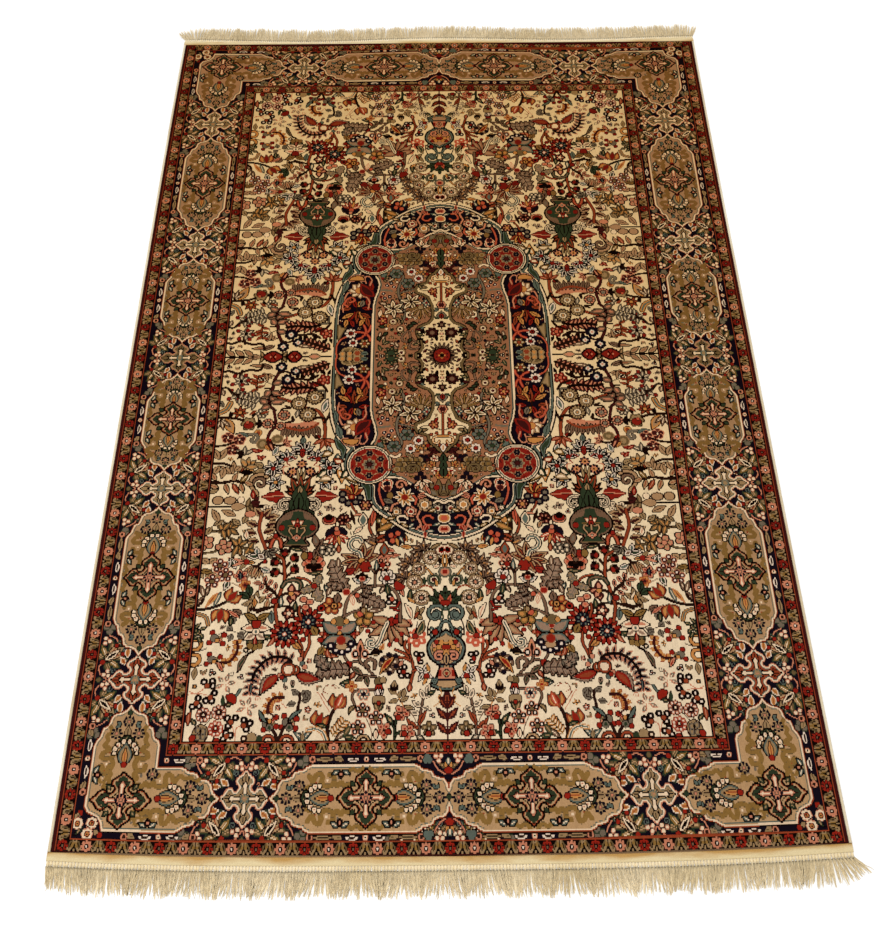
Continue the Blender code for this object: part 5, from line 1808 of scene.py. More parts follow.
def side_navy(p):
    """Flowers of the navy cartouche along the medallion's long side."""
    p.stem([(206, -10), (208, 8), (208, 26), (200, 42), (186, 50), (174, 58)], 3.0, [(0.6, BROWN), CORAL])
    for d, n in ((180, 60), (150, 34), (212, 30)):
        p.leaf(203, 6, n, 30 if d == 180 else 14, d, [(1.0, BLACK), KHAKI, (-3.4, MOSS)])
    for x in (182, 196):
        p.disc(x, 6, 6.4, [(1.0, BROWN), KHAKI, (-3, GOLD)])
    p.lobed(167, 7, 8.5, 6, [(0.8, BROWN), KHAKI, (-2.6, RUST)], notch=0.2)
    p.leaf(146, 7, 14, 10, 0, [(0.8, BLACK), TEAL])
    p.burst(153, 31, (-120, -60, 0, 60, 120, 180), 8, [(0.8, BROWN), OCHRE], length=12)
    p.disc(153, 31, 4, RUST)
    for x, y, r in ((176, 33, 9.5), (181, 57, 11)):
        p.lobed(x, y, r, 8, WHITE, notch=0.2)
        p.ring(x, y, r * 0.78, 8, 1.1, BLACK, 22)
        p.disc(x, y, r * 0.4, [(1.0, BLACK), CRIMSON, (-2.4, BLACK)])
    p.stems(([(150, 56), (160, 46), (168, 42)], [(150, 56), (143, 46), (142, 38)],
             [(150, 56), (144, 66), (142, 76)], [(150, 56), (152, 68), (156, 78)],
             [(150, 56), (162, 60), (172, 60)]), 3.2, [(0.7, CRIMSON), CORAL])
    p.region([(206, 40), (208, 78), (198, 72), (190, 74), (196, 60)], [(0.8, BLACK), MOSS, (-2.2, KHAKI)],
             smooth=True)
    rust_tree(p)
    red_wing(p)


def end_navy(p):
    """Flowers of the navy segment at the medallion's end."""
    for i in range(9):
        p.leaf(71, 322, 21, 8.5, 40 * i, [(1.1, BLACK), CREAM, (-2.2, GOLD)])
    p.disc(71, 322, 6, [(1.0, GOLD), CRIMSON])
    p.burst(48, 320, (-150, 180, 150), 6, ROSE, length=16)
    p.curl(79, 296, 11, 180, [(1.2, BROWN), ROSE], width=3.6, turns=1.1)
    p.stem([(96, 300), (96, 288), (106, 285), (114, 292), (110, 302)], 5.0,
           [(1.0, BLACK), CREAM, (-1.4, CORAL)])
    p.disc(103, 303, 6, [(0.8, ROSE), MAROON])
    p.stem([(116, 290), (118, 308), (114, 326), (108, 340)], 3.6, [(0.8, MAROON), CORAL])
    p.disc(98, 318, 5.6, [(0.8, BROWN), OCHRE], ry=7)
    p.leaf(110, 326, 20, 10, 160, [(0.8, BLACK), GREY])
    for i, (x, y, r) in enumerate(((35, 338, 14), (12, 346, 11), (60, 352, 12), (86, 352, 10),
                                   (104, 345, 7))):
        ringed_yarns = ((TAN, CREAM, GOLD), (GREY, CREAM, CRIMSON), (ROSE, CREAM, CRIMSON))[i % 3]
        p.ring(x, y, r * 0.55, 7, r * 0.4, [(0.9, BLACK), ringed_yarns[0]])
        p.disc(x, y, r * 0.5, [(0.8, BLACK), ringed_yarns[1], (-2, ringed_yarns[2])])
    for points, yarn in (([(44, 352), (48, 364), (42, 378), (50, 388)], ROSE),
                         ([(66, 366), (74, 360), (84, 364), (80, 374), (70, 374)], CREAM),
                         ([(20, 366), (28, 360), (38, 366), (34, 378), (24, 380)], CORAL),
                         ([(52, 336), (50, 326), (56, 318)], CORAL),
                         ([(96, 350), (92, 338), (84, 334)], ROSE),
                         ([(18, 334), (10, 330), (2, 334)], CREAM)):
        p.stem(points, 3.6, [(1.0, BLACK), yarn])
    p.disc(2, 366, 7.5, [(1.2, CREAM), GOLD, (-3, CORAL)])
    p.disc(3, 388, 6.5, [(0.9, CREAM), ROSE, (-3, CRIMSON)])
    p.burst(34, 392, (-60, -90, -120, 90), 5, [(0.7, ROSE), CRIMSON], length=13)
    for x, y, d in ((14, 356, -60), (54, 376, 40), (64, 384, -30), (18, 392, 0), (88, 364, 10),
                    (28, 352, 200), (6, 376, 20)):
        p.leaf(x, y, 16, 6, d, [(0.9, BLACK), (0, TEAL if x % 4 else OCHRE)])


def filigree(p, places, stem, leaf, tip):
    """Small leafy scrolls that fill a ground; each place is x, y, turn and size."""
    for x, y, turn, size in places:
        q = p.at(x, y, turn, size)
        q.stem([(0, 0), (7, 4), (14, 3), (18, -3), (14, -7), (10, -4)], 2.4, [(0.7, BLACK), stem])
        for u, v, d in ((4, 3, 70), (13, 4, 40), (8, 2, -60)):
            q.leaf(u, v, 10, 5.5, d, [(0.6, BLACK), leaf])
        q.disc(0, 0, 3.2, [(0.6, BLACK), tip])


MEDALLION_SCROLLS = [                    # x, y, turn, size; then stem, leaf and tip yarns
    ([(44, 20, 60, 1.0), (92, 56, 150, 0.9), (70, 92, -20, 1.0), (122, 150, 200, 0.8), (54, 172, 10, 1.0),
      (120, 200, 180, 0.9), (70, 236, 200, 0.8), (24, 168, 60, 0.8)], TAN, GREEN, CRIMSON),
    ([(62, 18, 20, 0.9), (110, 68, 60, 0.9), (52, 94, 120, 0.9), (110, 100, -40, 0.8), (84, 150, 80, 0.9),
      (90, 190, 20, 0.8), (40, 225, -70, 0.9), (30, 262, -50, 0.8)], KHAKI, GOLD, CREAM),
    ([(86, 36, -60, 0.9), (122, 84, 100, 0.8), (82, 112, 10, 0.8), (36, 144, 30, 0.9), (72, 168, -10, 0.9),
      (104, 206, 120, 0.8), (84, 262, -20, 0.9), (56, 296, 160, 0.9)], STONE, RUST, NAVY),
]


def salmon_flowers(p):
    """Flowers, vine and scrolls on the medallion's salmon ground."""
    for places, stem, leaf, tip in MEDALLION_SCROLLS:
        filigree(p, places, stem, leaf, tip)
    p.stem([(80, 218), (78, 200), (85, 182), (88, 164), (84, 146), (78, 126), (73, 106), (76, 92)], 4.0,
           [(0.9, BROWN), GREY])
    p.stem([(48, 184), (54, 172), (68, 166), (82, 162)], 2.6, [(0.7, BROWN), GREY])
    for x, y, turn in ((61, 137, 10), (97, 119, 25)):
        for i in range(6):
            p.leaf(x, y, 17, 6, turn + 60 * i + 30, CRIMSON if i % 2 else GREEN)
        for i in range(6):
            p.leaf(x, y, 23, 8.2, turn + 60 * i, [(1.4, BLACK), CREAM, (-2.1, OCHRE if i % 2 else MOSS)])
        p.disc(x, y, 3, BROWN)
    for x, y, r in ((83, 67, 7), (97, 86, 7.4), (80, 8, 8)):
        p.lobed(x, y, r, 8, [(0.9, BROWN), KHAKI], notch=0.12)
        p.disc(x, y, r * 0.46, [(1.0, CREAM), MAROON])
    for x, y in ((46, 199), (61, 217)):
        p.lobed(x, y, 9.5, 8, [(0.9, BROWN), WHITE], notch=0.24)
        p.disc(x, y, 3.6, [(1.0, BLACK), CRIMSON])
    blossom(p, 118, 88, 10, [(0.9, BROWN), CRIMSON], GOLD)
    p.discs(((105, 151), (115, 147), (118, 159), (97, 177), (111, 181), (102, 187)), 4.4,
            [(0.9, ROSE), NAVY, (-2.8, WHITE)])
    p.stem([(100, 166), (110, 168), (120, 168)], 4.0, GREY)
    for i in range(8):
        p.leaf(100, 8, 15, 8, 45 * i + 10, [(0.9, BLACK), GREEN])
    p.disc(100, 8, 6, [(0.8, BROWN), GREEN])
    for x, y, d in ((90, 28, 20), (104, 36, -30), (116, 30, 100), (86, 22, 60), (120, 12, 70), (118, 40, 110),
                    (122, 60, -80)):
        p.leaf(x, y, 16, 6.5, d, [(0.8, BROWN), (0, TAUPE if x % 4 else GREEN)])
    p.stems(([(68, 62), (78, 50), (78, 38), (70, 34)], [(52, 34), (62, 46), (64, 58)],
             [(42, 22), (54, 16), (66, 20), (62, 30)]), 3.2, [(0.7, BROWN), TAUPE])
    p.leaves(((66, 78, -90), (56, 80, -40), (62, 84, 200), (60, 44, -60), (108, 60, -50), (126, 50, -100),
              (112, 72, 10)), 8, [BLACK, (-1.6, GREEN)], length=15)
    p.stem([(58, 106), (58, 98), (68, 98), (70, 106), (64, 110)], 3.6, [(0.9, BROWN), CREAM])
    p.leaf(122, 116, 18, 7, -78, [(1.0, BROWN), CREAM])
    p.leaf(126, 136, 17, 8, 200, [(1.2, BLACK), TAUPE])
    for i in range(9):
        p.leaf(42, 126, 34, 4.2, -90 - 64 + 16 * i, [(0.7, BROWN), (0, TAN if i % 2 else OCHRE)])
    p.disc(42, 122, 5, [(0.8, BROWN), KHAKI])
    p.leaf(20, 132, 18, 6, -34, [(0.9, BROWN), CREAM])
    blossom(p, 30, 134, 9, [(0.8, BROWN), TEAL], CRIMSON)
    for x, y in ((68, 186), (92, 212)):
        blossom(p, x, y, 13, [(0.9, BROWN), TEAL, (-2.4, GREY)], [(0.8, BROWN), GREEN], petals=6)
    p.leaf(96, 200, 20, 6, -30, [(0.8, BROWN), TAUPE])
    blossom(p, 29, 211, 12, [(0.8, BROWN), TAUPE, (-2.4, GOLD)], CRIMSON, petals=6)
    p.leaves(((2, 214, 20), (6, 226, -20), (20, 226, 60)), 10, [(0.8, BLACK), MAROON], length=24)
    p.discs(((32, 235), (41, 234), (36, 242)), 4, [(0.7, BROWN), NAVY])
    p.stem([(80, 230), (88, 236), (98, 232)], 4.4, [(1.0, BROWN), CREAM])
    for i in range(3):
        for j in range(5):
            x, y = 44 + 9 * j + 3 * i, 242 + 10 * i
            p.disc(x, y, 6.6, [(0.8, BROWN), (0, MOSS if (i + j) % 2 else KHAKI), (-2.6, OCHRE)], ry=5.8)
    p.curl(58, 262, 13, 160, [(0.9, BROWN), MOSS], width=4.2, turns=1.2)
    p.discs(((42, 272), (36, 281), (49, 281)), 4.6, [(0.8, BROWN), NAVY])
    p.burst(38, 286, (40, 80, 120, 160), 7, [(1.1, BROWN), CREAM], length=20)
    for x, y, r, yarn in ((16, 240, 8, CREAM), (21, 252, 7, GOLD), (14, 266, 8, CREAM), (8, 276, 8, GOLD)):
        blossom(p, x, y, r, [(0.9, BROWN), yarn], CRIMSON)
    for y in (234, 248, 262):
        p.leaf(0, y + 18, 24, 13, -90, [(1.0, BLACK), GREEN])
    p.burst(10, 318, ((-150, 24), (-120, 30), (-92, 34), (-60, 30), (-30, 24)), 12,
            [(1.0, BROWN), MOSS, (-2.8, GREY)])
    p.disc(13, 302, 5, [(0.8, BROWN), CRIMSON])
    p.leaf(24, 316, 22, 6, -64, [(0.8, BROWN), ROSE])


IVORY_HEART = [
    (50, -3), (50, 3), (42, 9), (36, 20), (39, 38), (46, 50), (48, 60), (44, 70), (35, 76), (25, 80),
    (17, 91), (15, 107),
    (18, 130), (26, 150), (38, 158), (49, 163), (51, 170), (47, 178), (38, 182), (26, 187), (25, 196),
    (21, 204), (11, 213),
    (2, 224), (-12, 224), (-12, -3),
]


def heart_rosette(p, x, y, r, petals=8):
    """A taupe eye in a ring of black and maroon petals."""
    p.ring(x, y, r * 0.76, petals, r * 0.31, [(UNLINED, BLACK), BLACK, (-r * 0.17, MAROON)], 22)
    p.disc(x, y, r * 0.62, [BLACK, (-1.2, MAROON), (-r * 0.26, TAUPE)])


def ivory_heart(p):
    """The lobed ivory centre of the medallion with its dark-red rosette."""
    p.region(IVORY_HEART, [(3.4, BLACK), (2.2, MOSS), (-0.8, BLACK), (-1.8, IVORY)])
    for i in range(20):
        p.leaf(0, 0, 31, 4.8, 18 * i + 9, [(1.0, BLACK), TAUPE, (-1.2, BLACK)])
    p.disc(0, 0, 17.5, [(1.0, BLACK), MAROON, (-1.4, CRIMSON)])
    p.ring(0, 0, 11.5, 8, 1.8, MAROON, 22)
    p.ring(0, 0, 4.6, 4, 2.6, [(UNLINED, GOLD), GOLD], 0)
    p.disc(0, 0, 3.6, BLACK)
    heart_rosette(p, 19, 57, 13.5)
    heart_rosette(p, 0, 77, 9.5, 6)
    for x, y, n, d, yarn in ((36, 50, 14, 20, GREEN), (34, 56, 16, 50, BLACK), (40, 64, 12, 10, MAROON),
                             (38, 42, 10, -10, BLACK),
                             (33, 30, 9, 60, BLACK), (40, 2, 9, 20, BLACK), (36, 8, 10, 130, MAROON),
                             (28, 38, 9, -60, RUST),
                             (10, 38, 10, 90, BLACK), (34, 70, 10, -10, TEAL), (6, 92, 9, 30, GREEN)):
        p.leaf(x, y, n, n * 0.42, d, [(0.9, BLACK), yarn])
    p.leaf(0, 92, 20, 18, 90, [(1.0, BROWN), GREY, (-3.2, TEAL)])
    p.leaf(0, 93, 13, 9, 90, [(0.9, BROWN), CRIMSON])
    p.lobed(0, 128, 9, 6, [(1.0, BLACK), ROSE, (-2.6, MAROON)], notch=0.2)
    for side_turn in (28, -24):
        p.leaf(6, 116, 9, 4, side_turn, [(0.8, BROWN), TEAL])
    p.stem([(0, 138), (0, 160), (0, 190)], 3.4, [(0.8, BROWN), RUST])
    p.stem([(3, 176), (14, 172), (22, 166), (34, 166), (44, 170)], 2.2, BROWN)
    blossom(p, 17, 164, 9, [(0.9, BROWN), RUST], GOLD)
    p.leaf(28, 174, 16, 6, 10, [(1.0, BLACK), MOSS])
    p.leaf(40, 172, 13, 5.5, 60, [(0.9, BLACK), GREEN])
    p.leaf(10, 148, 12, 5, 60, [(0.9, BROWN), CRIMSON])
    p.stem([(2, 190), (10, 190), (18, 194), (18, 203), (11, 206), (7, 201)], 3.4,
           [(0.8, BROWN), GOLD, (-1.2, CREAM)])
    p.discs(((22, 186), (12, 183), (6, 210)), 2.8, [(0.8, BROWN), RUST])
    p.leaf(0, 206, 20, 10, 90, [(1.0, BROWN), WHITE, (-3, GOLD)])


def medallion(p):
    medallion_ground(p)
    side_navy(p)
    end_navy(p)
    roundel(p)
    salmon_flowers(p)
    ivory_heart(p)


# ---------------------------------------------------------------- small sprigs on bare ground

def leafy_sprig(q, line, yarns):
    q.stem([(-8, 3), (-2, -1), (4, 0), (8, -3)], 1.8, line)
    for u, v, d in ((-4, 0, 70), (1, -1, -70), (3, 0, 55), (6, -1, -20)):
        q.leaf(u, v, 7.5, 4.6, d, line_and(yarns[0], line, 0.6))


def berry_trio(q, line, yarns):
    for u, v in ((-4.6, 3), (0, -4.6), (5, 3)):
        q.disc(u, v, 3.9, [line, (-2.2, yarns[1])])
    q.disc(0, 0.4, 2.2, yarns[2])


def small_flower(q, line, yarns):
    blossom(q, 0, 0, 8, [(0.8, line), yarns[2]], yarns[1])


def leafy_curl(q, line, yarns):
    q.curl(0, 0, 7, 30, [(0.7, line), yarns[0]], width=2.6, turns=1.1)
    q.leaf(5, 4, 7, 4.4, 60, line_and(yarns[3], line, 0.6))


def leaf_pair(q, line, yarns):
    q.pair(-5, 0, 14, 6.4, 0, 32, [(0.9, line), yarns[3], (-1.8, yarns[0])])
    q.disc(-5, 0, 2.4, yarns[2])


SPRIGS = [leafy_sprig, berry_trio, leaf_pair, leafy_curl, leafy_sprig, small_flower]

# For each ground, how far around a spot it has to be bare, and the yarns of the sprigs: line, then leaf,
# light, heart and second leaf
GROUNDS = [
    (IVORY, (12.0, 9.6, 7.8, 6.4), BLACK, [(STONE, WHITE, CRIMSON, GREEN), (GOLD, WHITE, RUST, TEAL),
                                           (TAUPE, WHITE, ROSE, KHAKI)]),
    (SALMON, (8.4, 6.6, 5.4, 4.6, 4.0), BLACK, [(GREEN, CREAM, CRIMSON, TAN), (OCHRE, CREAM, NAVY, TEAL),
                                                (TAN, CREAM, MAROON, MOSS)]),
    (NAVY, (8.6, 6.8, 5.4), MAROON, [(TAN, CREAM, CRIMSON, MOSS), (ROSE, CREAM, GOLD, TEAL)]),
]


def fill_bare(p, ground, reach, line, yarns, width=FIELD_X, length=FIELD_Y):
    """Ties a sprig at each spot of the ground that is still bare as far as reach."""
    ink, xs, ys = p.chart.ink, p.chart.xs, p.chart.ys
    across = int(reach / HALF_WIDTH * KNOTS_ACROSS)
    along = int(reach / HALF_LENGTH * KNOTS_ALONG)
    count = 0
    for row in range(0, int(np.searchsorted(ys, length - reach)), 2):
        for col in range(across - 3, int(np.searchsorted(xs, width - reach)), 2):
            if ink[row, col] != ground:
                continue
            around = ink[max(0, row - along):row + along + 1, max(0, col - across):col + across + 1]
            if (around != ground).any():
                continue
            sprig = SPRIGS[count % len(SPRIGS)]
            sprig(p.at(xs[col], ys[row], 137.5 * count, reach / 11.5), line, yarns[count % len(yarns)])
            count += 1


HEART_REACH, HEART_WIDTH, HEART_LENGTH = 4.6, 60, 235
BORDER_REACHES = (8.0, 6.4, 5.2)


def fill_grounds(p):
    for ground, reaches, line, yarns in GROUNDS:
        for reach in reaches:
            fill_bare(p, ground, reach, line, yarns)
    fill_bare(p, IVORY, HEART_REACH, BROWN, GROUNDS[0][3], HEART_WIDTH, HEART_LENGTH)


def draw_rug(place, end):
    """The whole quarter of the design, as it is at the front or the back end."""
    field_ends(place)
    field_middle(place)
    medallion(place)
    fill_grounds(place)
    borders(place, end == "front")
    ground, _, line, yarns = GROUNDS[-1]
    for reach in BORDER_REACHES:
        fill_bare(place, ground, reach, line, yarns, HALF_WIDTH, HALF_LENGTH)


# ---------------------------------------------------------------- from the chart to a mesh

MOST_SHIFT = 2.6                        # a colour's edge may slip this far from row to row, in mm
FAINT = 66                              # a lone knot this close to its neighbour in colour joins it
RIM_EDGE = HALF_WIDTH - 1.4             # where the pile's rounded rim starts
LEAST_AREA = 1e-6                       # twice the area under which a triangle is dropped


def merge_faint(ink):
    """Gives each lone knot the yarn of a neighbour that it can hardly be told from."""
    dyes = np.array([colour for _, colour in YARNS], float)
    left, middle, right = ink[:, :-2], ink[:, 1:-1], ink[:, 2:]
    to_left = np.abs(dyes[left] - dyes[middle]).sum(-1)
    to_right = np.abs(dyes[right] - dyes[middle]).sum(-1)
    lone = (left != middle) & (middle != right) & (np.minimum(to_left, to_right) < FAINT)
    merged = ink.copy()
    merged[:, 1:-1][lone] = np.where(to_left < to_right, left, right)[lone]
    return merged


def row_edges(row, xs):
    """The places in a row where the yarn changes, and the rim's edge: (x, yarn left of it, yarn right)."""
    changes = np.nonzero(row[1:] != row[:-1])[0]
    step = xs[1] - xs[0]
    edges = [(xs[i] + step / 2, int(row[i]), int(row[i + 1])) for i in changes]
    if all(abs(RIM_EDGE - e[0]) > step * 0.6 for e in edges):
        i = int(np.searchsorted(xs, RIM_EDGE))
        edges.append((RIM_EDGE, int(row[i - 1]), int(row[i])))
    return sorted(edges)


def matched(upper, lower):
    """Pairs of edges, one in each row, that carry on the same change of colour."""
    pairs, start = [], 0
    for i, (x, left, right) in enumerate(upper):
        best = None
        for k in range(start, len(lower)):
            gap = lower[k][0] - x
            if gap > MOST_SHIFT:
                break
            if abs(gap) <= MOST_SHIFT and lower[k][1] == left and lower[k][2] == right:
                if best is None or abs(gap) < abs(lower[best][0] - x):
                    best = k
        if best is not None:
            pairs.append((i, best))
            start = best + 1
    return pairs


def join_line(upper, lower):
    """The points of the line between two rows: their x, and where each row's edges are among them."""
    pairs = matched(upper, lower)
    xs, of_upper, of_lower = [], {}, {}
    stops = pairs + [(len(upper), len(lower))]
    i0 = k0 = 0
    least = -math.inf
    for i1, k1 in stops:
        last = i1 == len(upper)
        most = math.inf if last else (upper[i1][0] + lower[k1][0]) / 2
        loose = sorted([*((upper[i][0], 0, i) for i in range(i0, i1)),
                        *((lower[k][0], 1, k) for k in range(k0, k1))])
        for x, side, at in loose:
            x = min(max(x, least), most)
            (of_lower if side else of_upper)[at] = len(xs)
            xs.append(x)
        if not last:
            of_upper[i1] = of_lower[k1] = len(xs)
            xs.append(most)
            least = most
        i0, k0 = i1 + 1, k1 + 1
    return xs, of_upper, of_lower


def run_mesh(chart):
    """Triangles for a chart's rows of runs: (points, triangles, yarns, rows)."""
    ink, xs = merge_faint(chart.ink), chart.xs
    rows = [row_edges(row, xs) for row in ink]
    first, last = rows[0], rows[-1]
    lines = [([e[0] for e in first], None, {i: i for i in range(len(first))})]
    lines += [join_line(upper, lower) for upper, lower in zip(rows, rows[1:])]
    lines.append(([e[0] for e in last], {i: i for i in range(len(last))}, None))
    points, start = [], []
    for y, (line, _, _) in zip(np.linspace(0, HALF_LENGTH, len(ink) + 1), lines):
        start.append(len(points))
        points += [(0.0, y), *((x, y) for x in line), (HALF_WIDTH, y)]
    tris, yarns, rows_of = [], [], []
    for j, edges in enumerate(rows):
        above, below = start[j], start[j + 1]
        top_of, bottom_of = lines[j][2], lines[j + 1][1]
        at_top, at_bottom = 0, 0
        for e in range(len(edges) + 1):
            if e < len(edges):
                next_top, next_bottom, yarn = top_of[e] + 1, bottom_of[e] + 1, edges[e][1]
            else:
                next_top, next_bottom, yarn = len(lines[j][0]) + 1, len(lines[j + 1][0]) + 1, edges[-1][2]
            run = [(above + t, above + t + 1, below + at_bottom) for t in range(at_top, next_top)]
            run += [(below + b + 1, below + b, above + next_top) for b in range(at_bottom, next_bottom)]
            tris += run
            yarns += [yarn] * len(run)
            rows_of += [j] * len(run)
            at_top, at_bottom = next_top, next_bottom
    points, tris, yarns, rows_of = (np.array(made) for made in (points, tris, yarns, rows_of))
    a, b, c = points[tris].transpose(1, 0, 2)
    area = (b - a)[:, 0] * (c - a)[:, 1] - (c - a)[:, 0] * (b - a)[:, 1]
    keep = np.abs(area) > LEAST_AREA
    return points, tris[keep], yarns[keep], rows_of[keep]


# ---------------------------------------------------------------- the rug's shape

PILE_WIDTH = 1.22
PILE_LENGTH = 1.88
PILE_THICKNESS = 0.005
RIM_DROP = 0.0012
ROLL_DEPTH = 0.00012
CREASE_DEPTH, CREASE_Y, CREASE_WIDTH = 0.0002, -0.42, 0.012
FRONT_BOW = 0.0125                      # how far the front end bows outwards
BACK_WAVE = 0.0045
BACK_WAVE_LENGTH = 0.62
SIDE_BOW = 0.003                        # how far both sides sway to the left at mid-length
EDGE_GAP = 0.0003                       # between neighbouring pieces
SELVEDGE_WIDTH = 0.005
SELVEDGE_HEIGHT = 0.0046
BAND_DEPTH = {"front": 0.013, "back": 0.014}
BAND_THICKNESS = 0.0022
KNOT_STRIP_DEPTH = 0.008
KNOT_STRIP_THICKNESS = 0.0028
LOCK_LENGTH = {"front": 0.038, "back": 0.031}
CORNER_FAN = {
    ("front", -1): (0.93, math.radians(-6)),
    ("front", 1): (0.94, math.radians(58)),
    ("back", -1): (0.94, math.radians(46)),
    ("back", 1): (0.95, math.radians(36)),
}
FAN_SHORTENING = 0.2
LEAN_DRIFT = [(math.radians(7), 1.45, 0.6), (math.radians(4), 4.9, 0.0), (math.radians(10), 15.7, 1.0)]
HALF_W = PILE_WIDTH / 2
HALF_L = PILE_LENGTH / 2
BAND_HALF_WIDTH = HALF_W + EDGE_GAP + SELVEDGE_WIDTH
END_SIGN = {"front": -1, "back": 1}
SIDE_NAMES = {-1: "left", 1: "right"}

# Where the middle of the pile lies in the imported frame: its box is a little off its own middle
PILE_LOW, PILE_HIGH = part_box("pile")
SHIFT_X = (PILE_LOW.x + PILE_HIGH.x) / 2 + SIDE_BOW / 2
SHIFT_Y = (PILE_LOW.y + PILE_HIGH.y) / 2 + (FRONT_BOW - BACK_WAVE) / 2


def end_bulge(end, x):
    """How far the pile's end lies beyond its nominal length, at the width x."""
    if end == "front":
        return FRONT_BOW * (1 - np.minimum(np.abs(x) / HALF_W, 1) ** 3)
    return BACK_WAVE * np.cos(2 * math.pi * x / BACK_WAVE_LENGTH)


def side_sway(y):
    return SIDE_BOW * (1 - np.minimum(np.abs(y) / HALF_L, 1) ** 4)


def on_rug(x, y):
    """Packed-frame x and y of a point of the rug as if it were a straight rectangle."""
    share = np.minimum(np.abs(y) / HALF_L, 1) ** 8
    bulge = np.where(y < 0, -end_bulge("front", x), end_bulge("back", x))
    return x - side_sway(y) + SHIFT_X, y + bulge * share + SHIFT_Y


def beyond_end(end, x, distance):
    """Packed-frame x and y at a distance outside the pile's front or back edge."""
    x = np.asarray(x, float)
    return x + SHIFT_X, END_SIGN[end] * (HALF_L + end_bulge(end, x) + distance) + SHIFT_Y


def waviness(x, y):
    """Small rises and falls of the pile's surface, never above the thickness."""
    roll = np.sin(5.1 * x + 1.3 * np.sin(3.7 * y)) * np.sin(4.3 * y + 0.8)
    crease = np.exp(-(((y - CREASE_Y + 0.03 * np.sin(4 * x)) / CREASE_WIDTH) ** 2))
    return -ROLL_DEPTH * (1 - roll) - CREASE_DEPTH * (1 - crease)


# ---------------------------------------------------------------- meshes

def mesh_from(name, points, faces, dyes=None, uv=None, smooth=False, shades=None):
    """A mesh of triangles (or quads) from arrays, with one colour a face (a dye with its painted nap light
    and shade) and one map place a corner.
    """
    points = np.asarray(points, np.float32)
    faces = np.asarray(faces, np.int32)
    mesh = bpy.data.meshes.new(name)
    count, sides = faces.shape
    mesh.vertices.add(len(points))
    mesh.vertices.foreach_set("co", points.ravel())
    mesh.loops.add(count * sides)
    mesh.loops.foreach_set("vertex_index", faces.ravel())
    mesh.polygons.add(count)
    mesh.polygons.foreach_set("loop_start", np.arange(0, count * sides, sides, dtype=np.int32))
    mesh.update(calc_edges=True)
    mesh.polygons.foreach_set("use_smooth", np.full(count, smooth))
    if shades is not None:
        layer = mesh.attributes.new("shade", "FLOAT", "POINT")
        layer.data.foreach_set("value", np.asarray(shades, np.float32))
    if dyes is not None:
        layer = mesh.attributes.new("dye_and_nap_light", "FLOAT_COLOR", "FACE")
        layer.data.foreach_set("color", np.c_[dyes, np.ones(count)].astype(np.float32).ravel())
    if uv is not None:
        layer = mesh.uv_layers.new(name="OFBake")
        layer.data.foreach_set("uv", np.asarray(uv, np.float32)[faces.ravel()].ravel())
    mesh.validate()
    return mesh


def facing(faces, flip):
    """The faces, turned round where flip is true."""
    return faces[:, ::-1] if flip else faces


def grid_faces(rows, columns, closed=False):
    """Quads of a grid of points; closed joins each row's last point to its first."""
    at = np.arange(rows * columns).reshape(rows, columns)
    if closed:
        at = np.concatenate([at, at[:, :1]], 1)
    return np.stack([at[:-1, :-1], at[:-1, 1:], at[1:, 1:], at[1:, :-1]], -1).reshape(-1, 4)


def add_piece(name, mesh, look, nodes):
    mesh.materials.append(look)
    piece = bpy.data.objects.new(name, mesh)
    bpy.context.scene.collection.objects.link(piece)
    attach(piece, "root")
    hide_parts(*nodes)
    return piece


def linear(colour):
    """Linear light of 0-255 sRGB values."""
    share = np.asarray(colour, float) / 255
    return np.where(share <= 0.04045, share / 12.92, ((share + 0.055) / 1.055) ** 2.4)


# ---------------------------------------------------------------- pile

TILE_CUT = KNOTS_ALONG // 3             # the row of the chart where the middle tiles end
ON_EDGE = 0.01                          # a point this close to the pile's edge lies on it, in mm
MAP_MARGIN, MAP_REACH = 0.012, 0.976    # where a tile's map starts in its square, and its size
WALL_PUSH = 0.01                        # how far the walls' feet lie outside it

# Painted light and shade of the silk's nap on each primary along the rug: paler at the front, its far end
# darker and more golden
NAP_LIGHT_GAINS = {
    "y": (-0.94, -0.62, 0.12, 0.66, 0.94),
    "red": (0.74, 0.76, 0.70, 0.65, 0.60),
    "green": (0.70, 0.72, 0.62, 0.52, 0.48),
    "blue": (0.78, 0.80, 0.56, 0.40, 0.36),
}


def tone(y):
    """The gain on red, green and blue at a place along the rug: the painted light and shade of the nap, with
    the bands of each dyeing.
    """
    bands = 1 + 0.018 * np.sin(23 * y + 1.1) + 0.012 * np.sin(61 * y) + 0.010 * np.sin(140 * y + 2)
    return np.stack([np.interp(y, NAP_LIGHT_GAINS["y"], NAP_LIGHT_GAINS[name]) * bands for name in ("red", "green", "blue")], 1)
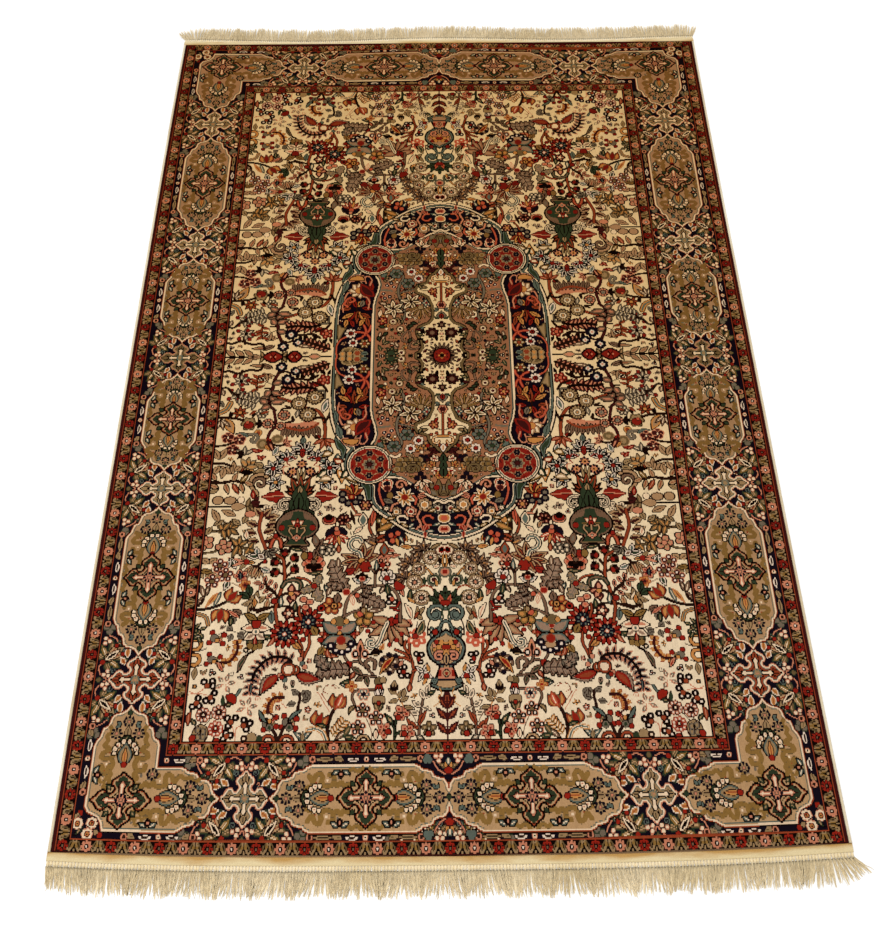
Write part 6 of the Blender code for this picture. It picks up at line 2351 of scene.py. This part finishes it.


# Further gains on single yarns from the front to the back end: more painted light and shade of the nap, which
# reads differently in each yarn
NAP_LIGHT_BY_YARN = {
    TAN: ((-0.94, -0.6, 0.0, 0.94), (1.0, 0.86, 0.74, 0.84), (1.0, 0.83, 0.69, 0.76),
          (0.98, 0.82, 0.73, 0.9)),
    OCHRE: ((-0.94, -0.6, 0.0, 0.94), (0.94, 0.8, 0.69, 0.78), (0.94, 0.79, 0.66, 0.71),
            (1.0, 0.86, 0.77, 0.93)),
    CRIMSON: ((-0.94, -0.4, 0.3, 0.94), (1.0, 0.8, 0.62, 0.58), (1.0, 0.74, 0.62, 0.6), (0.9, 0.8, 0.7, 0.8)),
    SALMON: ((-0.94, -0.4, 0.1, 0.94), (0.96, 0.94, 0.86, 0.84), (0.92, 0.86, 0.8, 0.8),
             (0.82, 0.74, 0.72, 0.8)),
    BROWN: ((-0.94, -0.4, 0.94), (1.0, 0.62, 0.6), (1.0, 0.52, 0.6), (1.0, 0.45, 0.4)),
    RUST: ((-0.94, -0.4, 0.94), (1.0, 0.8, 0.76), (1.0, 0.76, 0.74), (1.0, 0.76, 0.7)),
    CORAL: ((-0.94, -0.4, 0.94), (1.0, 0.84, 0.8), (1.0, 0.8, 0.78), (1.0, 0.8, 0.76)),
    WHITE: ((-0.94, -0.4, 0.3, 0.94), (0.94, 0.9, 0.86, 0.8), (0.92, 0.88, 0.84, 0.8),
            (0.88, 0.86, 0.86, 0.86)),
    IVORY: ((-0.94, -0.45, -0.25, 0.0, 0.3, 0.5, 0.94), (1.0, 1.0, 0.99, 0.95, 0.95, 1.0, 1.0),
            (1.0, 1.0, 0.95, 0.87, 0.87, 0.98, 0.97), (1.02, 0.98, 0.88, 0.74, 0.74, 0.92, 0.84)),
    BLACK: ((-0.94, 0.0, 0.94), (0.9, 0.6, 1.0), (0.75, 0.4, 0.9), (0.6, 0.3, 0.6)),
    NAVY: ((-0.94, -0.4, 0.0, 0.94), (1.0, 1.0, 0.75, 1.0), (1.0, 0.95, 0.6, 0.9), (1.0, 0.95, 0.75, 0.8)),
}


def dye_with_nap_light(yarns, y):
    # each yarn's dye times the painted light and shade of the nap along the rug
    dyes = linear([colour for _, colour in YARNS])[yarns] * tone(y)
    for yarn, (places, *gains) in NAP_LIGHT_BY_YARN.items():
        mine = yarns == yarn
        for primary, gain in enumerate(gains):
            dyes[mine, primary] *= np.interp(y[mine], places, gain)
    return dyes


def pile_tile(name, quarters, look, side, part):
    """One of the six pieces of the pile. quarters holds (mesh of a chart, its way along y)."""
    points, faces, yarns = [], [], []
    for (pts, tris, ids, rows), way in quarters:
        chosen = rows < TILE_CUT if part == 0 else rows >= TILE_CUT
        faces.append(facing(tris[chosen], side * way < 0) + sum(len(p) for p in points))
        points.append(pts * (side, way))
        yarns.append(ids[chosen])
    points, faces, yarns = np.concatenate(points), np.concatenate(faces), np.concatenate(yarns)
    # weld, and keep only what the faces use
    used = np.unique(faces)
    _, first, back = np.unique(np.round(points[used], 5), axis=0, return_index=True, return_inverse=True)
    renumber = np.zeros(len(points), int)
    renumber[used] = back.reshape(-1)
    points = points[used[first]]
    faces = renumber[faces]
    flat = (faces[:, 0] != faces[:, 1]) & (faces[:, 1] != faces[:, 2]) & (faces[:, 2] != faces[:, 0])
    faces, yarns = faces[flat], yarns[flat]
    # rim and walls
    inset = np.minimum(HALF_WIDTH - np.abs(points[:, 0]), HALF_LENGTH - np.abs(points[:, 1]))
    x, y = on_rug(points[:, 0] / 1000, points[:, 1] / 1000)
    z = PILE_THICKNESS + waviness(points[:, 0] / 1000, points[:, 1] / 1000) - RIM_DROP * (inset < ON_EDGE)
    low, high = points.min(0), points.max(0)
    uv = MAP_MARGIN + MAP_REACH * (points - low) / (high - low)
    solid = np.stack([x, y, z], 1)
    # face colours: the dyes with the painted light and shade of the nap
    dyes = dye_with_nap_light(yarns, points[faces, 1].mean(1) / 1000)
    faces, dyes, solid, uv = add_walls(points, faces, dyes, solid, uv, side)
    mesh = mesh_from(name, solid, faces, dyes, uv)
    return add_piece(name, mesh, look, ["pile"])


def add_walls(points, faces, dyes, solid, uv, side):
    """Drops the pile's outer edges to the floor."""
    sides = [(np.nonzero(np.abs(points[:, 0]) > HALF_WIDTH - ON_EDGE)[0], 1, (WALL_PUSH * side, 0))]
    for way in (-1, 1):
        sides.append((np.nonzero(points[:, 1] * way > HALF_LENGTH - ON_EDGE)[0], 0, (0, WALL_PUSH * way)))
    for rim, axis, push in sides:
        if len(rim) < 2:
            continue
        rim = rim[np.argsort(points[rim, axis])]
        feet = solid[rim].copy()
        feet[:, 2] = 0
        base = len(solid) + np.arange(len(rim))
        solid = np.concatenate([solid, feet])
        uv = np.concatenate([uv, uv[rim] + push])
        a, b, c, d = rim[:-1], rim[1:], base[1:], base[:-1]
        outward = push[0] > 0 or push[1] < 0
        one, two = (np.stack([m, k, n] if outward else [k, m, n], 1) for k, m, n in ((a, b, c), (a, c, d)))
        corner_colour = np.zeros((len(points), 3))
        for k in range(3):
            corner_colour[faces[:, k][faces[:, k] < len(points)]] = dyes[faces[:, k] < len(points)]
        wall_colour = (corner_colour[a] + corner_colour[b]) / 2
        faces = np.concatenate([faces, one, two])
        dyes = np.concatenate([dyes, wall_colour, wall_colour])
    return faces, dyes, solid, uv


def make_pile(look):
    tiles = []
    meshes = {}
    for end in ("front", "back"):
        chart = Chart()
        draw_rug(Place(chart), end)
        meshes[end] = run_mesh(chart)
    for side, side_name in SIDE_NAMES.items():
        middle = [(meshes["back"], 1), (meshes["front"], -1)]
        tiles.append(pile_tile(f"pile_middle_{side_name}", middle, look, side, 0))
        for end, way in (("front", -1), ("back", 1)):
            tiles.append(pile_tile(f"pile_{end}_{side_name}", [(meshes[end], way)], look, side, 1))
    return tiles


UNDERSIDE_CUTS = 11
UNDERSIDE_RISE = 0.0001


def make_underside(look, side, third):
    """One sixth of the knotted back of the rug, which rests on the floor."""
    low = -HALF_L + third * PILE_LENGTH / 3
    x, y = on_rug(*np.meshgrid(np.linspace(0, side * HALF_W, UNDERSIDE_CUTS),
                               np.linspace(low, low + PILE_LENGTH / 3, UNDERSIDE_CUTS)))
    points = np.stack([x, y, np.full_like(x, UNDERSIDE_RISE)], -1).reshape(-1, 3)
    faces = facing(grid_faces(*x.shape), side > 0)
    shares = np.linspace(0.01, 0.99, UNDERSIDE_CUTS)
    uv = np.stack(np.meshgrid(shares, shares), -1).reshape(-1, 2)
    name = f"underside_{third}_{SIDE_NAMES[side]}"
    mesh = mesh_from(name, points, faces, uv=uv)
    return add_piece(name, mesh, look, ["pile"])


# ---------------------------------------------------------------- end bands, cords and fringes

BAND_CUTS = 97
WEFT_RIBS = [                           # share of the band's depth, share of its thickness
    (0.0, 0.1), (0.0, 0.9), (0.06, 1.0), (0.2, 0.9), (0.32, 1.0), (0.45, 0.9), (0.57, 1.0), (0.7, 0.88),
    (0.83, 0.98), (0.95, 0.85), (1.0, 0.6), (1.0, 0.1),
]


def make_band(end, side, look):
    """Half of the flat-woven strip beside an end of the pile, with a rib for each weft."""
    across = np.linspace(0, side * BAND_HALF_WIDTH, BAND_CUTS)
    rows, shades = [], []
    for share, rise in WEFT_RIBS:
        shades.append(np.full(len(across), share))
        x, y = beyond_end(end, across, EDGE_GAP + share * BAND_DEPTH[end])
        ripple = 0.05 * np.sin(across * 900 + share * 20)
        z = BAND_THICKNESS * np.clip(rise + ripple * (rise > 0.5), 0.05, 1)
        rows.append(np.stack([x, y, z], 1))
    points = np.concatenate(rows)
    faces = facing(grid_faces(len(WEFT_RIBS), BAND_CUTS), END_SIGN[end] * side > 0)
    name = f"band_{end}_{SIDE_NAMES[side]}"
    mesh = mesh_from(name, points, faces, smooth=True, shades=np.concatenate(shades))
    return add_piece(name, mesh, look, [f"kilim_{end}"])


CORD_CUTS, CORD_SIDES = 150, 8
THREAD_PITCH = 0.0026


def make_selvedge(side, part, look):
    """A third of the cord along a long side, wrapped with thread."""
    stop = HALF_L + BACK_WAVE * math.cos(2 * math.pi * HALF_W / BACK_WAVE_LENGTH)
    cuts = np.linspace(-HALF_L, stop, 4)
    ys = np.linspace(cuts[part], cuts[part + 1], CORD_CUTS)
    angles = np.linspace(0, 2 * math.pi, CORD_SIDES, endpoint=False)
    wrap = np.abs(np.sin(math.pi * ys[:, None] / THREAD_PITCH + angles[None, :] * 0.5 * side))
    bulk = 0.93 + 0.07 * wrap + 0.02 * np.sin(ys[:, None] * 170 + 3 * side)
    bulk = np.minimum(bulk, 1.0)
    out = EDGE_GAP + SELVEDGE_WIDTH / 2 + SELVEDGE_WIDTH / 2 * np.cos(angles)[None, :] * bulk
    z = SELVEDGE_HEIGHT / 2 * (1 + np.sin(angles)[None, :] * bulk)
    x = side * (HALF_W + out) - side_sway(ys)[:, None] + SHIFT_X
    y = np.broadcast_to(ys[:, None] + SHIFT_Y, x.shape)
    points = np.stack([x, y, z], -1).reshape(-1, 3)
    faces = facing(grid_faces(CORD_CUTS, CORD_SIDES, closed=True), side < 0)
    node = f"selvedge_{SIDE_NAMES[side]}"
    name = f"{node}_{part}"
    mesh = mesh_from(name, points, faces, smooth=True)
    return add_piece(name, mesh, look, [node])


def lock_turn(end, x):
    side = 1 if x > 0 else -1
    begins, last_turn = CORNER_FAN[end, side]
    share = max(0.0, (abs(x) / BAND_HALF_WIDTH - begins) / (1 - begins))
    return side * last_turn * share, share


def drift_at(x):
    return sum(size * math.sin(2 * math.pi * waves * x + phase) for size, waves, phase in LEAN_DRIFT)


def tube(path, radii, points, faces):
    """Adds a three-sided yarn along the path to the lists."""
    first = len(points)
    path = np.asarray(path)
    ahead = np.gradient(path, axis=0)
    ahead /= np.linalg.norm(ahead, axis=1)[:, None]
    aside = np.cross(ahead, (0, 0, 1))
    aside /= np.linalg.norm(aside, axis=1)[:, None]
    up = np.cross(aside, ahead)
    for place, a, b, radius in zip(path, aside, up, radii):
        points.append(place + radius * (0.9 * a - 0.5 * b))
        points.append(place + radius * (-0.9 * a - 0.5 * b))
        points.append(place + radius * b)
    for k in range(len(path) - 1):
        for i in range(3):
            j = (i + 1) % 3
            at = first + 3 * k
            faces.append((at + i, at + j, at + 3 + j, at + 3 + i))


BUNDLE_PITCH = 0.005
BUNDLE_WIDTH = 0.0027
YARNS_PER_BUNDLE = 4
KINK_STEP = 0.0047
TUCK = 0.001                            # how far the yarns start under the row of knots
LIFT = {"front": 0.0, "back": 0.0055}   # how much higher the loose ends lie than their roots
FRINGE_SEEDS = {"front": 21, "back": 34}
KNOT_SEEDS = {"front": 51, "back": 64}
KNOT_GIRTHS = ((0.0, 0.7), (0.12, 0.98), (0.5, 1.0), (0.8, 0.95), (1.0, 0.5))   # share along it, girth
FRINGE_REACH = {"front": 1.13, "back": 1.38}
TUFT_WIDTHS = (0.0050, 0.0050, 0.0052, 0.0048, 0.0012)
# Painted shade along each tuft: near black at the root, where the slots between bundles lie in shadow, then
# yarn in shadow
TUFT_SHADES = (0.06, 0.5, 0.86, 0.93, 0.96)
TUFT_PLACES = (0.0, 0.05, 0.13, 0.5, 1.0)


def ribbon(path, widths, points, faces):
    """Adds a flat strip along the path to the lists, two points a step."""
    first = len(points)
    path = np.asarray(path)
    ahead = np.gradient(path, axis=0)
    aside = np.cross(ahead / np.linalg.norm(ahead, axis=1)[:, None], (0, 0, 1))
    for place, a, width in zip(path, aside, widths):
        points.append(place - a * width / 2)
        points.append(place + a * width / 2)
    for k in range(len(path) - 1):
        at = first + 2 * k
        faces.append((at, at + 1, at + 3, at + 2))


def make_fringe(end, side, look):
    """Half of an end's fringe: wavy yarns over a flat tuft for each bundle; the tuft stands for the mass of
    yarn below and is coloured as yarn in shadow, with painted dark shade at its root.
    """
    draw = random.Random(FRINGE_SEEDS[end] + side)
    sign = END_SIGN[end]
    points, faces, shades = [], [], []
    root = EDGE_GAP + BAND_DEPTH[end] + EDGE_GAP + KNOT_STRIP_DEPTH - TUCK
    bundles = round(BAND_HALF_WIDTH / BUNDLE_PITCH)
    for number in range(bundles):
        middle = side * (number + 0.5) * BAND_HALF_WIDTH / bundles
        turn, fan = lock_turn(end, middle)
        lean = drift_at(middle) + draw.uniform(-0.06, 0.06)
        long = LOCK_LENGTH[end] * FRINGE_REACH[end] * (1 - FAN_SHORTENING * fan) * draw.uniform(0.86, 1.06)
        x, y = (float(v) for v in beyond_end(end, middle, root))
        tuft = [(x, y, 0.0004)]
        for near, far in zip(TUFT_PLACES, TUFT_PLACES[1:]):
            angle = turn + lean * (0.5 + 0.6 * near)
            x += math.sin(angle) * long * 0.94 * (far - near)
            y += sign * math.cos(angle) * long * 0.94 * (far - near)
            tuft.append((x, y, 0.0004 + LIFT[end] * 0.8 * far))
        ribbon(tuft, TUFT_WIDTHS, points, faces)
        shades += np.repeat(TUFT_SHADES, 2).tolist()
        for yarn in range(YARNS_PER_BUNDLE):
            share = (yarn + 0.5) / YARNS_PER_BUNDLE - 0.5
            x0 = middle + share * BUNDLE_WIDTH + draw.uniform(-0.0003, 0.0003)
            steps = max(5, int(long * draw.uniform(0.85, 1.05) / KINK_STEP))
            heading = turn + lean * 0.5 + draw.uniform(-0.08, 0.08)
            x, y = (float(v) for v in beyond_end(end, x0, root))
            high = draw.uniform(0.2, 1.0)
            splay = share * draw.uniform(0.1, 0.7)
            start, pace = draw.uniform(0, 6.3), draw.uniform(0.7, 1.5)
            path = [(x, y, 0.0016)]
            for k in range(1, steps + 1):
                t = k / steps
                angle = heading + (lean * 0.6 + splay) * t + draw.uniform(-0.05, 0.05)
                kink = 0.0008 * t ** 0.5 * math.sin(start + pace * k)
                x += math.sin(angle) * KINK_STEP
                y += sign * math.cos(angle) * KINK_STEP
                z = (0.0007 + 0.0013 * high * (1 - 0.5 * t) + 0.0002 * math.sin(k * 1.7 + yarn)
                     + LIFT[end] * t * (1.3 - 0.5 * t))
                path.append((x + kink * math.cos(angle), y - sign * kink * math.sin(angle), z))
            radii = np.interp(np.linspace(0, 1, len(path)), (0, 0.1, 0.8, 1),
                              (0.0002, 0.0005, 0.00046, 0.0002))
            tube(path, radii * draw.uniform(0.85, 1.15), points, faces)
            # painted shade at each yarn's root, gone after a tenth of its length; then a random tone for each
            # yarn
            tones = np.interp(np.arange(len(path)) / steps, (0, 0.1, 1), (0.84, 1, 1))
            shades += np.repeat(tones * draw.uniform(0.86, 1.08), 3).tolist()
    name = f"fringe_{end}_{SIDE_NAMES[side]}"
    faces = facing(np.array(faces), sign > 0)
    mesh = mesh_from(name, np.array(points), faces, smooth=True, shades=shades)
    return add_piece(name, mesh, look, [f"fringe_{end}"])


def make_knots(end, side, look):
    """Half of the row of knots that closes off an end, one rounded knot a bundle."""
    draw = random.Random(KNOT_SEEDS[end] + side)
    points, faces, shades = [], [], []
    inner = EDGE_GAP + BAND_DEPTH[end]
    bundles = round(BAND_HALF_WIDTH / BUNDLE_PITCH)
    pitch = BAND_HALF_WIDTH / bundles
    around = np.linspace(-1, 1, 5)
    for number in range(bundles):
        middle = side * (number + 0.5) * pitch
        wide = pitch * draw.uniform(0.44, 0.50)
        high = KNOT_STRIP_THICKNESS * draw.uniform(0.78, 1.0)
        long = KNOT_STRIP_DEPTH * draw.uniform(0.95, 1.12)
        skew = draw.uniform(-0.0005, 0.0005)
        first = len(points)
        for share, size in KNOT_GIRTHS:
            for a in around:
                x, y = beyond_end(end, middle + a * wide * size + skew * share, inner + share * long)
                z = high * (0.25 + 0.75 * math.sqrt(max(0, 1 - a * a))) * size
                points.append((float(x), float(y), z if abs(a) < 1 else 0.0002))
                # painted shade: the last part of each knot, where it narrows and drops to the fringe, is
                # darker
                shades.append(1.0 if share < 0.7 else 0.82)
        faces.append(grid_faces(len(KNOT_GIRTHS), len(around)) + first)
    name = f"fringe_knots_{end}_{SIDE_NAMES[side]}"
    faces = facing(np.concatenate(faces), END_SIGN[end] > 0)
    mesh = mesh_from(name, np.array(points), faces, smooth=True, shades=shades)
    return add_piece(name, mesh, look, [f"fringe_{end}"])


# ---------------------------------------------------------------- materials

class Look:
    """A material and short calls for its nodes."""

    def __init__(self, name, roughness, sheen, **fixed):
        self.material = bpy.data.materials.new(name)
        self.material.use_nodes = True
        self.tree = self.material.node_tree
        self.shader = self.tree.nodes["Principled BSDF"]
        self.shader.inputs["Roughness"].default_value = roughness
        self.shader.inputs["Sheen Weight"].default_value = sheen
        self.shader.inputs["Sheen Roughness"].default_value = 0.45
        self.shader.inputs["Specular IOR Level"].default_value = fixed.get("specular", 0.3)
        self.place = self.node("ShaderNodeTexCoord").outputs["Object"]

    def node(self, kind, **inputs):
        made = self.tree.nodes.new(kind)
        for name, value in inputs.items():
            socket = made.inputs[name.replace("_", " ")]
            if isinstance(value, bpy.types.NodeSocket):
                self.tree.links.new(value, socket)
            else:
                socket.default_value = value
        return made

    def link(self, value, name):
        self.tree.links.new(value, self.shader.inputs[name])

    def mesh_value(self, name):
        """A value that the mesh holds for each of its points."""
        made = self.node("ShaderNodeAttribute")
        made.attribute_name = name
        return made.outputs["Fac"]

    def scaled(self, scale):
        """Object coordinates stretched by scale on each axis."""
        return self.node("ShaderNodeMapping", Vector=self.place, Scale=scale).outputs["Vector"]

    def noise(self, scale, detail=2.0, place=None):
        return self.node("ShaderNodeTexNoise", Vector=place or self.place, Scale=scale,
                         Detail=detail).outputs["Fac"]

    def spread(self, value, low, high):
        """Maps the middle of a noise onto low to high."""
        ranged = self.node("ShaderNodeMapRange", Value=value, From_Min=0.3, From_Max=0.7, To_Min=low,
                           To_Max=high)
        return ranged.outputs["Result"]

    def times(self, colour, factor):
        """A colour multiplied by a grey factor."""
        made = self.tree.nodes.new("ShaderNodeMix")
        made.data_type = "RGBA"
        made.blend_type = "MULTIPLY"
        made.inputs[0].default_value = 1
        for socket, value in ((made.inputs[6], colour), (made.inputs[7], factor)):
            self.tree.links.new(value, socket)
        return made.outputs[2]

    def mixed(self, share, one, other):
        made = self.tree.nodes.new("ShaderNodeMix")
        made.data_type = "RGBA"
        for socket, value in ((made.inputs[0], share), (made.inputs[6], one), (made.inputs[7], other)):
            if isinstance(value, bpy.types.NodeSocket):
                self.tree.links.new(value, socket)
            else:
                socket.default_value = value
        return made.outputs[2]

    def bump(self, height, strength, distance):
        made = self.node("ShaderNodeBump", Height=height, Strength=strength, Distance=distance)
        self.link(made.outputs["Normal"], "Normal")


def pile_look():
    """Cut silk: the chart's dyes with their painted nap light and shade, knot grain, painted sheen streaks
    along the nap and slow mottling.
    """
    look = Look("silk_pile", 0.7, 0.0, specular=0.0)
    dye_and_nap_light = look.node("ShaderNodeAttribute")
    dye_and_nap_light.attribute_name = "dye_and_nap_light"
    colour = dye_and_nap_light.outputs["Color"]
    knots = look.noise(1.0, 2.0, look.scaled((650, 760, 100)))
    sheen_streaks = look.noise(1.0, 3.0, look.scaled((160, 34, 30)))
    clouds = look.noise(6.0, 3.0)
    colour = look.times(colour, look.spread(knots, 0.86, 1.12))
    # painted sheen: streaks along the nap make the colour lighter and darker
    colour = look.times(colour, look.spread(sheen_streaks, 0.93, 1.06))
    colour = look.times(colour, look.spread(clouds, 0.94, 1.05))
    look.link(colour, "Base Color")
    look.link(look.spread(sheen_streaks, 0.5, 0.68), "Roughness")
    look.bump(knots, 0.35, 0.0006)
    return look.material


THREADS = {                             # two tones, scale of the relief, roughness, sheen
    "knotted_back": ((176, 142, 100), (140, 106, 74), (700, 700, 100), 0.85, 0.0),
    "warp_ends": ((238, 220, 183), (218, 197, 153), (900, 400, 300), 0.75, 0.05),
    "edge_cord": ((220, 206, 176), (190, 168, 130), (700, 1200, 400), 0.75, 0.05),
}
BAND_TONES = ((176, 134, 72), (208, 188, 144))
FLOOR_GREYS = (0.90, 0.92)


def woven_look(name, shaded=False):
    """Undyed thread: two tones, fine thread relief and slow stains; with shaded, darker by the painted shade
    that the mesh holds.
    """
    one, other, scale, roughness, sheen = THREADS[name]
    look = Look(name, roughness, sheen)
    tones = look.noise(9.0, 4.0)
    threads = look.noise(1.0, 2.0, look.scaled(scale))
    colour = look.mixed(look.spread(tones, 0, 1), (*linear(one), 1), (*linear(other), 1))
    colour = look.times(colour, look.spread(threads, 0.82, 1.1))
    # painted shade held by the mesh
    if shaded:
        colour = look.times(colour, look.mesh_value("shade"))
    look.link(colour, "Base Color")
    look.link(look.spread(threads, roughness - 0.1, roughness + 0.08), "Roughness")
    look.bump(threads, 0.5, 0.0005)
    return look.material


def band_look():
    """Flat weave: pale at its outer edge, stained gold in patches beside the pile."""
    look = Look("flat_weave", 0.8, 0.0)
    stains = look.spread(look.noise(1.0, 4.0, look.scaled((14, 60, 10))), -0.35, 0.45)
    share = look.node("ShaderNodeMath", Value=stains)
    share.operation = "ADD"
    look.tree.links.new(look.mesh_value("shade"), share.inputs[1])
    ranged = look.node("ShaderNodeMapRange", Value=share.outputs["Value"], From_Min=0.1, From_Max=0.85)
    colour = look.mixed(ranged.outputs["Result"], *((*linear(tone), 1) for tone in BAND_TONES))
    threads = look.noise(1.0, 2.0, look.scaled((500, 1500, 100)))
    look.link(look.times(colour, look.spread(threads, 0.84, 1.1)), "Base Color")
    look.bump(threads, 0.5, 0.0005)
    return look.material


def floor_look():
    look = Look("pale_floor", 0.9, 0.0, specular=0.1)
    tones = look.noise(3.0, 4.0)
    look.link(look.mixed(look.spread(tones, 0, 1), *((grey, grey, grey, 1) for grey in FLOOR_GREYS)),
              "Base Color")
    return look.material


# ---------------------------------------------------------------- stage, light and camera

CAMERA_PLACE = (-0.0151, -1.3434, 1.7657)
CAMERA_FORWARD = (0.00458, 0.52580, -0.85059)
CAMERA_RIGHT = (0.99994, -0.01053, -0.00112)
CAMERA_LENS = 43.3
FLOOR_REACH, FLOOR_Z = 4, -0.0002
SKY_STRENGTH = 0.75
LAMPS = [                               # name, place, size, power
    ("overhead", (-0.9, -0.6, 3.0), 2.6, 60),
    ("fill", (1.6, 1.8, 2.6), 2.4, 22),
]


def make_stage():
    points = [(x * FLOOR_REACH, y * FLOOR_REACH, FLOOR_Z) for x, y in ((-1, -1), (1, -1), (1, 1), (-1, 1))]
    mesh = mesh_from("floor", points, [(0, 1, 2, 3)])
    mesh.materials.append(floor_look())
    floor = bpy.data.objects.new("floor", mesh)
    bpy.context.scene.collection.objects.link(floor)


def make_light():
    world = bpy.data.worlds.new("studio")
    bpy.context.scene.world = world
    world.use_nodes = True
    world.node_tree.nodes["Background"].inputs["Color"].default_value = (1, 1, 1, 1)
    world.node_tree.nodes["Background"].inputs["Strength"].default_value = SKY_STRENGTH
    for name, place, size, power in LAMPS:
        lamp = bpy.data.lights.new(name, "AREA")
        lamp.size = size
        lamp.energy = power
        light = bpy.data.objects.new(name, lamp)
        light.location = place
        bpy.context.scene.collection.objects.link(light)
        light.rotation_mode = "QUATERNION"
        light.rotation_quaternion = Vector(place).to_track_quat("Z", "Y")
    view = bpy.context.scene.view_settings
    view.view_transform = "Standard"
    view.look = "None"


def make_camera():
    data = bpy.data.cameras.new("camera")
    data.lens = CAMERA_LENS
    camera = bpy.data.objects.new("camera", data)
    bpy.context.scene.collection.objects.link(camera)
    right = Vector(CAMERA_RIGHT).normalized()
    forward = Vector(CAMERA_FORWARD).normalized()
    up = right.cross(forward).normalized()
    camera.matrix_world = Matrix((right, up, -forward)).transposed().to_4x4()
    camera.location = Vector(CAMERA_PLACE) + Vector((SHIFT_X, SHIFT_Y, 0))
    bpy.context.scene.camera = camera


def clear_startup():
    for name in ("Cube", "Light", "Camera"):
        if name in bpy.data.objects:
            bpy.data.objects.remove(bpy.data.objects[name])


def main():
    clear_startup()
    silk = pile_look()
    back = woven_look("knotted_back")
    weave = band_look()
    warp = woven_look("warp_ends", shaded=True)
    cord = woven_look("edge_cord")
    tiles = make_pile(silk)
    for side in (-1, 1):
        for third in range(3):
            under = make_underside(back, side, third)
    for end in ("front", "back"):
        for side in (-1, 1):
            fringe = make_fringe(end, side, warp)
            knots = make_knots(end, side, warp)
            band = make_band(end, side, weave)
    for side in (-1, 1):
        for part in range(3):
            make_selvedge(side, part, cord)
    make_stage()
    make_light()
    make_camera()


main()
